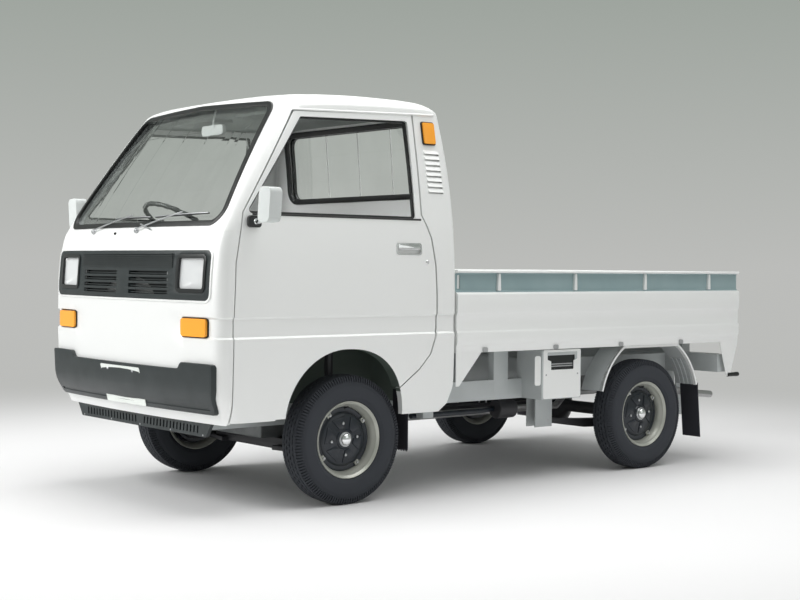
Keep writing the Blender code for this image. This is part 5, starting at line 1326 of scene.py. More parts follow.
class TRUCK_OT_stage(bpy.types.Operator):
    """Builds the floor, the studio light and the camera"""

    bl_idname = "truck.stage"
    bl_label = "Stage"

    def execute(self, context):
        work = bmesh.new()
        bmesh.ops.create_circle(work, cap_ends=True, radius=60, segments=96)
        mesh = bpy.data.meshes.new("floor")
        work.to_mesh(mesh)
        work.free()
        floor = bpy.data.objects.new("floor", mesh)
        context.scene.collection.objects.link(floor)
        mesh.materials.append(make_floor_material())
        make_world()
        soft_box("key_light", (-1.4, -5.4, 3.6), (0, -0.6, 0.8), 4.5, 3.0, 260)
        soft_box("top_light", (0.6, 0.4, 5.2), (0, 0.2, 0.4), 5.0, 6.0, 270)
        soft_box("side_light", (6.0, 1.5, 3.0), (0, 0, 0.8), 4.0, 3.0, 25)
        make_camera()
        context.scene.view_settings.view_transform = "Standard"
        return {"FINISHED"}


# The cab
def paint_inner_faces(shape, inner, headliner):
    """Gives the faces that lie inside the cab their own finishes."""
    mesh = shape.data
    for name in (inner, headliner, "inner_paint"):
        mesh.materials.append(bpy.data.materials[name])
    for face in mesh.polygons:
        _, _, _, depth = SKIN.tree.find_nearest(face.center)
        if depth < 0.012:
            continue
        if face.center.z < PLATFORM_Z and abs(face.center.y - ARCH_Y) < ARCH_HALF_LENGTH + OVERRUN:
            face.material_index = 3
        elif face.normal.z < -0.35 and face.center.z > 1.5:
            face.material_index = 2
        elif face.center.z > FOOT_Z and face.center.y < -0.6:
            face.material_index = 1


def louvre_slots(side):
    made = []
    for index in range(8):
        low = 1.292 + index * 0.0235
        share = (low - FOOT_Z) / (GUTTER_REAR_Z - FOOT_Z)
        skin = 0.682 + (GUTTER_HALF_WIDTH - 0.682) * share
        near, far = sorted((side * (skin - 0.010), side * (skin + OVERRUN)))
        made.append(((near, -0.495, low), (far, -0.411 - rear_lean(low) * 0.5, low + 0.009)))
    return boxes(*made)


def louvre_hood(side):
    """One pressed hood; its lower edge stands out over the slot."""
    low, high = 1.2985, 1.3135
    inset = 0.002
    points = []
    for y, z, stand in (
        (-0.499, low, -inset),
        (-0.409, low, -inset),
        (-0.409, high, -inset),
        (-0.499, high, -inset),
        (-0.493, low - 0.001, 0.006),
        (-0.415, low - 0.001, 0.006),
        (-0.417, high, 0.0004),
        (-0.491, high, 0.0004),
    ):
        points.append(SKIN.side(y, z, stand, side))
    mesh = bpy.data.meshes.new("hood")
    faces = [(0, 1, 2, 3), (4, 7, 6, 5), (0, 4, 5, 1), (1, 5, 6, 2), (2, 6, 7, 3), (3, 7, 4, 0)]
    mesh.from_pydata(points, [], faces)
    return tool(welded(mesh))


class TRUCK_OT_cab(bpy.types.Operator):
    """Builds the cab's front, roof and rear, and the two doors"""

    bl_idname = "truck.cab"
    bl_label = "Cab"

    def execute(self, context):
        shell = cab_form()
        door = inside(copy_of(shell), left_side(door_outline(DOOR_FRONT_GAP, DOOR_REAR_GAP, MOVE_GAP)))
        build_doors(side_wall(door))
        cut(shell, cab_form(SIDE_WALL, PILLAR_WALL, FRONT_WALL, REAR_WALL, ROOF_WALL, OVERRUN))
        hole = side_wall(left_side(door_outline(bottom=OVERRUN)), MOVE_GAP + MOVE_GAP)
        cut(shell, mirrored(hole), hole)
        corner = (DOOR_FRONT_Y + 0.9277 * (DOOR_REAR_Y - DOOR_FRONT_Y), DOOR_TOP_Z)
        build_cab_front(copy_of(shell))
        build_cab_rear(copy_of(shell), corner)
        build_cab_roof(shell, corner)
        build_gutters()
        return {"FINISHED"}


def build_cab_front(shape):
    """The cab's front skin with its band, and the beds of its lamps."""
    region = rectangle(-NOSE - OVERRUN, RISER_Y, SILL_Z - OVERRUN, SPLIT_Z - FACE_GAP)
    inside(shape, whole_width(region))
    cut(shape, skin_patch(front_region(grille_outline(0.002)), -0.020, 0.035))
    made = keep(shape, "front_panel", "white_paint", "body", ("cab_front",))
    # Inner faces above the screen's foot would get grey as painted shade; the front panel has none there.
    paint_inner_faces(made, "grey_paint", "headliner")


def build_cab_roof(shape, corner):
    inner_y = (DOOR_FRONT_Y + DOOR_REAR_Y) / 2
    low = corner[1] - ROOF_WALL - ROOF_WALL
    region = [
        (-NOSE - OVERRUN, SPLIT_Z),
        (inner_y, SPLIT_Z),
        (inner_y, low),
        (corner[0], low),
        (corner[0], corner[1] + FACE_GAP),
        (CAB_REAR_Y + OVERRUN, corner[1] + FACE_GAP),
        (CAB_REAR_Y + OVERRUN, 1.8),
        (-NOSE - OVERRUN, 1.8),
    ]
    inside(shape, whole_width(region))
    cut(shape, front_region(screen_outline()))
    made = keep(shape, "roof_and_pillars", "white_paint", "body", ("cab_roof",))
    # The pillars' inner faces get grey as painted shade on the white inside of the cab.
    paint_inner_faces(made, "grey_paint", "headliner")


def build_cab_rear(shape, corner):
    inner_y = (DOOR_FRONT_Y + DOOR_REAR_Y) / 2
    low = corner[1] - ROOF_WALL - ROOF_WALL - FACE_GAP
    region = [
        (inner_y, SILL_Z),
        (QUARTER_FOOT_Y, SILL_Z),
        (QUARTER_KNEE_Y, QUARTER_KNEE_Z),
        (CAB_REAR_Y, QUARTER_HEEL_Z),
        (CAB_REAR_Y + OVERRUN, QUARTER_HEEL_Z),
        (CAB_REAR_Y + OVERRUN, corner[1]),
        (corner[0] + FACE_GAP, corner[1]),
        (corner[0] + FACE_GAP, low),
        (inner_y, low),
    ]
    inside(shape, whole_width(region))
    cut(shape, whole_width(arch_outline()))
    wall_foot = boxes(
        (
            (-HALF_WIDTH + SIDE_WALL, DOOR_REAR_Y, SILL_Z - OVERRUN),
            (HALF_WIDTH - SIDE_WALL, CAB_REAR_Y + OVERRUN, REAR_WALL_FOOT_Z),
        )
    )
    tyre_room = boxes(
        (
            (-HOUSE_OUTER_X, DOOR_FRONT_Y, SILL_Z - OVERRUN),
            (HOUSE_OUTER_X, HOUSE_REAR_Y + 0.0223, PLATFORM_Z),
        )
    )
    cut(shape, tyre_room, wall_foot, rear_region(rear_window_outline()))
    cut(shape, louvre_slots(1), louvre_slots(-1))
    lean = (GUTTER_HALF_WIDTH - 0.682) / (GUTTER_REAR_Z - FOOT_Z)
    step = 0.0235
    for side in (1, -1):
        hoods = row(louvre_hood(side), "white_paint", 8, (side * lean * step, -0.0009, step))
        keep(hoods, "louvre_hoods_" + ("left" if side > 0 else "right"), None, "body")
    made = keep(shape, "rear_panel", "white_paint", "body", ("cab_rear",))
    paint_inner_faces(made, "white_paint", "headliner")


def build_doors(door):
    """Each door's skin, with its window and its trim."""
    cut(door, left_side(door_window()), left_side(arch_outline()))
    cut(door, left_side(rectangle(NOTCH_Y, ARCH_Y, SILL_Z - OVERRUN, DOOR_BOTTOM_Z + MOVE_GAP)))
    front, rear, low, high = HANDLE
    dish = left_side(rounded(rectangle(front, rear, low, high), 0.012))
    cut(door, handle_pocket(dish))
    other = mirrored(door)
    for side, shape, name in ((1, door, "left"), (-1, other, "right")):
        body = "door_" + name
        made = keep(shape, "door_skin_" + name, "white_paint", body, (body,))
        paint_inner_faces(made, "white_paint", "headliner")
        build_handle(side, name, body)
        build_door_trim(side, name, body)


def handle_pocket(region):
    """The shallow dish behind a door handle."""
    layer = cab_form(-0.010, None, -0.010, -0.010, -0.010, OVERRUN)
    cut(layer, cab_form(0.012, None, 0.012, 0.012, 0.012, OVERRUN + OVERRUN))
    return inside(layer, region)


def side_sheet(outline, side, near, far):
    """A thin sheet that follows the cab's side between two depths."""
    shape = skin_patch(left_side(outline), near, far)
    if side > 0:
        return shape
    other = mirrored(shape)
    drop(shape)
    return other


def build_handle(side, name, body):
    front, rear, low, high = HANDLE
    middle = (low + high) / 2
    lever = []
    for y, z in rounded(rectangle(front + 0.008, rear - 0.010, middle - 0.003, high - 0.006), 0.008):
        lever.append((y, z))
    bar_shape = side_sheet(lever, side, -0.0045, 0.001)
    softened(bar_shape, 0.002, 2)
    keep(bar_shape, "door_handle_" + name, "chrome", body)
    frame_outline = rounded(rectangle(front + 0.001, rear - 0.001, low + 0.001, high - 0.001), 0.011)
    hole = rounded(rectangle(front + 0.006, rear - 0.006, low + 0.006, high - 0.006), 0.008)
    rim = skin_patch(left_side(frame_outline, [hole]), -0.0015, 0.006)
    if side < 0:
        other = mirrored(rim)
        drop(rim)
        rim = other
    keep(rim, "handle_frame_" + name, "chrome", body)
    place = SKIN.side(rear + 0.028, middle - 0.055, 0.0, side)
    lock = turned([(0, 0.003), (0.007, 0.003), (0.009, 0.0015), (0.009, -0.004), (0, -0.004)], 24, place)
    if side < 0:
        lock.data.transform(
            Matrix.Translation(place) @ Matrix.Rotation(math.pi, 4, "Z") @ Matrix.Translation(-place)
        )
    keep(lock, "door_lock_" + name, "chrome", body)


def build_door_trim(side, name, body):
    """The rubber along the window, and the card on the door's inner face."""
    window = door_window()
    channel = grown_outline(window, 0.001)
    lip = skin_patch(left_side(channel, [grown_outline(window, -0.009)]), 0.010, 0.022)
    card = rounded(rectangle(-1.40, -0.53, 0.70, 1.10), 0.03)
    card_shape = skin_patch(left_side(card), SIDE_WALL + 0.001, SIDE_WALL + 0.007)
    cut(card_shape, left_side(grown_outline(arch_outline(), 0.03)))
    for shape, label, finish, slot in (
        (lip, "window_rubber_", "seal_rubber", "flap_rubber"),
        (card_shape, "door_card_", "dash_plastic", "dashboard_plastic"),
    ):
        if side < 0:
            other = mirrored(shape)
            drop(shape)
            shape = other
        keep(shape, label + name, finish, body)
    belt = []
    for step in range(13):
        y = -1.395 + (0.845 * step / 12)
        belt.append(SKIN.side(y, DOOR_BOTTOM_Z + 0.6426 * (DOOR_TOP_Z - DOOR_BOTTOM_Z) - 0.003, 0.0005, side))
    keep(bar(belt, 0.004, "seal_rubber"), "belt_rubber_" + name, None, body)


def build_gutters():
    """The drip rails along the roof's edges."""
    for side, name in ((1, "left"), (-1, "right")):
        path = []
        for step in range(25):
            share = step / 24
            y = -1.165 + share * (CAB_REAR_Y - REAR_LEAN - 0.03 + 1.165)
            x = GUTTER_HALF_WIDTH + 0.002
            path.append((side * x, y, gutter_z(y) + 0.002))
        keep(bar(path, 0.0045, "white_paint"), "drip_rail_" + name, None, "body")


class TRUCK_OT_windows(bpy.types.Operator):
    """Builds the rubber seals and the screens' finishes"""

    bl_idname = "truck.windows"
    bl_label = "Windows"

    def execute(self, context):
        width = settings().seal_width
        outer = screen_outline(0.010)
        inner = screen_outline(0.010 - width)
        seal = skin_patch(front_region(outer, [inner]), -0.004, 0.012)
        keep(softened(seal, 0.003, 2), "screen_seal", "seal_rubber", "body")
        for name in ("windscreen", "rear_window"):
            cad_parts[name].data.materials.clear()
            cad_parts[name].data.materials.append(bpy.data.materials["clear_glass"])
        outer = rear_window_outline(0.010)
        inner = rear_window_outline(-0.014)
        for near, far, name in ((-0.005, 0.012, "outer"), (REAR_WALL - 0.004, REAR_WALL + 0.008, "inner")):
            seal = skin_patch(rear_region(outer, [inner]), near, far)
            keep(softened(seal, 0.003, 2), "rear_seal_" + name, "seal_rubber", "body")
        return {"FINISHED"}


# The front face
class TRUCK_OT_front(bpy.types.Operator):
    """Builds the grille panel, the headlamps, the turn lamps and the bumper"""

    bl_idname = "truck.front"
    bl_label = "Front face"

    def execute(self, context):
        build_grille()
        for side, name in ((1, "left"), (-1, "right")):
            build_headlamp(side, name)
            build_turn_lamp(name)
            build_side_lamp(side, name)
        build_bumper()
        build_number_plate()
        return {"FINISHED"}


def build_grille():
    panel = skin_patch(front_region(grille_outline(-0.0006)), -0.003, 0.028)
    for side in (-1, 1):
        cut(panel, skin_patch(front_region(lamp_outline(side, 0.004)), -0.020, 0.035))
    slots = []
    for index in range(4):
        low = 0.862 + index * 0.0255
        for side in (-1, 1):
            ends = sorted((side * 0.052, side * 0.352))
            slots.append(((ends[0], -NOSE - OVERRUN, low), (ends[1], -1.556, low + 0.0155)))
    cut(panel, boxes(*slots))
    keep(
        softened(panel, 0.0015, 2, 40),
        "grille_panel",
        "charcoal_plastic",
        "body",
        ("grille",),
    )
    ridge = skin_strip(-0.385, 0.385, 0.9700, 0.9735, 0.003, 0.0075)
    ridges = row(ridge, "charcoal_plastic", 7, (0.0, 0.00035, 0.0085))
    keep(ridges, "grille_ridges", None, "body")
    for side, name in ((1, "left"), (-1, "right")):
        ends = sorted((side * 0.056, side * 0.348))
        fin = skin_strip(*ends, 0.8665, 0.8700, -0.018, -0.004)
        fins = row(fin, "charcoal_plastic", 4, (0.0, 0.0003, 0.0255))
        keep(fins, "grille_fins_" + name, None, "body")
        # Satin steel strips inside the slot ends paint the glints of light on the slots' end faces; the
        # grille itself is black plastic.
        glint_strip = skin_strip(*sorted((side * 0.344, side * 0.3515)), 0.8635, 0.8755, -0.012, -0.002)
        glint_strips = row(glint_strip, "satin_steel", 4, (0.0, 0.0003, 0.0255))
        keep(glint_strips, "grille_tips_" + name, None, "body")
    rim = skin_patch(front_region(grille_outline(0.008), [grille_outline(0.0006)]), -0.0045, 0.006)
    keep(softened(rim, 0.002, 2), "grille_lip", "white_paint", "body")


def skin_strip(low_x, high_x, low_z, high_z, near, far, steps=24):
    """A narrow bar across the front face between two stands from the skin."""
    points, faces = [], []
    for step in range(steps + 1):
        x = low_x + (high_x - low_x) * step / steps
        for z, stand in ((low_z, near), (high_z, near), (high_z, far), (low_z, far)):
            points.append(SKIN.front(x, z) + Vector((0, -stand, 0)))
    for step in range(steps):
        base = step * 4
        for side in range(4):
            after = (side + 1) % 4
            faces.append((base + side, base + after, base + 4 + after, base + 4 + side))
    faces += [(0, 3, 2, 1), (steps * 4, steps * 4 + 1, steps * 4 + 2, steps * 4 + 3)]
    mesh = bpy.data.meshes.new("strip")
    mesh.from_pydata(points, [], faces)
    return tool(welded(mesh))


def build_headlamp(side, name):
    """A square lamp: bezel, dish and fluted lens."""
    bezel_region = front_region(lamp_outline(side, 0.0035), [lamp_outline(side, -0.012)])
    bezel = skin_patch(bezel_region, -0.006, 0.022)
    keep(softened(bezel, 0.004, 3), "lamp_bezel_" + name, "lamp_bezel", "body")
    lens = skin_patch(front_region(lamp_outline(side, -0.012)), 0.004, 0.008)
    keep(lens, "headlamp_lens_" + name, "lamp_glass", "body", ("headlamp_" + name,))
    middle = Vector((side * 0.510, 0, 0.9465))
    middle.y = SKIN.front(middle.x, middle.z).y
    points, faces = [], []
    rings, steps = 9, 48
    for index in range(rings + 1):
        share = index / rings
        for step in range(steps):
            angle = math.tau * step / steps
            power = 2 + 6 * share
            across = abs(math.cos(angle)) ** (2 / power) * math.copysign(1, math.cos(angle))
            up = abs(math.sin(angle)) ** (2 / power) * math.copysign(1, math.sin(angle))
            depth = 0.046 - 0.033 * share**2
            points.append(middle + Vector((across * 0.084 * share, depth, up * 0.061 * share)))
    for index in range(rings):
        for step in range(steps):
            after = (step + 1) % steps
            a, b = index * steps, (index + 1) * steps
            faces.append((a + step, a + after, b + after, b + step))
    mesh = bpy.data.meshes.new("dish")
    mesh.from_pydata(points, [], faces)
    dish = tool(welded(mesh))
    wall = dish.modifiers.new("wall", "SOLIDIFY")
    wall.thickness = 0.0015
    mesh = mesh_of(dish)
    dish.modifiers.clear()
    dish.data = mesh
    keep(dish, "headlamp_dish_" + name, "chrome", "body")
    profile = [(0, 0.0), (0.007, -0.001), (0.013, -0.006), (0.013, -0.014), (0.009, -0.018), (0, -0.019)]
    bulb = turned([(r, -w) for r, w in profile], 32, middle + Vector((0, 0.022, 0)), axis="Y")
    keep(bulb, "bulb_cap_" + name, "satin_steel", "body")


def build_turn_lamp(name):
    """The amber lamp below the band."""
    node = "turn_lamp_" + name
    low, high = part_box(node)
    ends = (low[0], high[0])
    base = rounded(rectangle(ends[0] - 0.004, ends[1] + 0.004, 0.6985, 0.7765), 0.014)
    body = skin_patch(front_region(base), -0.004, 0.002)
    keep(softened(body, 0.001, 1), "turn_base_" + name, "lamp_bezel", "body")
    lens = rounded(rectangle(ends[0] + 0.001, ends[1] - 0.001, 0.7025, 0.7725), 0.013)
    glass = skin_patch(front_region(lens), -0.0135, -0.004)
    keep(softened(glass, 0.004, 3), "turn_lens_" + name, "amber_lens", "body", (node,))
    for x in (ends[0] + 0.012, ends[1] - 0.012):
        place = SKIN.front(x, 0.7375, 0.0125)
        screw = turned([(0, 0.0012), (0.0022, 0.001), (0.0032, 0), (0, 0)], 16, place, axis="Y")
        screw.data.transform(
            Matrix.Translation(place) @ Matrix.Rotation(math.pi, 4, "X") @ Matrix.Translation(-place)
        )
        label = "turn_screw_" + name + ("_a" if x < (ends[0] + ends[1]) / 2 else "_b")
        keep(screw, label, "satin_steel", "body")


def build_side_lamp(side, name):
    """The small lamp high on the side of the cab."""
    node = "side_lamp_" + name
    base = rounded(rectangle(-0.5035, -0.4325, 1.5005, 1.6015), 0.010)
    lens = rounded(rectangle(-0.4985, -0.4375, 1.5065, 1.5975), 0.008)
    foot = side_sheet(base, side, -0.005, 0.001)
    keep(softened(foot, 0.001, 1), "side_base_" + name, "lamp_bezel", "body")
    glass = side_sheet(lens, side, -0.0115, -0.005)
    keep(softened(glass, 0.004, 3), "side_lens_" + name, "amber_lens", "body", (node,))


def build_bumper():
    """The moulded bumper with its turned ends."""
    half = [(0, 0.574), (0.430, 0.574), (0.445, 0.577), (0.458, 0.594), (0.470, 0.601)]
    half += [
        (0.654, 0.601),
        (0.663, 0.598),
        (0.667, 0.589),
        (0.663, 0.500),
        (0.646, 0.424),
        (0.640, 0.410),
        (0.626, 0.402),
    ]
    outline = half + [(-x, z) for x, z in reversed(half[1:])]
    bumper = skin_patch(front_region(outline), -0.016, 0.0)
    cut(
        bumper, skin_patch(front_region(rounded(rectangle(-0.62, 0.62, 0.420, 0.432), 0.004)), -0.020, -0.013)
    )
    keep(
        softened(bumper, 0.005, 3, 40),
        "bumper_skin",
        "charcoal_plastic",
        "body",
        ("bumper",),
    )


def build_number_plate():
    """A blank plate on the middle of the bumper, with its two bolts."""
    y = SKIN.front(0, 0.50).y - 0.0163
    outline = rounded(rectangle(-0.165, 0.165, 0.400, 0.562), 0.008)
    sheet = plate(outline, "Y", y - 0.0012, y)
    sheet.data.transform(plate_lean(y))
    keep(softened(sheet, 0.0004, 1), "number_plate", "plate_white", "body")
    rim_outline = rounded(rectangle(-0.165, 0.165, 0.400, 0.562), 0.008)
    hole = rounded(rectangle(-0.161, 0.161, 0.404, 0.558), 0.006)
    rim = plate(rim_outline, "Y", y - 0.0018, y - 0.0010, [hole])
    rim.data.transform(plate_lean(y))
    keep(rim, "plate_rim", "plate_white", "body")
    bolts = []
    for x in (-0.105, 0.105):
        place = Vector((x, y - 0.001, 0.545))
        bolts.append(
            turned([(0, -0.004), (0.004, -0.004), (0.0065, -0.001), (0.0065, 0.001)], 20, place, axis="Y")
        )
    both = gather(*bolts)
    both.data.transform(plate_lean(y))
    keep(both, "plate_bolts", "satin_steel", "body")


def plate_lean(y):
    """The bumper's face leans back towards its foot, and the plate with it."""
    low = SKIN.front(0, 0.42).y
    high = SKIN.front(0, 0.55).y
    angle = math.atan2(low - high, 0.13)
    pivot = Vector((0, y, 0.55))
    return Matrix.Translation(pivot) @ Matrix.Rotation(angle, 4, "X") @ Matrix.Translation(-pivot)


# Wheels and tyres
WHEELS = (
    ("front_left", 1, FRONT_TRACK / 2, FRONT_AXLE_Y),
    ("front_right", -1, FRONT_TRACK / 2, FRONT_AXLE_Y),
    ("rear_left", 1, REAR_TRACK / 2, REAR_AXLE_Y),
    ("rear_right", -1, REAR_TRACK / 2, REAR_AXLE_Y),
)
# Columns: radius, distance out from the wheel's middle plane.
RIM_PROFILE = (
    (0.1335, 0.004),
    (0.1340, 0.012),
    (0.1350, 0.018),
    (0.1405, 0.030),
    (0.1455, 0.038),
    (0.1470, 0.043),
    (0.1530, 0.0485),
    (0.1560, 0.0515),
    (0.1582, 0.0518),
    (0.1597, 0.0500),
    (0.1592, 0.0450),
    (0.1500, 0.0428),
    (0.1490, 0.0400),
    (0.1385, 0.0170),
    (0.1380, -0.0230),
    (0.1500, -0.0430),
    (0.1595, -0.0440),
    (0.1597, -0.0505),
    (0.1560, -0.0515),
    (0.1460, -0.0430),
    (0.1345, -0.0230),
    (0.1335, -0.0040),
)
DISC_PROFILE = (
    (0.1332, 0.0035),
    (0.1290, 0.0055),
    (0.1200, 0.0045),
    (0.1130, 0.0050),
    (0.1080, 0.0100),
    (0.1020, 0.0125),
    (0.0700, 0.0160),
    (0.0480, 0.0190),
    (0.0420, 0.0200),
    (0.0380, 0.0250),
    (0.0300, 0.0260),
    (0.0000, 0.0260),
    (0.0000, -0.0440),
    (0.1240, -0.0440),
    (0.1245, -0.0080),
    (0.1332, -0.0070),
)
CARCASS_PROFILE = (
    (0.1505, 0.0422),
    (0.1580, 0.0424),
    (0.1608, 0.0445),
    (0.1622, 0.0520),
    (0.1680, 0.0572),
    (0.1760, 0.0592),
    (0.1775, 0.0603),
    (0.1900, 0.0621),
    (0.2050, 0.0622),
    (0.2180, 0.0612),
    (0.2270, 0.0598),
    (0.2285, 0.0588),
    (0.2380, 0.0560),
    (0.2420, 0.0535),
    (0.2500, 0.0490),
    (0.2560, 0.0440),
    (0.2590, 0.0390),
    (0.2610, 0.0200),
    (0.2612, 0.0000),
)


def wheel_turned(profile, side, place, steps=96, closed=True):
    return turned([(radius, side * w) for radius, w in profile], steps, place, closed=closed)


class TRUCK_OT_wheels(bpy.types.Operator):
    """Builds the four wheels with their tyres"""

    bl_idname = "truck.wheels"
    bl_label = "Wheels"

    def execute(self, context):
        for name, side, half_track, y in WHEELS:
            place = Vector((side * half_track, y, AXLE_Z))
            body = "wheel_" + name
            build_rim(name, side, place, body)
            build_hub(name, side, place, body)
            build_tyre(name, side, place, body)
        return {"FINISHED"}


def build_rim(name, side, place, body):
    rim = wheel_turned(RIM_PROFILE, side, place)
    keep(rim, "rim_" + name, "rim_paint", body, ("wheel_" + name,), 30)
    disc = wheel_turned(DISC_PROFILE, side, place)
    keep(disc, "wheel_disc_" + name, "disc_paint", body, (), 30)


def build_hub(name, side, place, body):
    """The disc's facets, the rim's clips with their nuts, the valve and the cap."""
    points, faces = [], []
    for radius, half_angle, w in ((0.047, 0.24, 0.0185), (0.098, 0.36, 0.0118)):
        for angle in (-half_angle, half_angle):
            for stand in (-0.004, 0.0042):
                across = math.sin(angle) * radius
                points.append((side * (w + stand), across, math.cos(angle) * radius))
    faces = [(0, 1, 3, 2), (4, 6, 7, 5), (0, 4, 5, 1), (2, 3, 7, 6), (1, 5, 7, 3), (0, 2, 6, 4)]
    mesh = bpy.data.meshes.new("facet")
    mesh.from_pydata(points, [], faces)
    facet = softened(tool(welded(mesh)), 0.002, 2)
    facets = ring(facet, "disc_paint", 6, place, 0.3)
    keep(facets, "wheel_facets_" + name, None, body, (), 30)
    low, high = sorted((side * 0.004, side * 0.0135))
    clip = softened(boxes(((low, -0.011, 0.116), (high, 0.011, 0.1330))), 0.002, 2)
    clips = ring(clip, "rim_paint", settings().hub_nuts, place, 0.62)
    keep(clips, "rim_clips_" + name, None, body)
    for radius, start, label in ((0.1235, 0.62, "clip_nuts_"), (0.066, 0.10, "wheel_nuts_")):
        base = 0.0135 if label == "clip_nuts_" else 0.0160
        nut = turned(
            [
                (0, side * base),
                (0.0065, side * base),
                (0.0065, side * (base + 0.007)),
                (0, side * (base + 0.0085)),
            ],
            6,
            (0, 0, radius),
        )
        nuts = ring(softened(nut, 0.0008, 2), "satin_steel", settings().hub_nuts, place, start)
        keep(nuts, label + name, None, body)
    cap = [
        (0.0, 0.0472),
        (0.009, 0.0464),
        (0.017, 0.0440),
        (0.0225, 0.0400),
        (0.0250, 0.0345),
        (0.0250, 0.0255),
        (0, 0.0255),
    ]
    keep(wheel_turned(cap, side, place, 48, False), "hub_cap_" + name, "chrome", body)
    band = [(0.0250, 0.0255), (0.0305, 0.0255), (0.0310, 0.0275), (0.0295, 0.0298), (0.0250, 0.0302)]
    keep(wheel_turned(band, side, place, 48), "cap_ring_" + name, "satin_steel", body)
    stem = bar(
        [place + Vector((side * 0.018, 0, 0.128)), place + Vector((side * 0.044, 0, 0.136))],
        0.0035,
        "seal_rubber",
    )
    keep(stem, "valve_" + name, None, body)


def build_tyre(name, side, place, body):
    """A carcass, a ring of tread pitches and a ring of fine shoulder ribs."""
    outer = list(CARCASS_PROFILE)
    profile = outer + [(radius, -w) for radius, w in reversed(outer[:-1])]
    carcass = turned(profile, 96, place, closed=True)
    keep(carcass, "tyre_side_" + name, "tyre_rubber", body, ("tyre_" + name,), 28)
    pitch = math.tau / settings().tread_pitches
    top = TYRE_RADIUS - 0.0006
    low = top - settings().tread_depth - 0.002
    points, faces = [], []
    # Columns: inner and outer edge of a tread rib, how far its middle steps aside.
    ribs = ((-0.0445, -0.0310, 0.0000), (-0.0270, -0.0110, 0.0022), (-0.0070, 0.0070, -0.0022))
    ribs += ((0.0110, 0.0270, 0.0022), (0.0310, 0.0445, 0.0000))
    steps = (0, 0.25, 0.75, 1.0)
    for inner, outer_edge, shift in ribs:
        for step in steps:
            angle = pitch * (step - 0.5)
            move = shift if step in (0.25,) else (-shift if step == 0.75 else 0)
            for w in (inner + move, outer_edge + move):
                crown = top - 1.6 * w**2
                for radius in (low, crown):
                    points.append((w, math.sin(angle) * radius, math.cos(angle) * radius))
    for rib in range(len(ribs)):
        base = rib * len(steps) * 4
        for step in range(len(steps) - 1):
            a = base + step * 4
            b = a + 4
            faces += [(a + 1, a + 3, b + 3, b + 1), (a, a + 1, b + 1, b), (a + 2, b + 2, b + 3, a + 3)]
    mesh = bpy.data.meshes.new("pitch")
    mesh.from_pydata(points, [], faces)
    tread = ring(tool(mesh), "tyre_rubber", settings().tread_pitches, place)
    welded(tread.data)
    keep(tread, "tread_" + name, None, body, (), 30)
    for edge in (-1, 1):
        shoulder = []
        for radius, w, half in (
            (0.2650, 0.0445, 0.0036),
            (0.2620, 0.0500, 0.0036),
            (0.2520, 0.0560, 0.0034),
            (0.2400, 0.0585, 0.0026),
        ):
            shoulder.append((edge * w, -half, radius))
            shoulder.append((edge * w, half, radius))
        depth = []
        for x, across, radius in shoulder:
            depth.append((x - edge * 0.0050, across, radius - 0.005))
        quads = []
        for index in range(3):
            a = index * 2
            quads.append((a, a + 2, a + 3, a + 1))
            quads.append((8 + a, 8 + a + 1, 8 + a + 3, 8 + a + 2))
            quads.append((a, 8 + a, 8 + a + 2, a + 2))
            quads.append((a + 1, a + 3, 8 + a + 3, 8 + a + 1))
        quads += [(0, 1, 9, 8), (6, 14, 15, 7)]
        mesh = bpy.data.meshes.new("shoulder")
        mesh.from_pydata(shoulder + depth, [], quads)
        ribs_made = ring(tool(welded(mesh)), "tyre_rubber", settings().tread_pitches * 2, place)
        label = "shoulder_" + name + ("_inner" if edge * side < 0 else "_outer")
        keep(ribs_made, label, None, body, (), 30)


# The bed
def bed_side_profile():
    """The bed side seen from behind, with its swages, its recess and its top rail."""
    x = HALF_WIDTH - 0.0004
    inner = HALF_WIDTH - SIDE_THICKNESS + 0.0004
    low = x - BAND_DEPTH
    deep = x - RECESS_DEPTH
    return [
        (inner, BED_LOW_Z + 0.0004),
        (low, BED_LOW_Z + 0.0004),
        (low, 0.6365),
        (x - 0.004, 0.6405),
        (x, 0.6470),
        (x, 0.6930),
        (x - 0.0025, 0.6975),
        (low, 0.7040),
        (low, 0.7700),
        (x - 0.0025, 0.7755),
        (x, 0.7810),
        (x, 0.8590),
        (x - 0.0025, 0.8635),
        (x - 0.012, 0.8700),
        (deep, 0.8790),
        (deep, 0.9490),
        (deep + 0.004, 0.9535),
        (x - 0.004, 0.9545),
        (x, 0.9580),
        (x, 0.9635),
        (x - 0.0035, 0.9668),
        (inner + 0.0035, 0.9668),
        (inner, 0.9635),
        (inner, 0.7810),
        (inner + 0.004, 0.7755),
        (inner + 0.004, 0.7040),
        (inner, 0.6985),
    ]


class TRUCK_OT_bed(bpy.types.Operator):
    """Builds the bed's sides, floor, headboard and tailgate"""

    bl_idname = "truck.bed"
    bl_label = "Bed"

    def execute(self, context):
        for side, name in ((1, "left"), (-1, "right")):
            build_bed_side(side, name)
        build_bed_floor()
        build_headboard()
        build_tailgate()
        for side, name in ((1, "left"), (-1, "right")):
            build_tail_lamp(side, name)
            build_flaps(side, name)
        return {"FINISHED"}


def sided(shape, side):
    """The shape, or its mirror image for the right-hand side."""
    if side > 0:
        return shape
    other = mirrored(shape)
    drop(shape)
    return other


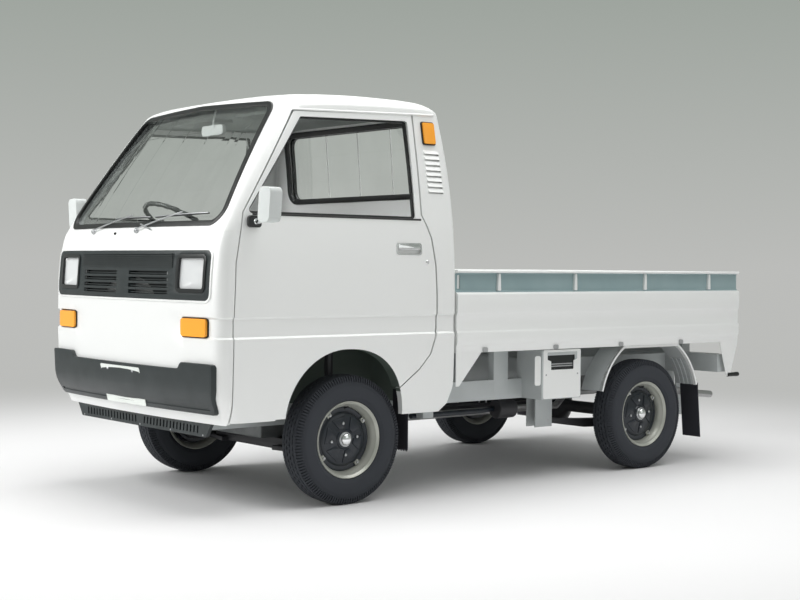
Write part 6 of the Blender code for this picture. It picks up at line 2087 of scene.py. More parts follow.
def build_bed_side(side, name):
    """One side of the bed with its swages, recess, ribs and rear stop."""
    panel = plate(bed_side_profile(), "Y", BED_FRONT_Y, TAIL)
    slot = rounded(rectangle(BED_FRONT_Y + 0.012, BED_FRONT_Y + 0.030, 0.885, 0.945), 0.004)
    cut(panel, plate(slot, "X", HALF_WIDTH - 0.026, HALF_WIDTH))
    node = "bed_side_" + name
    made = keep(sided(panel, side), "bed_panel_" + name, "white_paint", "body", (node,), 40)
    # The recess faces get a blue-grey finish that paints the recess's shade and reflection onto the white
    # panel.
    made.data.materials.append(bpy.data.materials["recess_paint"])
    for face in made.data.polygons:
        middle = face.center
        deep = HALF_WIDTH - 0.024 < abs(middle.x) < HALF_WIDTH - 0.009
        if deep and RECESS_LOW_Z < middle.z < RECESS_HIGH_Z:
            face.material_index = 1
    outer = HALF_WIDTH - BAND_DEPTH
    gusset = [(BED_FRONT_Y, 0.607), (BED_FRONT_Y, 0.462), (-0.335, 0.462), (-0.205, 0.607)]
    skirt = [(1.452, 0.607), (1.505, 0.434), (1.530, 0.430), (TAIL, 0.600), (TAIL, 0.607)]
    for outline, label in ((gusset, "bed_gusset_"), (skirt, "bed_skirt_")):
        sheet = plate(outline, "X", outer - 0.0055, outer - 0.0008)
        keep(sided(softened(sheet, 0.0008, 1), side), label + name, "white_paint", "body")
    lip = bar(
        [
            Vector((outer - 0.004, 1.449, 0.604)),
            Vector((outer - 0.004, 1.504, 0.432)),
            Vector((outer - 0.004, 1.532, 0.431)),
        ],
        0.0032,
        "white_paint",
        bend=0.006,
    )
    keep(sided(lip, side), "skirt_lip_" + name, None, "body")
    stop_x = outer - 0.003
    stop = turned(
        [
            (0, -0.060),
            (0.0105, -0.060),
            (0.0105, 0.0),
            (0.0115, 0.003),
            (0.0115, 0.022),
            (0.009, 0.026),
            (0, 0.027),
        ],
        24,
        (stop_x, 1.5715, 0.436),
        axis="Y",
    )
    keep(sided(stop, side), "rear_stop_" + name, "seal_rubber", "body")
    stay_pitch = (TAIL - BED_FRONT_Y) / 4
    first = BED_FRONT_Y + stay_pitch / 2
    stay_outline = [
        (first + 0.001, 0.876), (first + 0.004, 0.953), (first + 0.017, 0.953), (first + 0.020, 0.876)
    ]
    stay = softened(
        plate(stay_outline, "X", HALF_WIDTH - RECESS_DEPTH - 0.001, HALF_WIDTH - 0.0075), 0.0025, 2
    )
    stays = row(sided(stay, side), "white_paint", 4, (0, stay_pitch, 0))
    keep(stays, "rail_stays_" + name, None, "body")
    hook_outline = rounded(rectangle(-0.200, -0.172, 0.607, 0.627), 0.006)
    hook = softened(plate(hook_outline, "X", HALF_WIDTH - 0.0068, HALF_WIDTH - 0.0018), 0.001, 1)
    hooks = row(sided(hook, side), "satin_steel", 4, (0, 0.44, 0))
    keep(hooks, "rope_hooks_" + name, None, "body")
    ends = []
    for y in (BED_FRONT_Y + 0.006, TAIL - 0.010):
        ends.append(((HALF_WIDTH - 0.030, y, 0.9664), (HALF_WIDTH - 0.006, y + 0.004, 0.9669)))
    keep(sided(boxes(*ends), side), "rail_joints_" + name, "grey_paint", "body")


def build_bed_floor():
    """The bed's sheet floor with its pressed ribs."""
    top = BED_LOW_Z + BED_FLOOR_THICKNESS - 0.0004
    inner = HALF_WIDTH - SIDE_THICKNESS - 0.001
    front, rear = BED_FRONT_Y + GATE_THICKNESS + 0.0008, TAIL - GATE_THICKNESS - MOVE_GAP - 0.0005
    points = [(-inner, BED_LOW_Z + 0.001), (inner, BED_LOW_Z + 0.001), (inner, top)]
    count = 15
    pitch = (2 * inner - 0.06) / count
    for index in range(count):
        x = inner - 0.03 - index * pitch
        points += [
            (x, top), (x - 0.004, top - 0.006), (x - pitch / 2, top - 0.006), (x - pitch / 2 - 0.004, top)
        ]
    points.append((-inner, top))
    floor = plate(points, "Y", front, rear)
    keep(floor, "bed_floor_sheet", "white_paint", "body", ("bed_floor",), 40)
    for side, name in ((1, "left"), (-1, "right")):
        build_fender(side, name)
    bolts = turned(
        [(0, 0.0), (0.009, 0.0), (0.009, 0.0008), (0.005, 0.0024), (0, 0.0028)],
        20,
        (-0.55, front + 0.05, top - 0.003),
        axis="Z",
    )
    line = row(bolts, "satin_steel", 12, (0.1, 0, 0))
    keep(line, "floor_bolts_front", None, "body")


def fender_angles():
    start = math.asin((FENDER_FOOT_Z - FENDER_Z) / FENDER_RADIUS)
    return start, math.pi - start


def fender_points(radius, steps=36, low=0.0, high=0.0):
    first, last = fender_angles()
    first += low
    last -= high
    points = []
    for step in range(steps + 1):
        angle = first + (last - first) * step / steps
        top = BED_LOW_Z - 0.0008 - FENDER_Z + radius - FENDER_RADIUS - FENDER_THICKNESS
        z = FENDER_Z + min(math.sin(angle) * radius, top)
        points.append((FENDER_Y - math.cos(angle) * radius, z))
    return points


def build_fender(side, name):
    outer = fender_points(FENDER_RADIUS + FENDER_THICKNESS - 0.0008)
    inner = fender_points(FENDER_RADIUS + 0.0075)
    sheet = plate(outer + inner[::-1], "X", FENDER_INNER_X + 0.001, FENDER_OUTER_X - 0.0008)
    # The fender's sheet and ribs are white paint, darkened here to grey as painted shade; its lit outer
    # flange keeps the white.
    keep(sided(sheet, side), "fender_" + name, "grey_paint", "body")
    flange = plate(
        fender_points(
            FENDER_RADIUS + FENDER_THICKNESS - 0.0008
        ) + fender_points(FENDER_RADIUS + 0.0005)[::-1],
        "X",
        FENDER_OUTER_X - 0.020,
        FENDER_OUTER_X - 0.0004,
    )
    keep(
        sided(softened(flange, 0.001, 1, 50), side),
        "fender_flange_" + name,
        "white_paint",
        "body",
    )
    ribs = []
    for index in range(4):
        x = FENDER_INNER_X + 0.018 + index * 0.026
        ribs.append(
            plate(
                fender_points(FENDER_RADIUS + 0.0085, 18, 2.2, 0.0) + fender_points(
                    FENDER_RADIUS + 0.0030, 18, 2.2, 0.0
                )[::-1],
                "X",
                x,
                x + 0.012,
            )
        )
        ribs.append(
            plate(
                fender_points(FENDER_RADIUS + 0.0085, 18, 0.0, 2.35) + fender_points(
                    FENDER_RADIUS + 0.0030, 18, 0.0, 2.35
                )[::-1],
                "X",
                x,
                x + 0.012,
            )
        )
    keep(
        sided(softened(gather(*ribs), 0.0015, 2, 50), side),
        "fender_ribs_" + name,
        "grey_paint",
        "body",
    )


def build_headboard():
    """The board between the cab and the bed."""
    front = BED_FRONT_Y + 0.0006
    rear = BED_FRONT_Y + GATE_THICKNESS - 0.0006
    half = HALF_WIDTH - SIDE_THICKNESS - 0.001
    z = BED_LOW_Z + 0.001
    profile = [
        (front + 0.012, z),
        (rear, z),
        (rear, 0.700),
        (rear - 0.006, 0.706),
        (rear - 0.006, 0.772),
        (rear, 0.778),
        (rear, 0.868),
        (rear - 0.006, 0.874),
        (rear - 0.006, 0.944),
        (rear, 0.950),
        (rear, 0.9632),
        (rear - 0.003, 0.9664),
        (front + 0.003, 0.9664),
        (front, 0.9632),
        (front, 0.945),
        (front + 0.012, 0.940),
    ]
    board = plate(profile, "X", -half, half)
    keep(board, "headboard_sheet", "white_paint", "body", ("headboard",), 40)


def build_tailgate():
    """The tailgate with its ribs, handles and latches."""
    half = HALF_WIDTH - SIDE_THICKNESS - MOVE_GAP - 0.0006
    front = TAIL - GATE_THICKNESS + 0.0006
    rear = TAIL - 0.0006
    z = BED_LOW_Z + 0.0006
    profile = [
        (front, z + 0.004),
        (front + 0.004, z),
        (rear, z),
        (rear, 0.6950),
        (rear - 0.0065, 0.7010),
        (rear - 0.0065, 0.7735),
        (rear, 0.7795),
        (rear, 0.8640),
        (rear - 0.0065, 0.8700),
        (rear - 0.0065, 0.9530),
        (rear, 0.9560),
        (rear, 0.9630),
        (rear - 0.0035, 0.9664),
        (front + 0.0035, 0.9664),
        (front, 0.9630),
        (front, 0.9450),
        (front + 0.005, 0.9400),
        (front + 0.005, 0.6500),
        (front, 0.6450),
    ]
    gate = plate(profile, "X", -half, half)
    keep(gate, "tailgate_panel", "white_paint", "tailgate", ("tailgate",), 40)
    rib = plate(
        [(-0.45, 0.7955), (-0.435, 0.8520), (-0.415, 0.8520), (-0.40, 0.7955)],
        "Y",
        rear - 0.0024,
        rear + 0.0002,
    )
    ribs = row(softened(rib, 0.0008, 1), "white_paint", 3, (0.425, 0, 0))
    keep(ribs, "tailgate_ribs", None, "tailgate")
    for side, name in ((1, "left"), (-1, "right")):
        handle = plate(
            rounded(rectangle(half - 0.075, half - 0.012, 0.888, 0.936), 0.008),
            "Y",
            rear - 0.0068,
            rear - 0.0022,
        )
        keep(
            sided(softened(handle, 0.0015, 2), side),
            "latch_plate_" + name,
            "satin_steel",
            "tailgate",
        )
        lever = bar(
            [(half - 0.062, rear - 0.0028, 0.912), (half - 0.022, rear - 0.0028, 0.912)],
            0.0024,
            "black_steel",
        )
        keep(sided(lever, side), "latch_lever_" + name, None, "tailgate")
    knuckle = turned(
        [(0, -0.035), (0.0052, -0.035), (0.0052, 0.035), (0, 0.035)],
        20,
        (-0.45, TAIL - 0.0062, BED_LOW_Z + 0.0062),
    )
    knuckles = row(knuckle, "satin_steel", 3, (0.45, 0, 0))
    keep(knuckles, "tailgate_hinges", None, "tailgate")


def build_tail_lamp(side, name):
    """Three lens sections side by side, in a moulded base."""
    node = "tail_lamp_" + name
    low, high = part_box(node)
    outer, inner = max(abs(low[0]), abs(high[0])), min(abs(low[0]), abs(high[0]))
    base = boxes(
        (
            (inner + 0.0006, low[1] + 0.0006, low[2] + 0.0006),
            (outer - 0.0006, high[1] - 0.018, high[2] - 0.0006),
        )
    )
    keep(
        sided(softened(base, 0.003, 2), side),
        "tail_lamp_base_" + name,
        "lamp_bezel",
        "body",
        (node,),
    )
    width = (outer - inner - 0.008) / 3
    for index, finish in enumerate(("clear_lens", "red_lens", "amber_lens")):
        start = inner + 0.004 + index * width
        lens = boxes(
            (
                (start + 0.0005, high[1] - 0.019, low[2] + 0.004),
                (start + width - 0.0005, high[1] - 0.0008, high[2] - 0.004),
            )
        )
        label = finish.replace("_lens", "") + "_section_" + name
        keep(sided(softened(lens, 0.005, 3), side), label, finish, "body")


def build_flaps(side, name):
    """The four rubber flaps behind the wheels."""
    low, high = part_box("front_flap_" + name)
    inner, outer = min(abs(low[0]), abs(high[0])) + 0.0005, max(abs(low[0]), abs(high[0])) - 0.0005
    middle_y = (low[1] + high[1]) / 2
    points = [(outer, high[2] - 0.001), (inner, high[2] - 0.001), (inner, low[2] + 0.012)]
    teeth = 9
    pitch = (outer - inner) / teeth
    for index in range(teeth):
        start = inner + index * pitch
        points += [(start, low[2] + 0.012), (start + pitch / 2, low[2] + 0.001)]
    points.append((outer, low[2] + 0.012))
    sheet = plate(points, "Y", middle_y - 0.0018, middle_y + 0.0018)
    ribs = []
    for index in range(7):
        x = inner + 0.010 + index * 0.0125
        ribs.append(
            ((x, middle_y - 0.0024, low[2] + 0.020), (x + 0.0035, middle_y + 0.0024, high[2] - 0.012))
        )
    whole = gather(sheet, boxes(*ribs))
    keep(
        sided(whole, side),
        "front_flap_sheet_" + name,
        "flap_rubber",
        "body",
        ("front_flap_" + name,),
    )
    low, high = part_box("rear_flap_" + name)
    inner, outer = min(abs(low[0]), abs(high[0])) + 0.0005, max(abs(low[0]), abs(high[0])) - 0.0005
    front = low[1] + 0.0008
    outline = [
        (front, high[2] - 0.001),
        (front, 0.380),
        (front + 0.024, low[2] + 0.001),
        (front + 0.0270, low[2] + 0.001),
        (front + 0.0034, 0.380),
        (front + 0.0034, high[2] - 0.001),
    ]
    sheet = plate(outline, "X", inner, outer)
    bolts = []
    for share in (0.2, 0.5, 0.8):
        x = inner + (outer - inner) * share
        bolts.append(
            turned(
                [(0, -0.0014), (0.006, -0.0014), (0.006, 0.0), (0, 0.0)],
                6,
                (x, front + 0.0046, 0.392),
                axis="Y",
            )
        )
    keep(
        sided(softened(sheet, 0.0008, 1), side),
        "rear_flap_sheet_" + name,
        "flap_rubber",
        "body",
        ("rear_flap_" + name,),
    )
    keep(sided(gather(*bolts), side), "rear_flap_bolts_" + name, "satin_steel", "body")


# Inside the cab
class TRUCK_OT_interior(bpy.types.Operator):
    """Builds the dashboard, the seats, the steering wheel and the mirror inside"""

    bl_idname = "truck.interior"
    bl_label = "Interior"

    def execute(self, context):
        build_dashboard()
        build_steering_wheel()
        for side, name in ((1, "left"), (-1, "right")):
            build_seat(name)
            build_visor(side, name)
        build_seat_back()
        build_inner_mirror()
        return {"FINISHED"}


def build_dashboard():
    """The dashboard with its tray and its hooded gauges."""
    form = cab_form(SIDE_WALL + 0.0008, PILLAR_WALL, FRONT_WALL + 0.0012, REAR_WALL, ROOF_WALL)
    outline = [
        (-NOSE, 1.1042),
        (-1.345, 1.1042),
        (-1.330, 1.1020),
        (-1.310, 1.0920),
        (-1.2790, 1.0790),
        (-1.2712, 1.0650),
        (-1.2712, 0.9500),
        (-1.2850, 0.9180),
        (-1.3000, 0.8850),
        (-1.3100, 0.8808),
        (-NOSE, 0.8808),
    ]
    inside(form, plate(outline, "X", -0.5992, 0.5992))
    tray = rounded(rectangle(0.06, 0.53, 0.955, 1.030), 0.012)
    cut(form, plate(tray, "Y", -1.360, -1.260))
    cut(form, boxes(((-0.345, -1.320, 0.870), (-0.255, -1.260, 0.925))))
    keep(form, "dashboard_body", "dash_plastic", "body", ("dashboard",), 40)
    hood = []
    for step in range(13):
        angle = math.pi * step / 12
        hood.append((-0.300 - math.cos(angle) * 0.118, 1.0735 + math.sin(angle) * 0.026))
    cowl = plate(hood, "Y", -1.345, -1.2725)
    keep(softened(cowl, 0.004, 2), "meter_cowl", "dash_plastic", "body")
    for x, radius, label in ((-0.345, 0.032, "speed_meter"), (-0.262, 0.032, "fuel_meter")):
        rim = turned(
            [(radius - 0.003, 0), (radius, -0.0012), (radius, -0.004), (radius - 0.003, -0.004)],
            32,
            (x, -1.2700, 1.020),
            True,
            "Y",
        )
        keep(rim, label + "_ring", "satin_steel", "body")
        face = turned(
            [(0, -0.0030), (radius - 0.003, -0.0030), (radius - 0.003, -0.004), (0, -0.004)],
            32,
            (x, -1.2700, 1.020),
            axis="Y",
        )
        keep(face, label + "_face", "seal_rubber", "body")
    slat = boxes(((-0.070, -1.2725, 1.000), (0.030, -1.2705, 1.003)))
    keep(
        row(softened(slat, 0.0006, 1), "dash_plastic", 6, (0, 0, 0.008)),
        "centre_vent",
        None,
        "body",
    )
    knob = turned(
        [(0, -0.0004), (0.008, -0.0004), (0.009, -0.002), (0.009, -0.008), (0, -0.008)],
        24,
        (-0.060, -1.2712, 0.965),
        axis="Y",
    )
    keep(row(knob, "seal_rubber", 4, (0.027, 0, 0)), "dash_knobs", None, "body")
    lip = bar([(0.06, -1.2725, 0.9535), (0.53, -1.2725, 0.9535)], 0.0035, "dash_plastic")
    keep(lip, "tray_lip", None, "body")
    vents = boxes(((-0.050, -1.470, 1.1036), (0.050, -1.456, 1.1048)))
    keep(
        row(softened(vents, 0.0004, 1), "seal_rubber", 4, (0.130, 0, 0)),
        "screen_vents",
        None,
        "body",
    )


def build_steering_wheel():
    """A thin rim with finger grips, two spokes and a plain hub pad."""
    low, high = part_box("steering_wheel")
    middle = (Vector(low) + Vector(high)) / 2
    tilt = math.radians(31.0)
    radius = (high[0] - low[0]) / 2 - 0.012
    place = middle.copy()
    points, faces = [], []
    steps, sides = 96, 16
    for step in range(steps):
        angle = math.tau * step / steps
        grip = 0.0104 + 0.0011 * math.cos(angle * 24)
        for index in range(sides):
            turn = math.tau * index / sides
            reach = radius + math.cos(turn) * grip
            points.append((math.cos(angle) * reach, math.sin(angle) * reach, math.sin(turn) * grip))
    for step in range(steps):
        for index in range(sides):
            a, b = step * sides, (step + 1) % steps * sides
            after = (index + 1) % sides
            faces.append((a + index, b + index, b + after, a + after))
    mesh = bpy.data.meshes.new("wheel_rim")
    mesh.from_pydata(points, [], faces)
    rim = tool(welded(mesh))
    spokes = []
    for side in (-1, 1):
        outline = [
            (side * 0.020, -0.024),
            (side * (radius - 0.004), -0.016),
            (side * (radius - 0.004), 0.004),
            (side * 0.020, 0.018),
        ]
        spokes.append(softened(plate(outline, "Z", -0.012, -0.005), 0.002, 2))
    pad = softened(
        plate(rounded(rectangle(-0.052, 0.052, -0.034, 0.030), 0.012), "Z", -0.018, 0.004), 0.004, 3
    )
    hub = turned([(0, -0.034), (0.027, -0.034), (0.029, -0.016), (0, -0.016)], 32, (0, 0, 0), axis="Z")
    whole = gather(rim, *spokes, pad, hub)
    whole.data.transform(Matrix.Translation(place) @ Matrix.Rotation(-tilt, 4, "X"))
    keep(whole, "steering_wheel_rim", "wheel_plastic", "body", ("steering_wheel",), 40)
    for x, label in ((-0.405, "turn_stalk"), (-0.195, "wiper_stalk")):
        stalk = bar([(-0.300, -1.125, 1.085), (x, -1.150, 1.075)], 0.0045, "wheel_plastic")
        keep(stalk, label, None, "body")


def cushion_form(low, high, crown, pull, grid=26, channels=5):
    """A crowned cushion between two corners: fullest in the middle, drawn in at the seams.

    Columns of the form run from the left to the right, rows from front to rear; the
    channels are the sewn lines that run across it.
    """
    low, high = Vector(low), Vector(high)
    size = high - low
    middle = (low + high) / 2
    points, faces = [], []
    for part in (1, -1):
        for j in range(grid + 1):
            for i in range(grid + 1):
                u = -1 + 2 * i / grid
                v = -1 + 2 * j / grid
                edge = max(abs(u), abs(v))
                fall = (1 - abs(u) ** 5) * (1 - abs(v) ** 5)
                draw = 1 - pull * (1 - abs(v) ** 2) * abs(u) ** 4
                x = middle.x + u * size.x / 2 * draw
                draw = 1 - pull * (1 - abs(u) ** 2) * abs(v) ** 4
                y = middle.y + v * size.y / 2 * draw
                rise = size.z / 2 * (0.42 + 0.58 * max(fall, 0) ** 0.42)
                if part > 0:
                    rise -= crown * (u**2 + v**2) / 2 * (1 - edge**6)
                    line = math.cos(u * math.pi * channels) ** 24
                    rise -= 0.006 * line * max(fall, 0) ** 0.3 * (abs(v) < 0.82)
                    cross = math.exp(-((abs(v) - 0.86) / 0.035) ** 2) * (abs(u) < 0.93)
                    rise -= 0.004 * cross
                points.append((x, y, middle.z + part * rise))
    side = grid + 1
    base = side * side
    for j in range(grid):
        for i in range(grid):
            a = j * side + i
            faces.append((a, a + 1, a + side + 1, a + side))
            b = base + a
            faces.append((b, b + side, b + side + 1, b + 1))
    loop = [i for i in range(side)]
    loop += [j * side + grid for j in range(1, side)]
    loop += [grid * side + i for i in range(grid - 1, -1, -1)]
    loop += [j * side for j in range(grid - 1, 0, -1)]
    for a, b in zip(loop, loop[1:] + loop[:1]):
        faces.append((a, base + a, base + b, b))
    mesh = bpy.data.meshes.new("cushion")
    mesh.from_pydata(points, [], faces)
    return tool(welded(mesh))


def piping(cushion_low, cushion_high, height, inset):
    """The welt that runs round a cushion's seam."""
    low, high = Vector(cushion_low), Vector(cushion_high)
    outline = rounded(rectangle(low.x + inset, high.x - inset, low.y + inset, high.y - inset), 0.022, 8)
    return bar([Vector((x, y, height)) for x, y in outline], 0.0038, "seat_vinyl", closed=True, sides=8)


def build_seat(name):
    """One padded seat cushion with its welt."""
    node = "seat_" + name
    low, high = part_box(node)
    low, high = Vector(low), Vector(high)
    low += Vector((0.001, 0.001, 0.001))
    high -= Vector((0.001, 0.001, 0.001))
    cushion = subdivided(cushion_form(low, high, 0.010, 0.018), 1)
    piece = keep(cushion, "seat_cushion_" + name, "seat_vinyl", "body", (node,), 60)
    welt = piping(low, high, high.z - 0.030, 0.004)
    keep(welt, "seat_welt_" + name, None, "body")


def build_seat_back():
    """One backrest across the cab, leaning back, with two padded halves."""
    low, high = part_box("seat_back")
    low, high = Vector(low), Vector(high)
    height = high.z - low.z
    thick = 0.085
    lean = math.atan2(high.y - low.y - thick, height)
    middle_x = 0.0
    halves = []
    for inner, outer in ((low.x + 0.001, middle_x - 0.002), (middle_x + 0.002, high.x - 0.001)):
        flat = cushion_form(
            (inner, 0.0, -thick / 2), (outer, height / math.cos(lean) - 0.014, thick / 2), 0.006, 0.014
        )
        halves.append(flat)
    whole = gather(*halves)
    turn = Matrix.Rotation(math.pi / 2, 4, "X")
    tilt = Matrix.Rotation(-lean, 4, "X")
    foot = Vector((0, low.y + thick / 2 + 0.004, low.z + 0.006))
    whole.data.transform(Matrix.Translation(foot) @ tilt @ turn)
    piece = keep(subdivided(whole, 1), "backrest", "seat_vinyl", "body", ("seat_back",), 60)


def build_visor(side, name):
    """A folded sun visor under the roof, ahead of each seat."""
    outline = rounded(rectangle(0.090, 0.455, -1.105, -0.985), 0.020)
    y = -1.045
    top = gutter_z(y) - ROOF_WALL
    visor = plate(outline, "Z", top + 0.030, top + 0.044)
    keep(sided(softened(visor, 0.005, 2), side), "sun_visor_" + name, "headliner", "body")


def build_inner_mirror():
    glass = rounded(rectangle(-0.085, 0.085, 1.536, 1.580), 0.016)
    shell = softened(plate(glass, "Y", -1.158, -1.142), 0.004, 2)
    keep(shell, "inner_mirror_shell", "mirror_plastic", "body")
    face = plate(rounded(rectangle(-0.081, 0.081, 1.540, 1.576), 0.013), "Y", -1.1425, -1.1412)
    keep(face, "inner_mirror_face", "chrome", "body")
    arm = bar(
        [(0, -1.155, 1.560), (0, -1.150, 1.600), (0, -1.132, 1.672)], 0.004, "mirror_plastic", bend=0.02
    )
    keep(arm, "inner_mirror_arm", None, "body")


# Mirrors, wipers and what hangs below the nose
class TRUCK_OT_fittings(bpy.types.Operator):
    """Builds the door mirrors, the wipers, the lower grille and the tow hook"""

    bl_idname = "truck.fittings"
    bl_label = "Fittings"

    def execute(self, context):
        for side, name in ((1, "left"), (-1, "right")):
            build_mirror(side, name)
        if settings().wipers:
            build_wipers()
        build_lower_grille()
        build_tow_hooks()
        return {"FINISHED"}


def build_mirror(side, name):
    """A rounded housing on a short chromed foot."""
    body = "door_" + name
    outline = rounded([(0.748, 1.142), (0.826, 1.146), (0.838, 1.276), (0.762, 1.282)], 0.022)
    housing = plate(outline, "Y", -1.4200, -1.3640)
    keep(
        sided(softened(housing, 0.014, 4), side),
        "mirror_housing_" + name,
        "mirror_plastic",
        body,
        ("door_mirror_" + name,),
        40,
    )
    rim = plate(
        rounded([(0.756, 1.150), (0.820, 1.153), (0.831, 1.269), (0.769, 1.274)], 0.017),
        "Y",
        -1.3660,
        -1.3590,
    )
    keep(sided(softened(rim, 0.003, 2), side), "mirror_rim_" + name, "seal_rubber", body)
    face = plate(
        rounded([(0.761, 1.156), (0.816, 1.158), (0.825, 1.263), (0.773, 1.268)], 0.013),
        "Y",
        -1.3600,
        -1.3580,
    )
    keep(sided(face, side), "mirror_face_" + name, "chrome", body)
    arm = bar(
        [(0.688, -1.395, 1.150), (0.722, -1.395, 1.146), (0.770, -1.395, 1.160)], 0.0085, "chrome", bend=0.02
    )
    keep(sided(arm, side), "mirror_arm_" + name, None, body)
    foot = softened(
        plate(rounded(rectangle(-1.424, -1.366, 1.126, 1.172), 0.012), "X", 0.6860, 0.6990), 0.004, 3
    )
    keep(sided(foot, side), "mirror_foot_" + name, "wheel_plastic", body)
    collar = turned(
        [(0, 0.0), (0.013, 0.0), (0.014, 0.004), (0.011, 0.012), (0, 0.012)], 24, (0.6985, -1.395, 1.149)
    )
    keep(sided(collar, side), "mirror_collar_" + name, "chrome", body)


# Columns: foot of the arm (x, z), where the arm meets the blade, the blade's two ends.
WIPERS = (
    ((-0.330, 1.118), (-0.020, 1.178), (-0.170, 1.168), (0.125, 1.171)),
    ((0.060, 1.118), (0.360, 1.184), (0.160, 1.170), (0.530, 1.180)),
)


def build_wipers():
    """Two wipers with their arms, blades and link."""
    for index, (foot, joint, start, end) in enumerate(WIPERS):
        label = ("a", "b")[index]
        arm = [
            SKIN.front(*foot, 0.012),
            SKIN.front(foot[0] * 0.5 + joint[0] * 0.5, (foot[1] + joint[1]) / 2, 0.015),
            SKIN.front(*joint, 0.014),
        ]
        keep(bar(arm, 0.0032, "satin_steel", bend=0.04), "wiper_arm_" + label, None, "body")
        blade, spine = [], []
        for step in range(13):
            share = step / 12
            x = start[0] + (end[0] - start[0]) * share
            z = start[1] + (end[1] - start[1]) * share
            blade.append(SKIN.front(x, z, 0.0030))
            spine.append(SKIN.front(x, z, 0.0078 + 0.004 * math.sin(share * math.pi)))
        keep(bar(blade, 0.0028, "seal_rubber", sides=6), "wiper_rubber_" + label, None, "body")
        keep(
            bar(spine, 0.0022, "satin_steel", sides=8), "wiper_spine_" + label, None, "body"
        )
        place = SKIN.front(*foot, -0.001)
        cap = turned(
            [(0, -0.016), (0.006, -0.0155), (0.010, -0.012), (0.011, 0.0), (0, 0.0)], 24, place, axis="Y"
        )
        keep(cap, "wiper_cap_" + label, "satin_steel", "body")
    link = [SKIN.front(0.175, 1.118, 0.008), SKIN.front(0.085, 1.138, 0.013)]
    keep(bar(link, 0.0034, "satin_steel"), "wiper_link", None, "body")
    jet = SKIN.front(-0.12, 1.108, 0.0)
    nozzle = turned(
        [(0, -0.007), (0.004, -0.0065), (0.006, -0.002), (0.006, 0.0), (0, 0.0)], 16, jet, axis="Y"
    )
    keep(nozzle, "washer_nozzle", "seal_rubber", "body")


def build_lower_grille():
    """The slotted sheet below the bumper."""
    top, low = 0.3602, 0.3058
    outline = [(-0.5596, top), (0.5596, top), (0.520, low), (-0.520, low)]
    sheet = plate(outline, "Y", -1.5024, -1.4876)
    slots = []
    for index in range(17):
        x = 0.030 + index * 0.0265
        for side in (-1, 1):
            slots.append(
                plate(
                    [
                        (side * x, 0.3185),
                        (side * (x + 0.0105), 0.3185),
                        (side * (x + 0.0135), 0.3475),
                        (side * (x + 0.003), 0.3475),
                    ],
                    "Y",
                    -1.51,
                    -1.48,
                )
            )
    holes = gather(*slots)
    cut(sheet, tool(welded(holes.data)))
    drop(holes)
    keep(sheet, "lower_grille_sheet", "charcoal_plastic", "body", ("lower_grille",), 40)
    lip = bar([(-0.556, -1.5005, 0.3580), (0.556, -1.5005, 0.3580)], 0.0016, "charcoal_plastic", sides=8)
    keep(lip, "lower_grille_lip", None, "body")
    bolt = turned(
        [(0, -0.0002), (0.0038, -0.0002), (0.0042, 0.0012), (0, 0.0012)],
        16,
        (-0.500, -1.5024, 0.3130),
        axis="Y",
    )
    keep(row(bolt, "satin_steel", 5, (0.25, 0, 0)), "lower_grille_bolts", None, "body")


def build_tow_hooks():
    """The hooks under the front end."""
    for side, name in ((1, "left"), (-1, "right")):
        x = side * 0.270
        eye = turned(
            [(0.021, -0.005), (0.021, 0.005), (0.012, 0.005), (0.012, -0.005)], 32, (x, -1.405, 0.330), True
        )
        shank = boxes(((x - 0.005, -1.400, 0.335), (x + 0.005, -1.375, 0.396)))
        whole = gather(softened(eye, 0.002, 2), softened(shank, 0.002, 1))
        keep(whole, "tow_eye_" + name, "white_paint", "body")


# What hangs under the cab and the bed
# Columns: the node, its finish, how wide its edges are rounded.
KEPT_NODES = (
    # The frame is white paint, given the darker grey as painted shade.
    ("frame", "grey_paint", 0.0020),
    ("cab_floor", "inner_paint", 0.0020),
    ("rear_window_guard", "white_paint", 0.0),
    ("steering_column", "wheel_plastic", 0.0),
    ("front_suspension", "black_steel", 0.0025),
    ("knuckle_left", "black_steel", 0.0),
    ("knuckle_right", "black_steel", 0.0),
    ("engine", "cast_metal", 0.0060),
    ("rear_axle", "black_steel", 0.0),
    ("leaf_spring_left", "black_steel", 0.0),
    ("leaf_spring_right", "black_steel", 0.0),
    ("exhaust", "exhaust_steel", 0.0),
    ("fuel_tank", "black_steel", 0.0060),
)


class TRUCK_OT_chassis(bpy.types.Operator):
    """Finishes the frame, the axles and the engine, and adds their fastenings"""

    bl_idname = "truck.chassis"
    bl_label = "Chassis"

    def execute(self, context):
        for name, finish, width in KEPT_NODES:
            finish_node(name, finish, width)
        build_battery()
        build_side_posts()
        build_springs()
        build_engine_parts()
        build_pipes()
        return {"FINISHED"}


def finish_node(name, finish, width):
    """A cleaned copy of a CAD node with its finish and rounded edges."""
    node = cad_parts[name]
    made = tool(node.data.copy())
    made.data.transform(node.matrix_world)
    welded(made.data)
    made.data.materials.clear()
    work = bmesh.new()
    work.from_mesh(made.data)
    bmesh.ops.dissolve_limit(work, angle_limit=math.radians(1.0), verts=work.verts, edges=work.edges)
    work.to_mesh(made.data)
    work.free()
    if width:
        softened(made, width, 2, 40)
    body = "body"
    if name.startswith("knuckle"):
        body = name
    keep(made, name + "_finished", finish, body, (name,), 35)


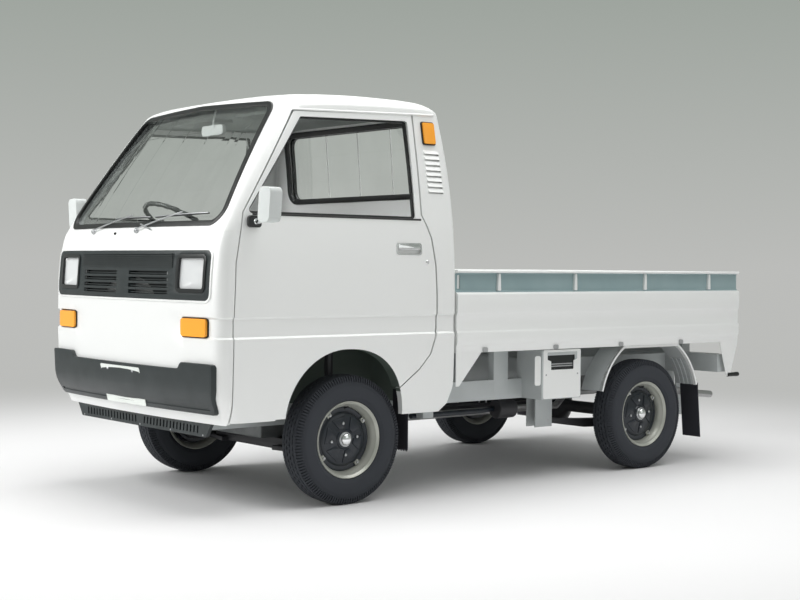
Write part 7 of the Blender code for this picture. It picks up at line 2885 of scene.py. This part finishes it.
def build_battery():
    """The battery behind its white cover, seen through the cover's window."""
    outer = 0.6608
    cover = plate(rounded(rectangle(0.206, 0.450, 0.3760, 0.6010), 0.010), "X", outer - 0.0040, outer)
    window = [
        (0.232, 0.590),
        (0.232, 0.556),
        (0.256, 0.548),
        (0.256, 0.508),
        (0.404, 0.508),
        (0.404, 0.548),
        (0.428, 0.556),
        (0.428, 0.590),
    ]
    cut(cover, plate(rounded(window, 0.004, 3), "X", outer - 0.02, outer + 0.01))
    keep(softened(cover, 0.0012, 1, 40), "battery_cover", "white_paint", "body")
    case = boxes(((outer - 0.120, 0.220, 0.420), (outer - 0.006, 0.440, 0.585)))
    keep(softened(case, 0.003, 2), "battery_case", "battery_case", "body")
    band = boxes(((outer - 0.0064, 0.258, 0.522), (outer - 0.0054, 0.402, 0.527)))
    keep(row(band, "satin_steel", 2, (0, 0, 0.010)), "battery_bands", None, "body")
    screw = turned(
        [(0, 0.0002), (0.0042, 0.0002), (0.0046, -0.001), (0, -0.001)], 16, (outer + 0.0008, 0.224, 0.486)
    )
    keep(row(screw, "satin_steel", 2, (0, 0.206, 0)), "battery_screws", None, "body")


def build_side_posts():
    """The pressed emboss on the panel ahead of the battery."""
    emboss = plate(rounded(rectangle(0.150, 0.188, 0.440, 0.575), 0.010), "X", 0.6600, 0.6620)
    keep(softened(emboss, 0.0008, 1), "post_emboss", "white_paint", "body")


def build_springs():
    """The clamps that hold each leaf spring to the axle, with their nuts, and a bolt by each spring."""
    for side, name in ((1, "left"), (-1, "right")):
        x = side * 0.465
        clamps = []
        for y in (REAR_AXLE_Y - 0.052, REAR_AXLE_Y + 0.052):
            for edge in (-0.0275, 0.0275):
                clamps.append(
                    bar([(x + edge, y, 0.200), (x + edge, y, 0.312)], 0.0042, "black_steel", sides=10)
                )
        plate_low = boxes(
            ((x - 0.034, REAR_AXLE_Y - 0.066, 0.1880), (x + 0.034, REAR_AXLE_Y + 0.066, 0.1955))
        )
        keep(
            gather(*clamps, softened(plate_low, 0.002, 1)),
            "spring_clamps_" + name,
            None,
            "body",
        )
        nuts = turned(
            [(0, -0.006), (0.0075, -0.006), (0.0075, 0.0), (0, 0.0)],
            6,
            (x - 0.0275, REAR_AXLE_Y - 0.052, 0.1880),
            axis="Z",
        )
        pair = row(nuts, "satin_steel", 2, (0, 0.104, 0))
        keep(pair, "spring_nuts_" + name + "_inner", None, "body")
        bolt = turned(
            [(0, 0.0), (0.010, 0.0), (0.010, 0.006), (0, 0.006)],
            6,
            (side * 0.4905 if side > 0 else -0.4965, 0.400, 0.252),
        )
        keep(bolt, "spring_bolt_" + name, "satin_steel", "body")


def build_engine_parts():
    """Cooling ribs under the sump and the bolts of its flange."""
    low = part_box("engine")[0]
    rib = boxes(((-0.120, -0.900, low[2] - 0.0005), (0.120, -0.894, low[2] + 0.004)))
    keep(row(rib, "cast_metal", 12, (0, 0.024, 0)), "sump_ribs", None, "body")
    bolt = turned(
        [(0, -0.004), (0.006, -0.004), (0.006, 0.0), (0, 0.0)], 6, (-0.110, -0.960, low[2] + 0.002), axis="Z"
    )
    keep(row(bolt, "satin_steel", 5, (0.055, 0, 0)), "sump_bolts", None, "body")


def build_pipes():
    """The brake pipe along the frame and the round can beside the left rail."""
    can = turned(
        [(0, -0.055), (0.040, -0.055), (0.044, -0.050), (0.044, 0.050), (0.040, 0.055), (0, 0.055)],
        32,
        (0.455, 0.150, 0.320),
        axis="Y",
    )
    keep(can, "vapour_can", "black_steel", "body")
    pipe = bar(
        [(0.44, -0.40, 0.315), (0.44, 0.02, 0.315), (0.44, 0.10, 0.320)], 0.012, "disc_paint", bend=0.02
    )
    keep(pipe, "cooling_pipe", None, "body")
    brake = bar(
        [(-0.26, -0.30, 0.440), (-0.26, 0.55, 0.440), (-0.20, 0.80, 0.400), (-0.10, 0.84, 0.330)],
        0.0032,
        "satin_steel",
        bend=0.03,
    )
    keep(brake, "brake_pipe", None, "body")


# The sidebar panel and the run
class TRUCK_PT_panel(bpy.types.Panel):
    """Lists the truck's pieces and sizes"""

    bl_idname = "TRUCK_PT_panel"
    bl_label = "Truck"
    bl_space_type = "VIEW_3D"
    bl_region_type = "UI"
    bl_category = "Truck"

    def draw(self, context):
        layout = self.layout
        for name in ("paint", "rim", "seal_width", "tread_pitches", "tread_depth", "hub_nuts", "wipers"):
            layout.prop(context.scene.truck, name)
        for operator in OPERATORS:
            layout.operator(operator.bl_idname)


OPERATORS = (
    TRUCK_OT_finishes,
    TRUCK_OT_stage,
    TRUCK_OT_cab,
    TRUCK_OT_windows,
    TRUCK_OT_front,
    TRUCK_OT_interior,
    TRUCK_OT_fittings,
    TRUCK_OT_wheels,
    TRUCK_OT_bed,
    TRUCK_OT_chassis,
)
CLASSES = (TruckSettings, *OPERATORS, TRUCK_PT_panel)


def register():
    for item in CLASSES:
        bpy.utils.register_class(item)
    bpy.types.Scene.truck = PointerProperty(type=TruckSettings)


def unregister():
    del bpy.types.Scene.truck
    for item in reversed(CLASSES):
        bpy.utils.unregister_class(item)


def main():
    register()
    bpy.ops.truck.finishes()
    bpy.ops.truck.stage()
    bpy.ops.truck.cab()
    bpy.ops.truck.windows()
    bpy.ops.truck.front()
    bpy.ops.truck.interior()
    bpy.ops.truck.fittings()
    bpy.ops.truck.wheels()
    bpy.ops.truck.bed()
    bpy.ops.truck.chassis()


if __name__ == "__main__":
    main()
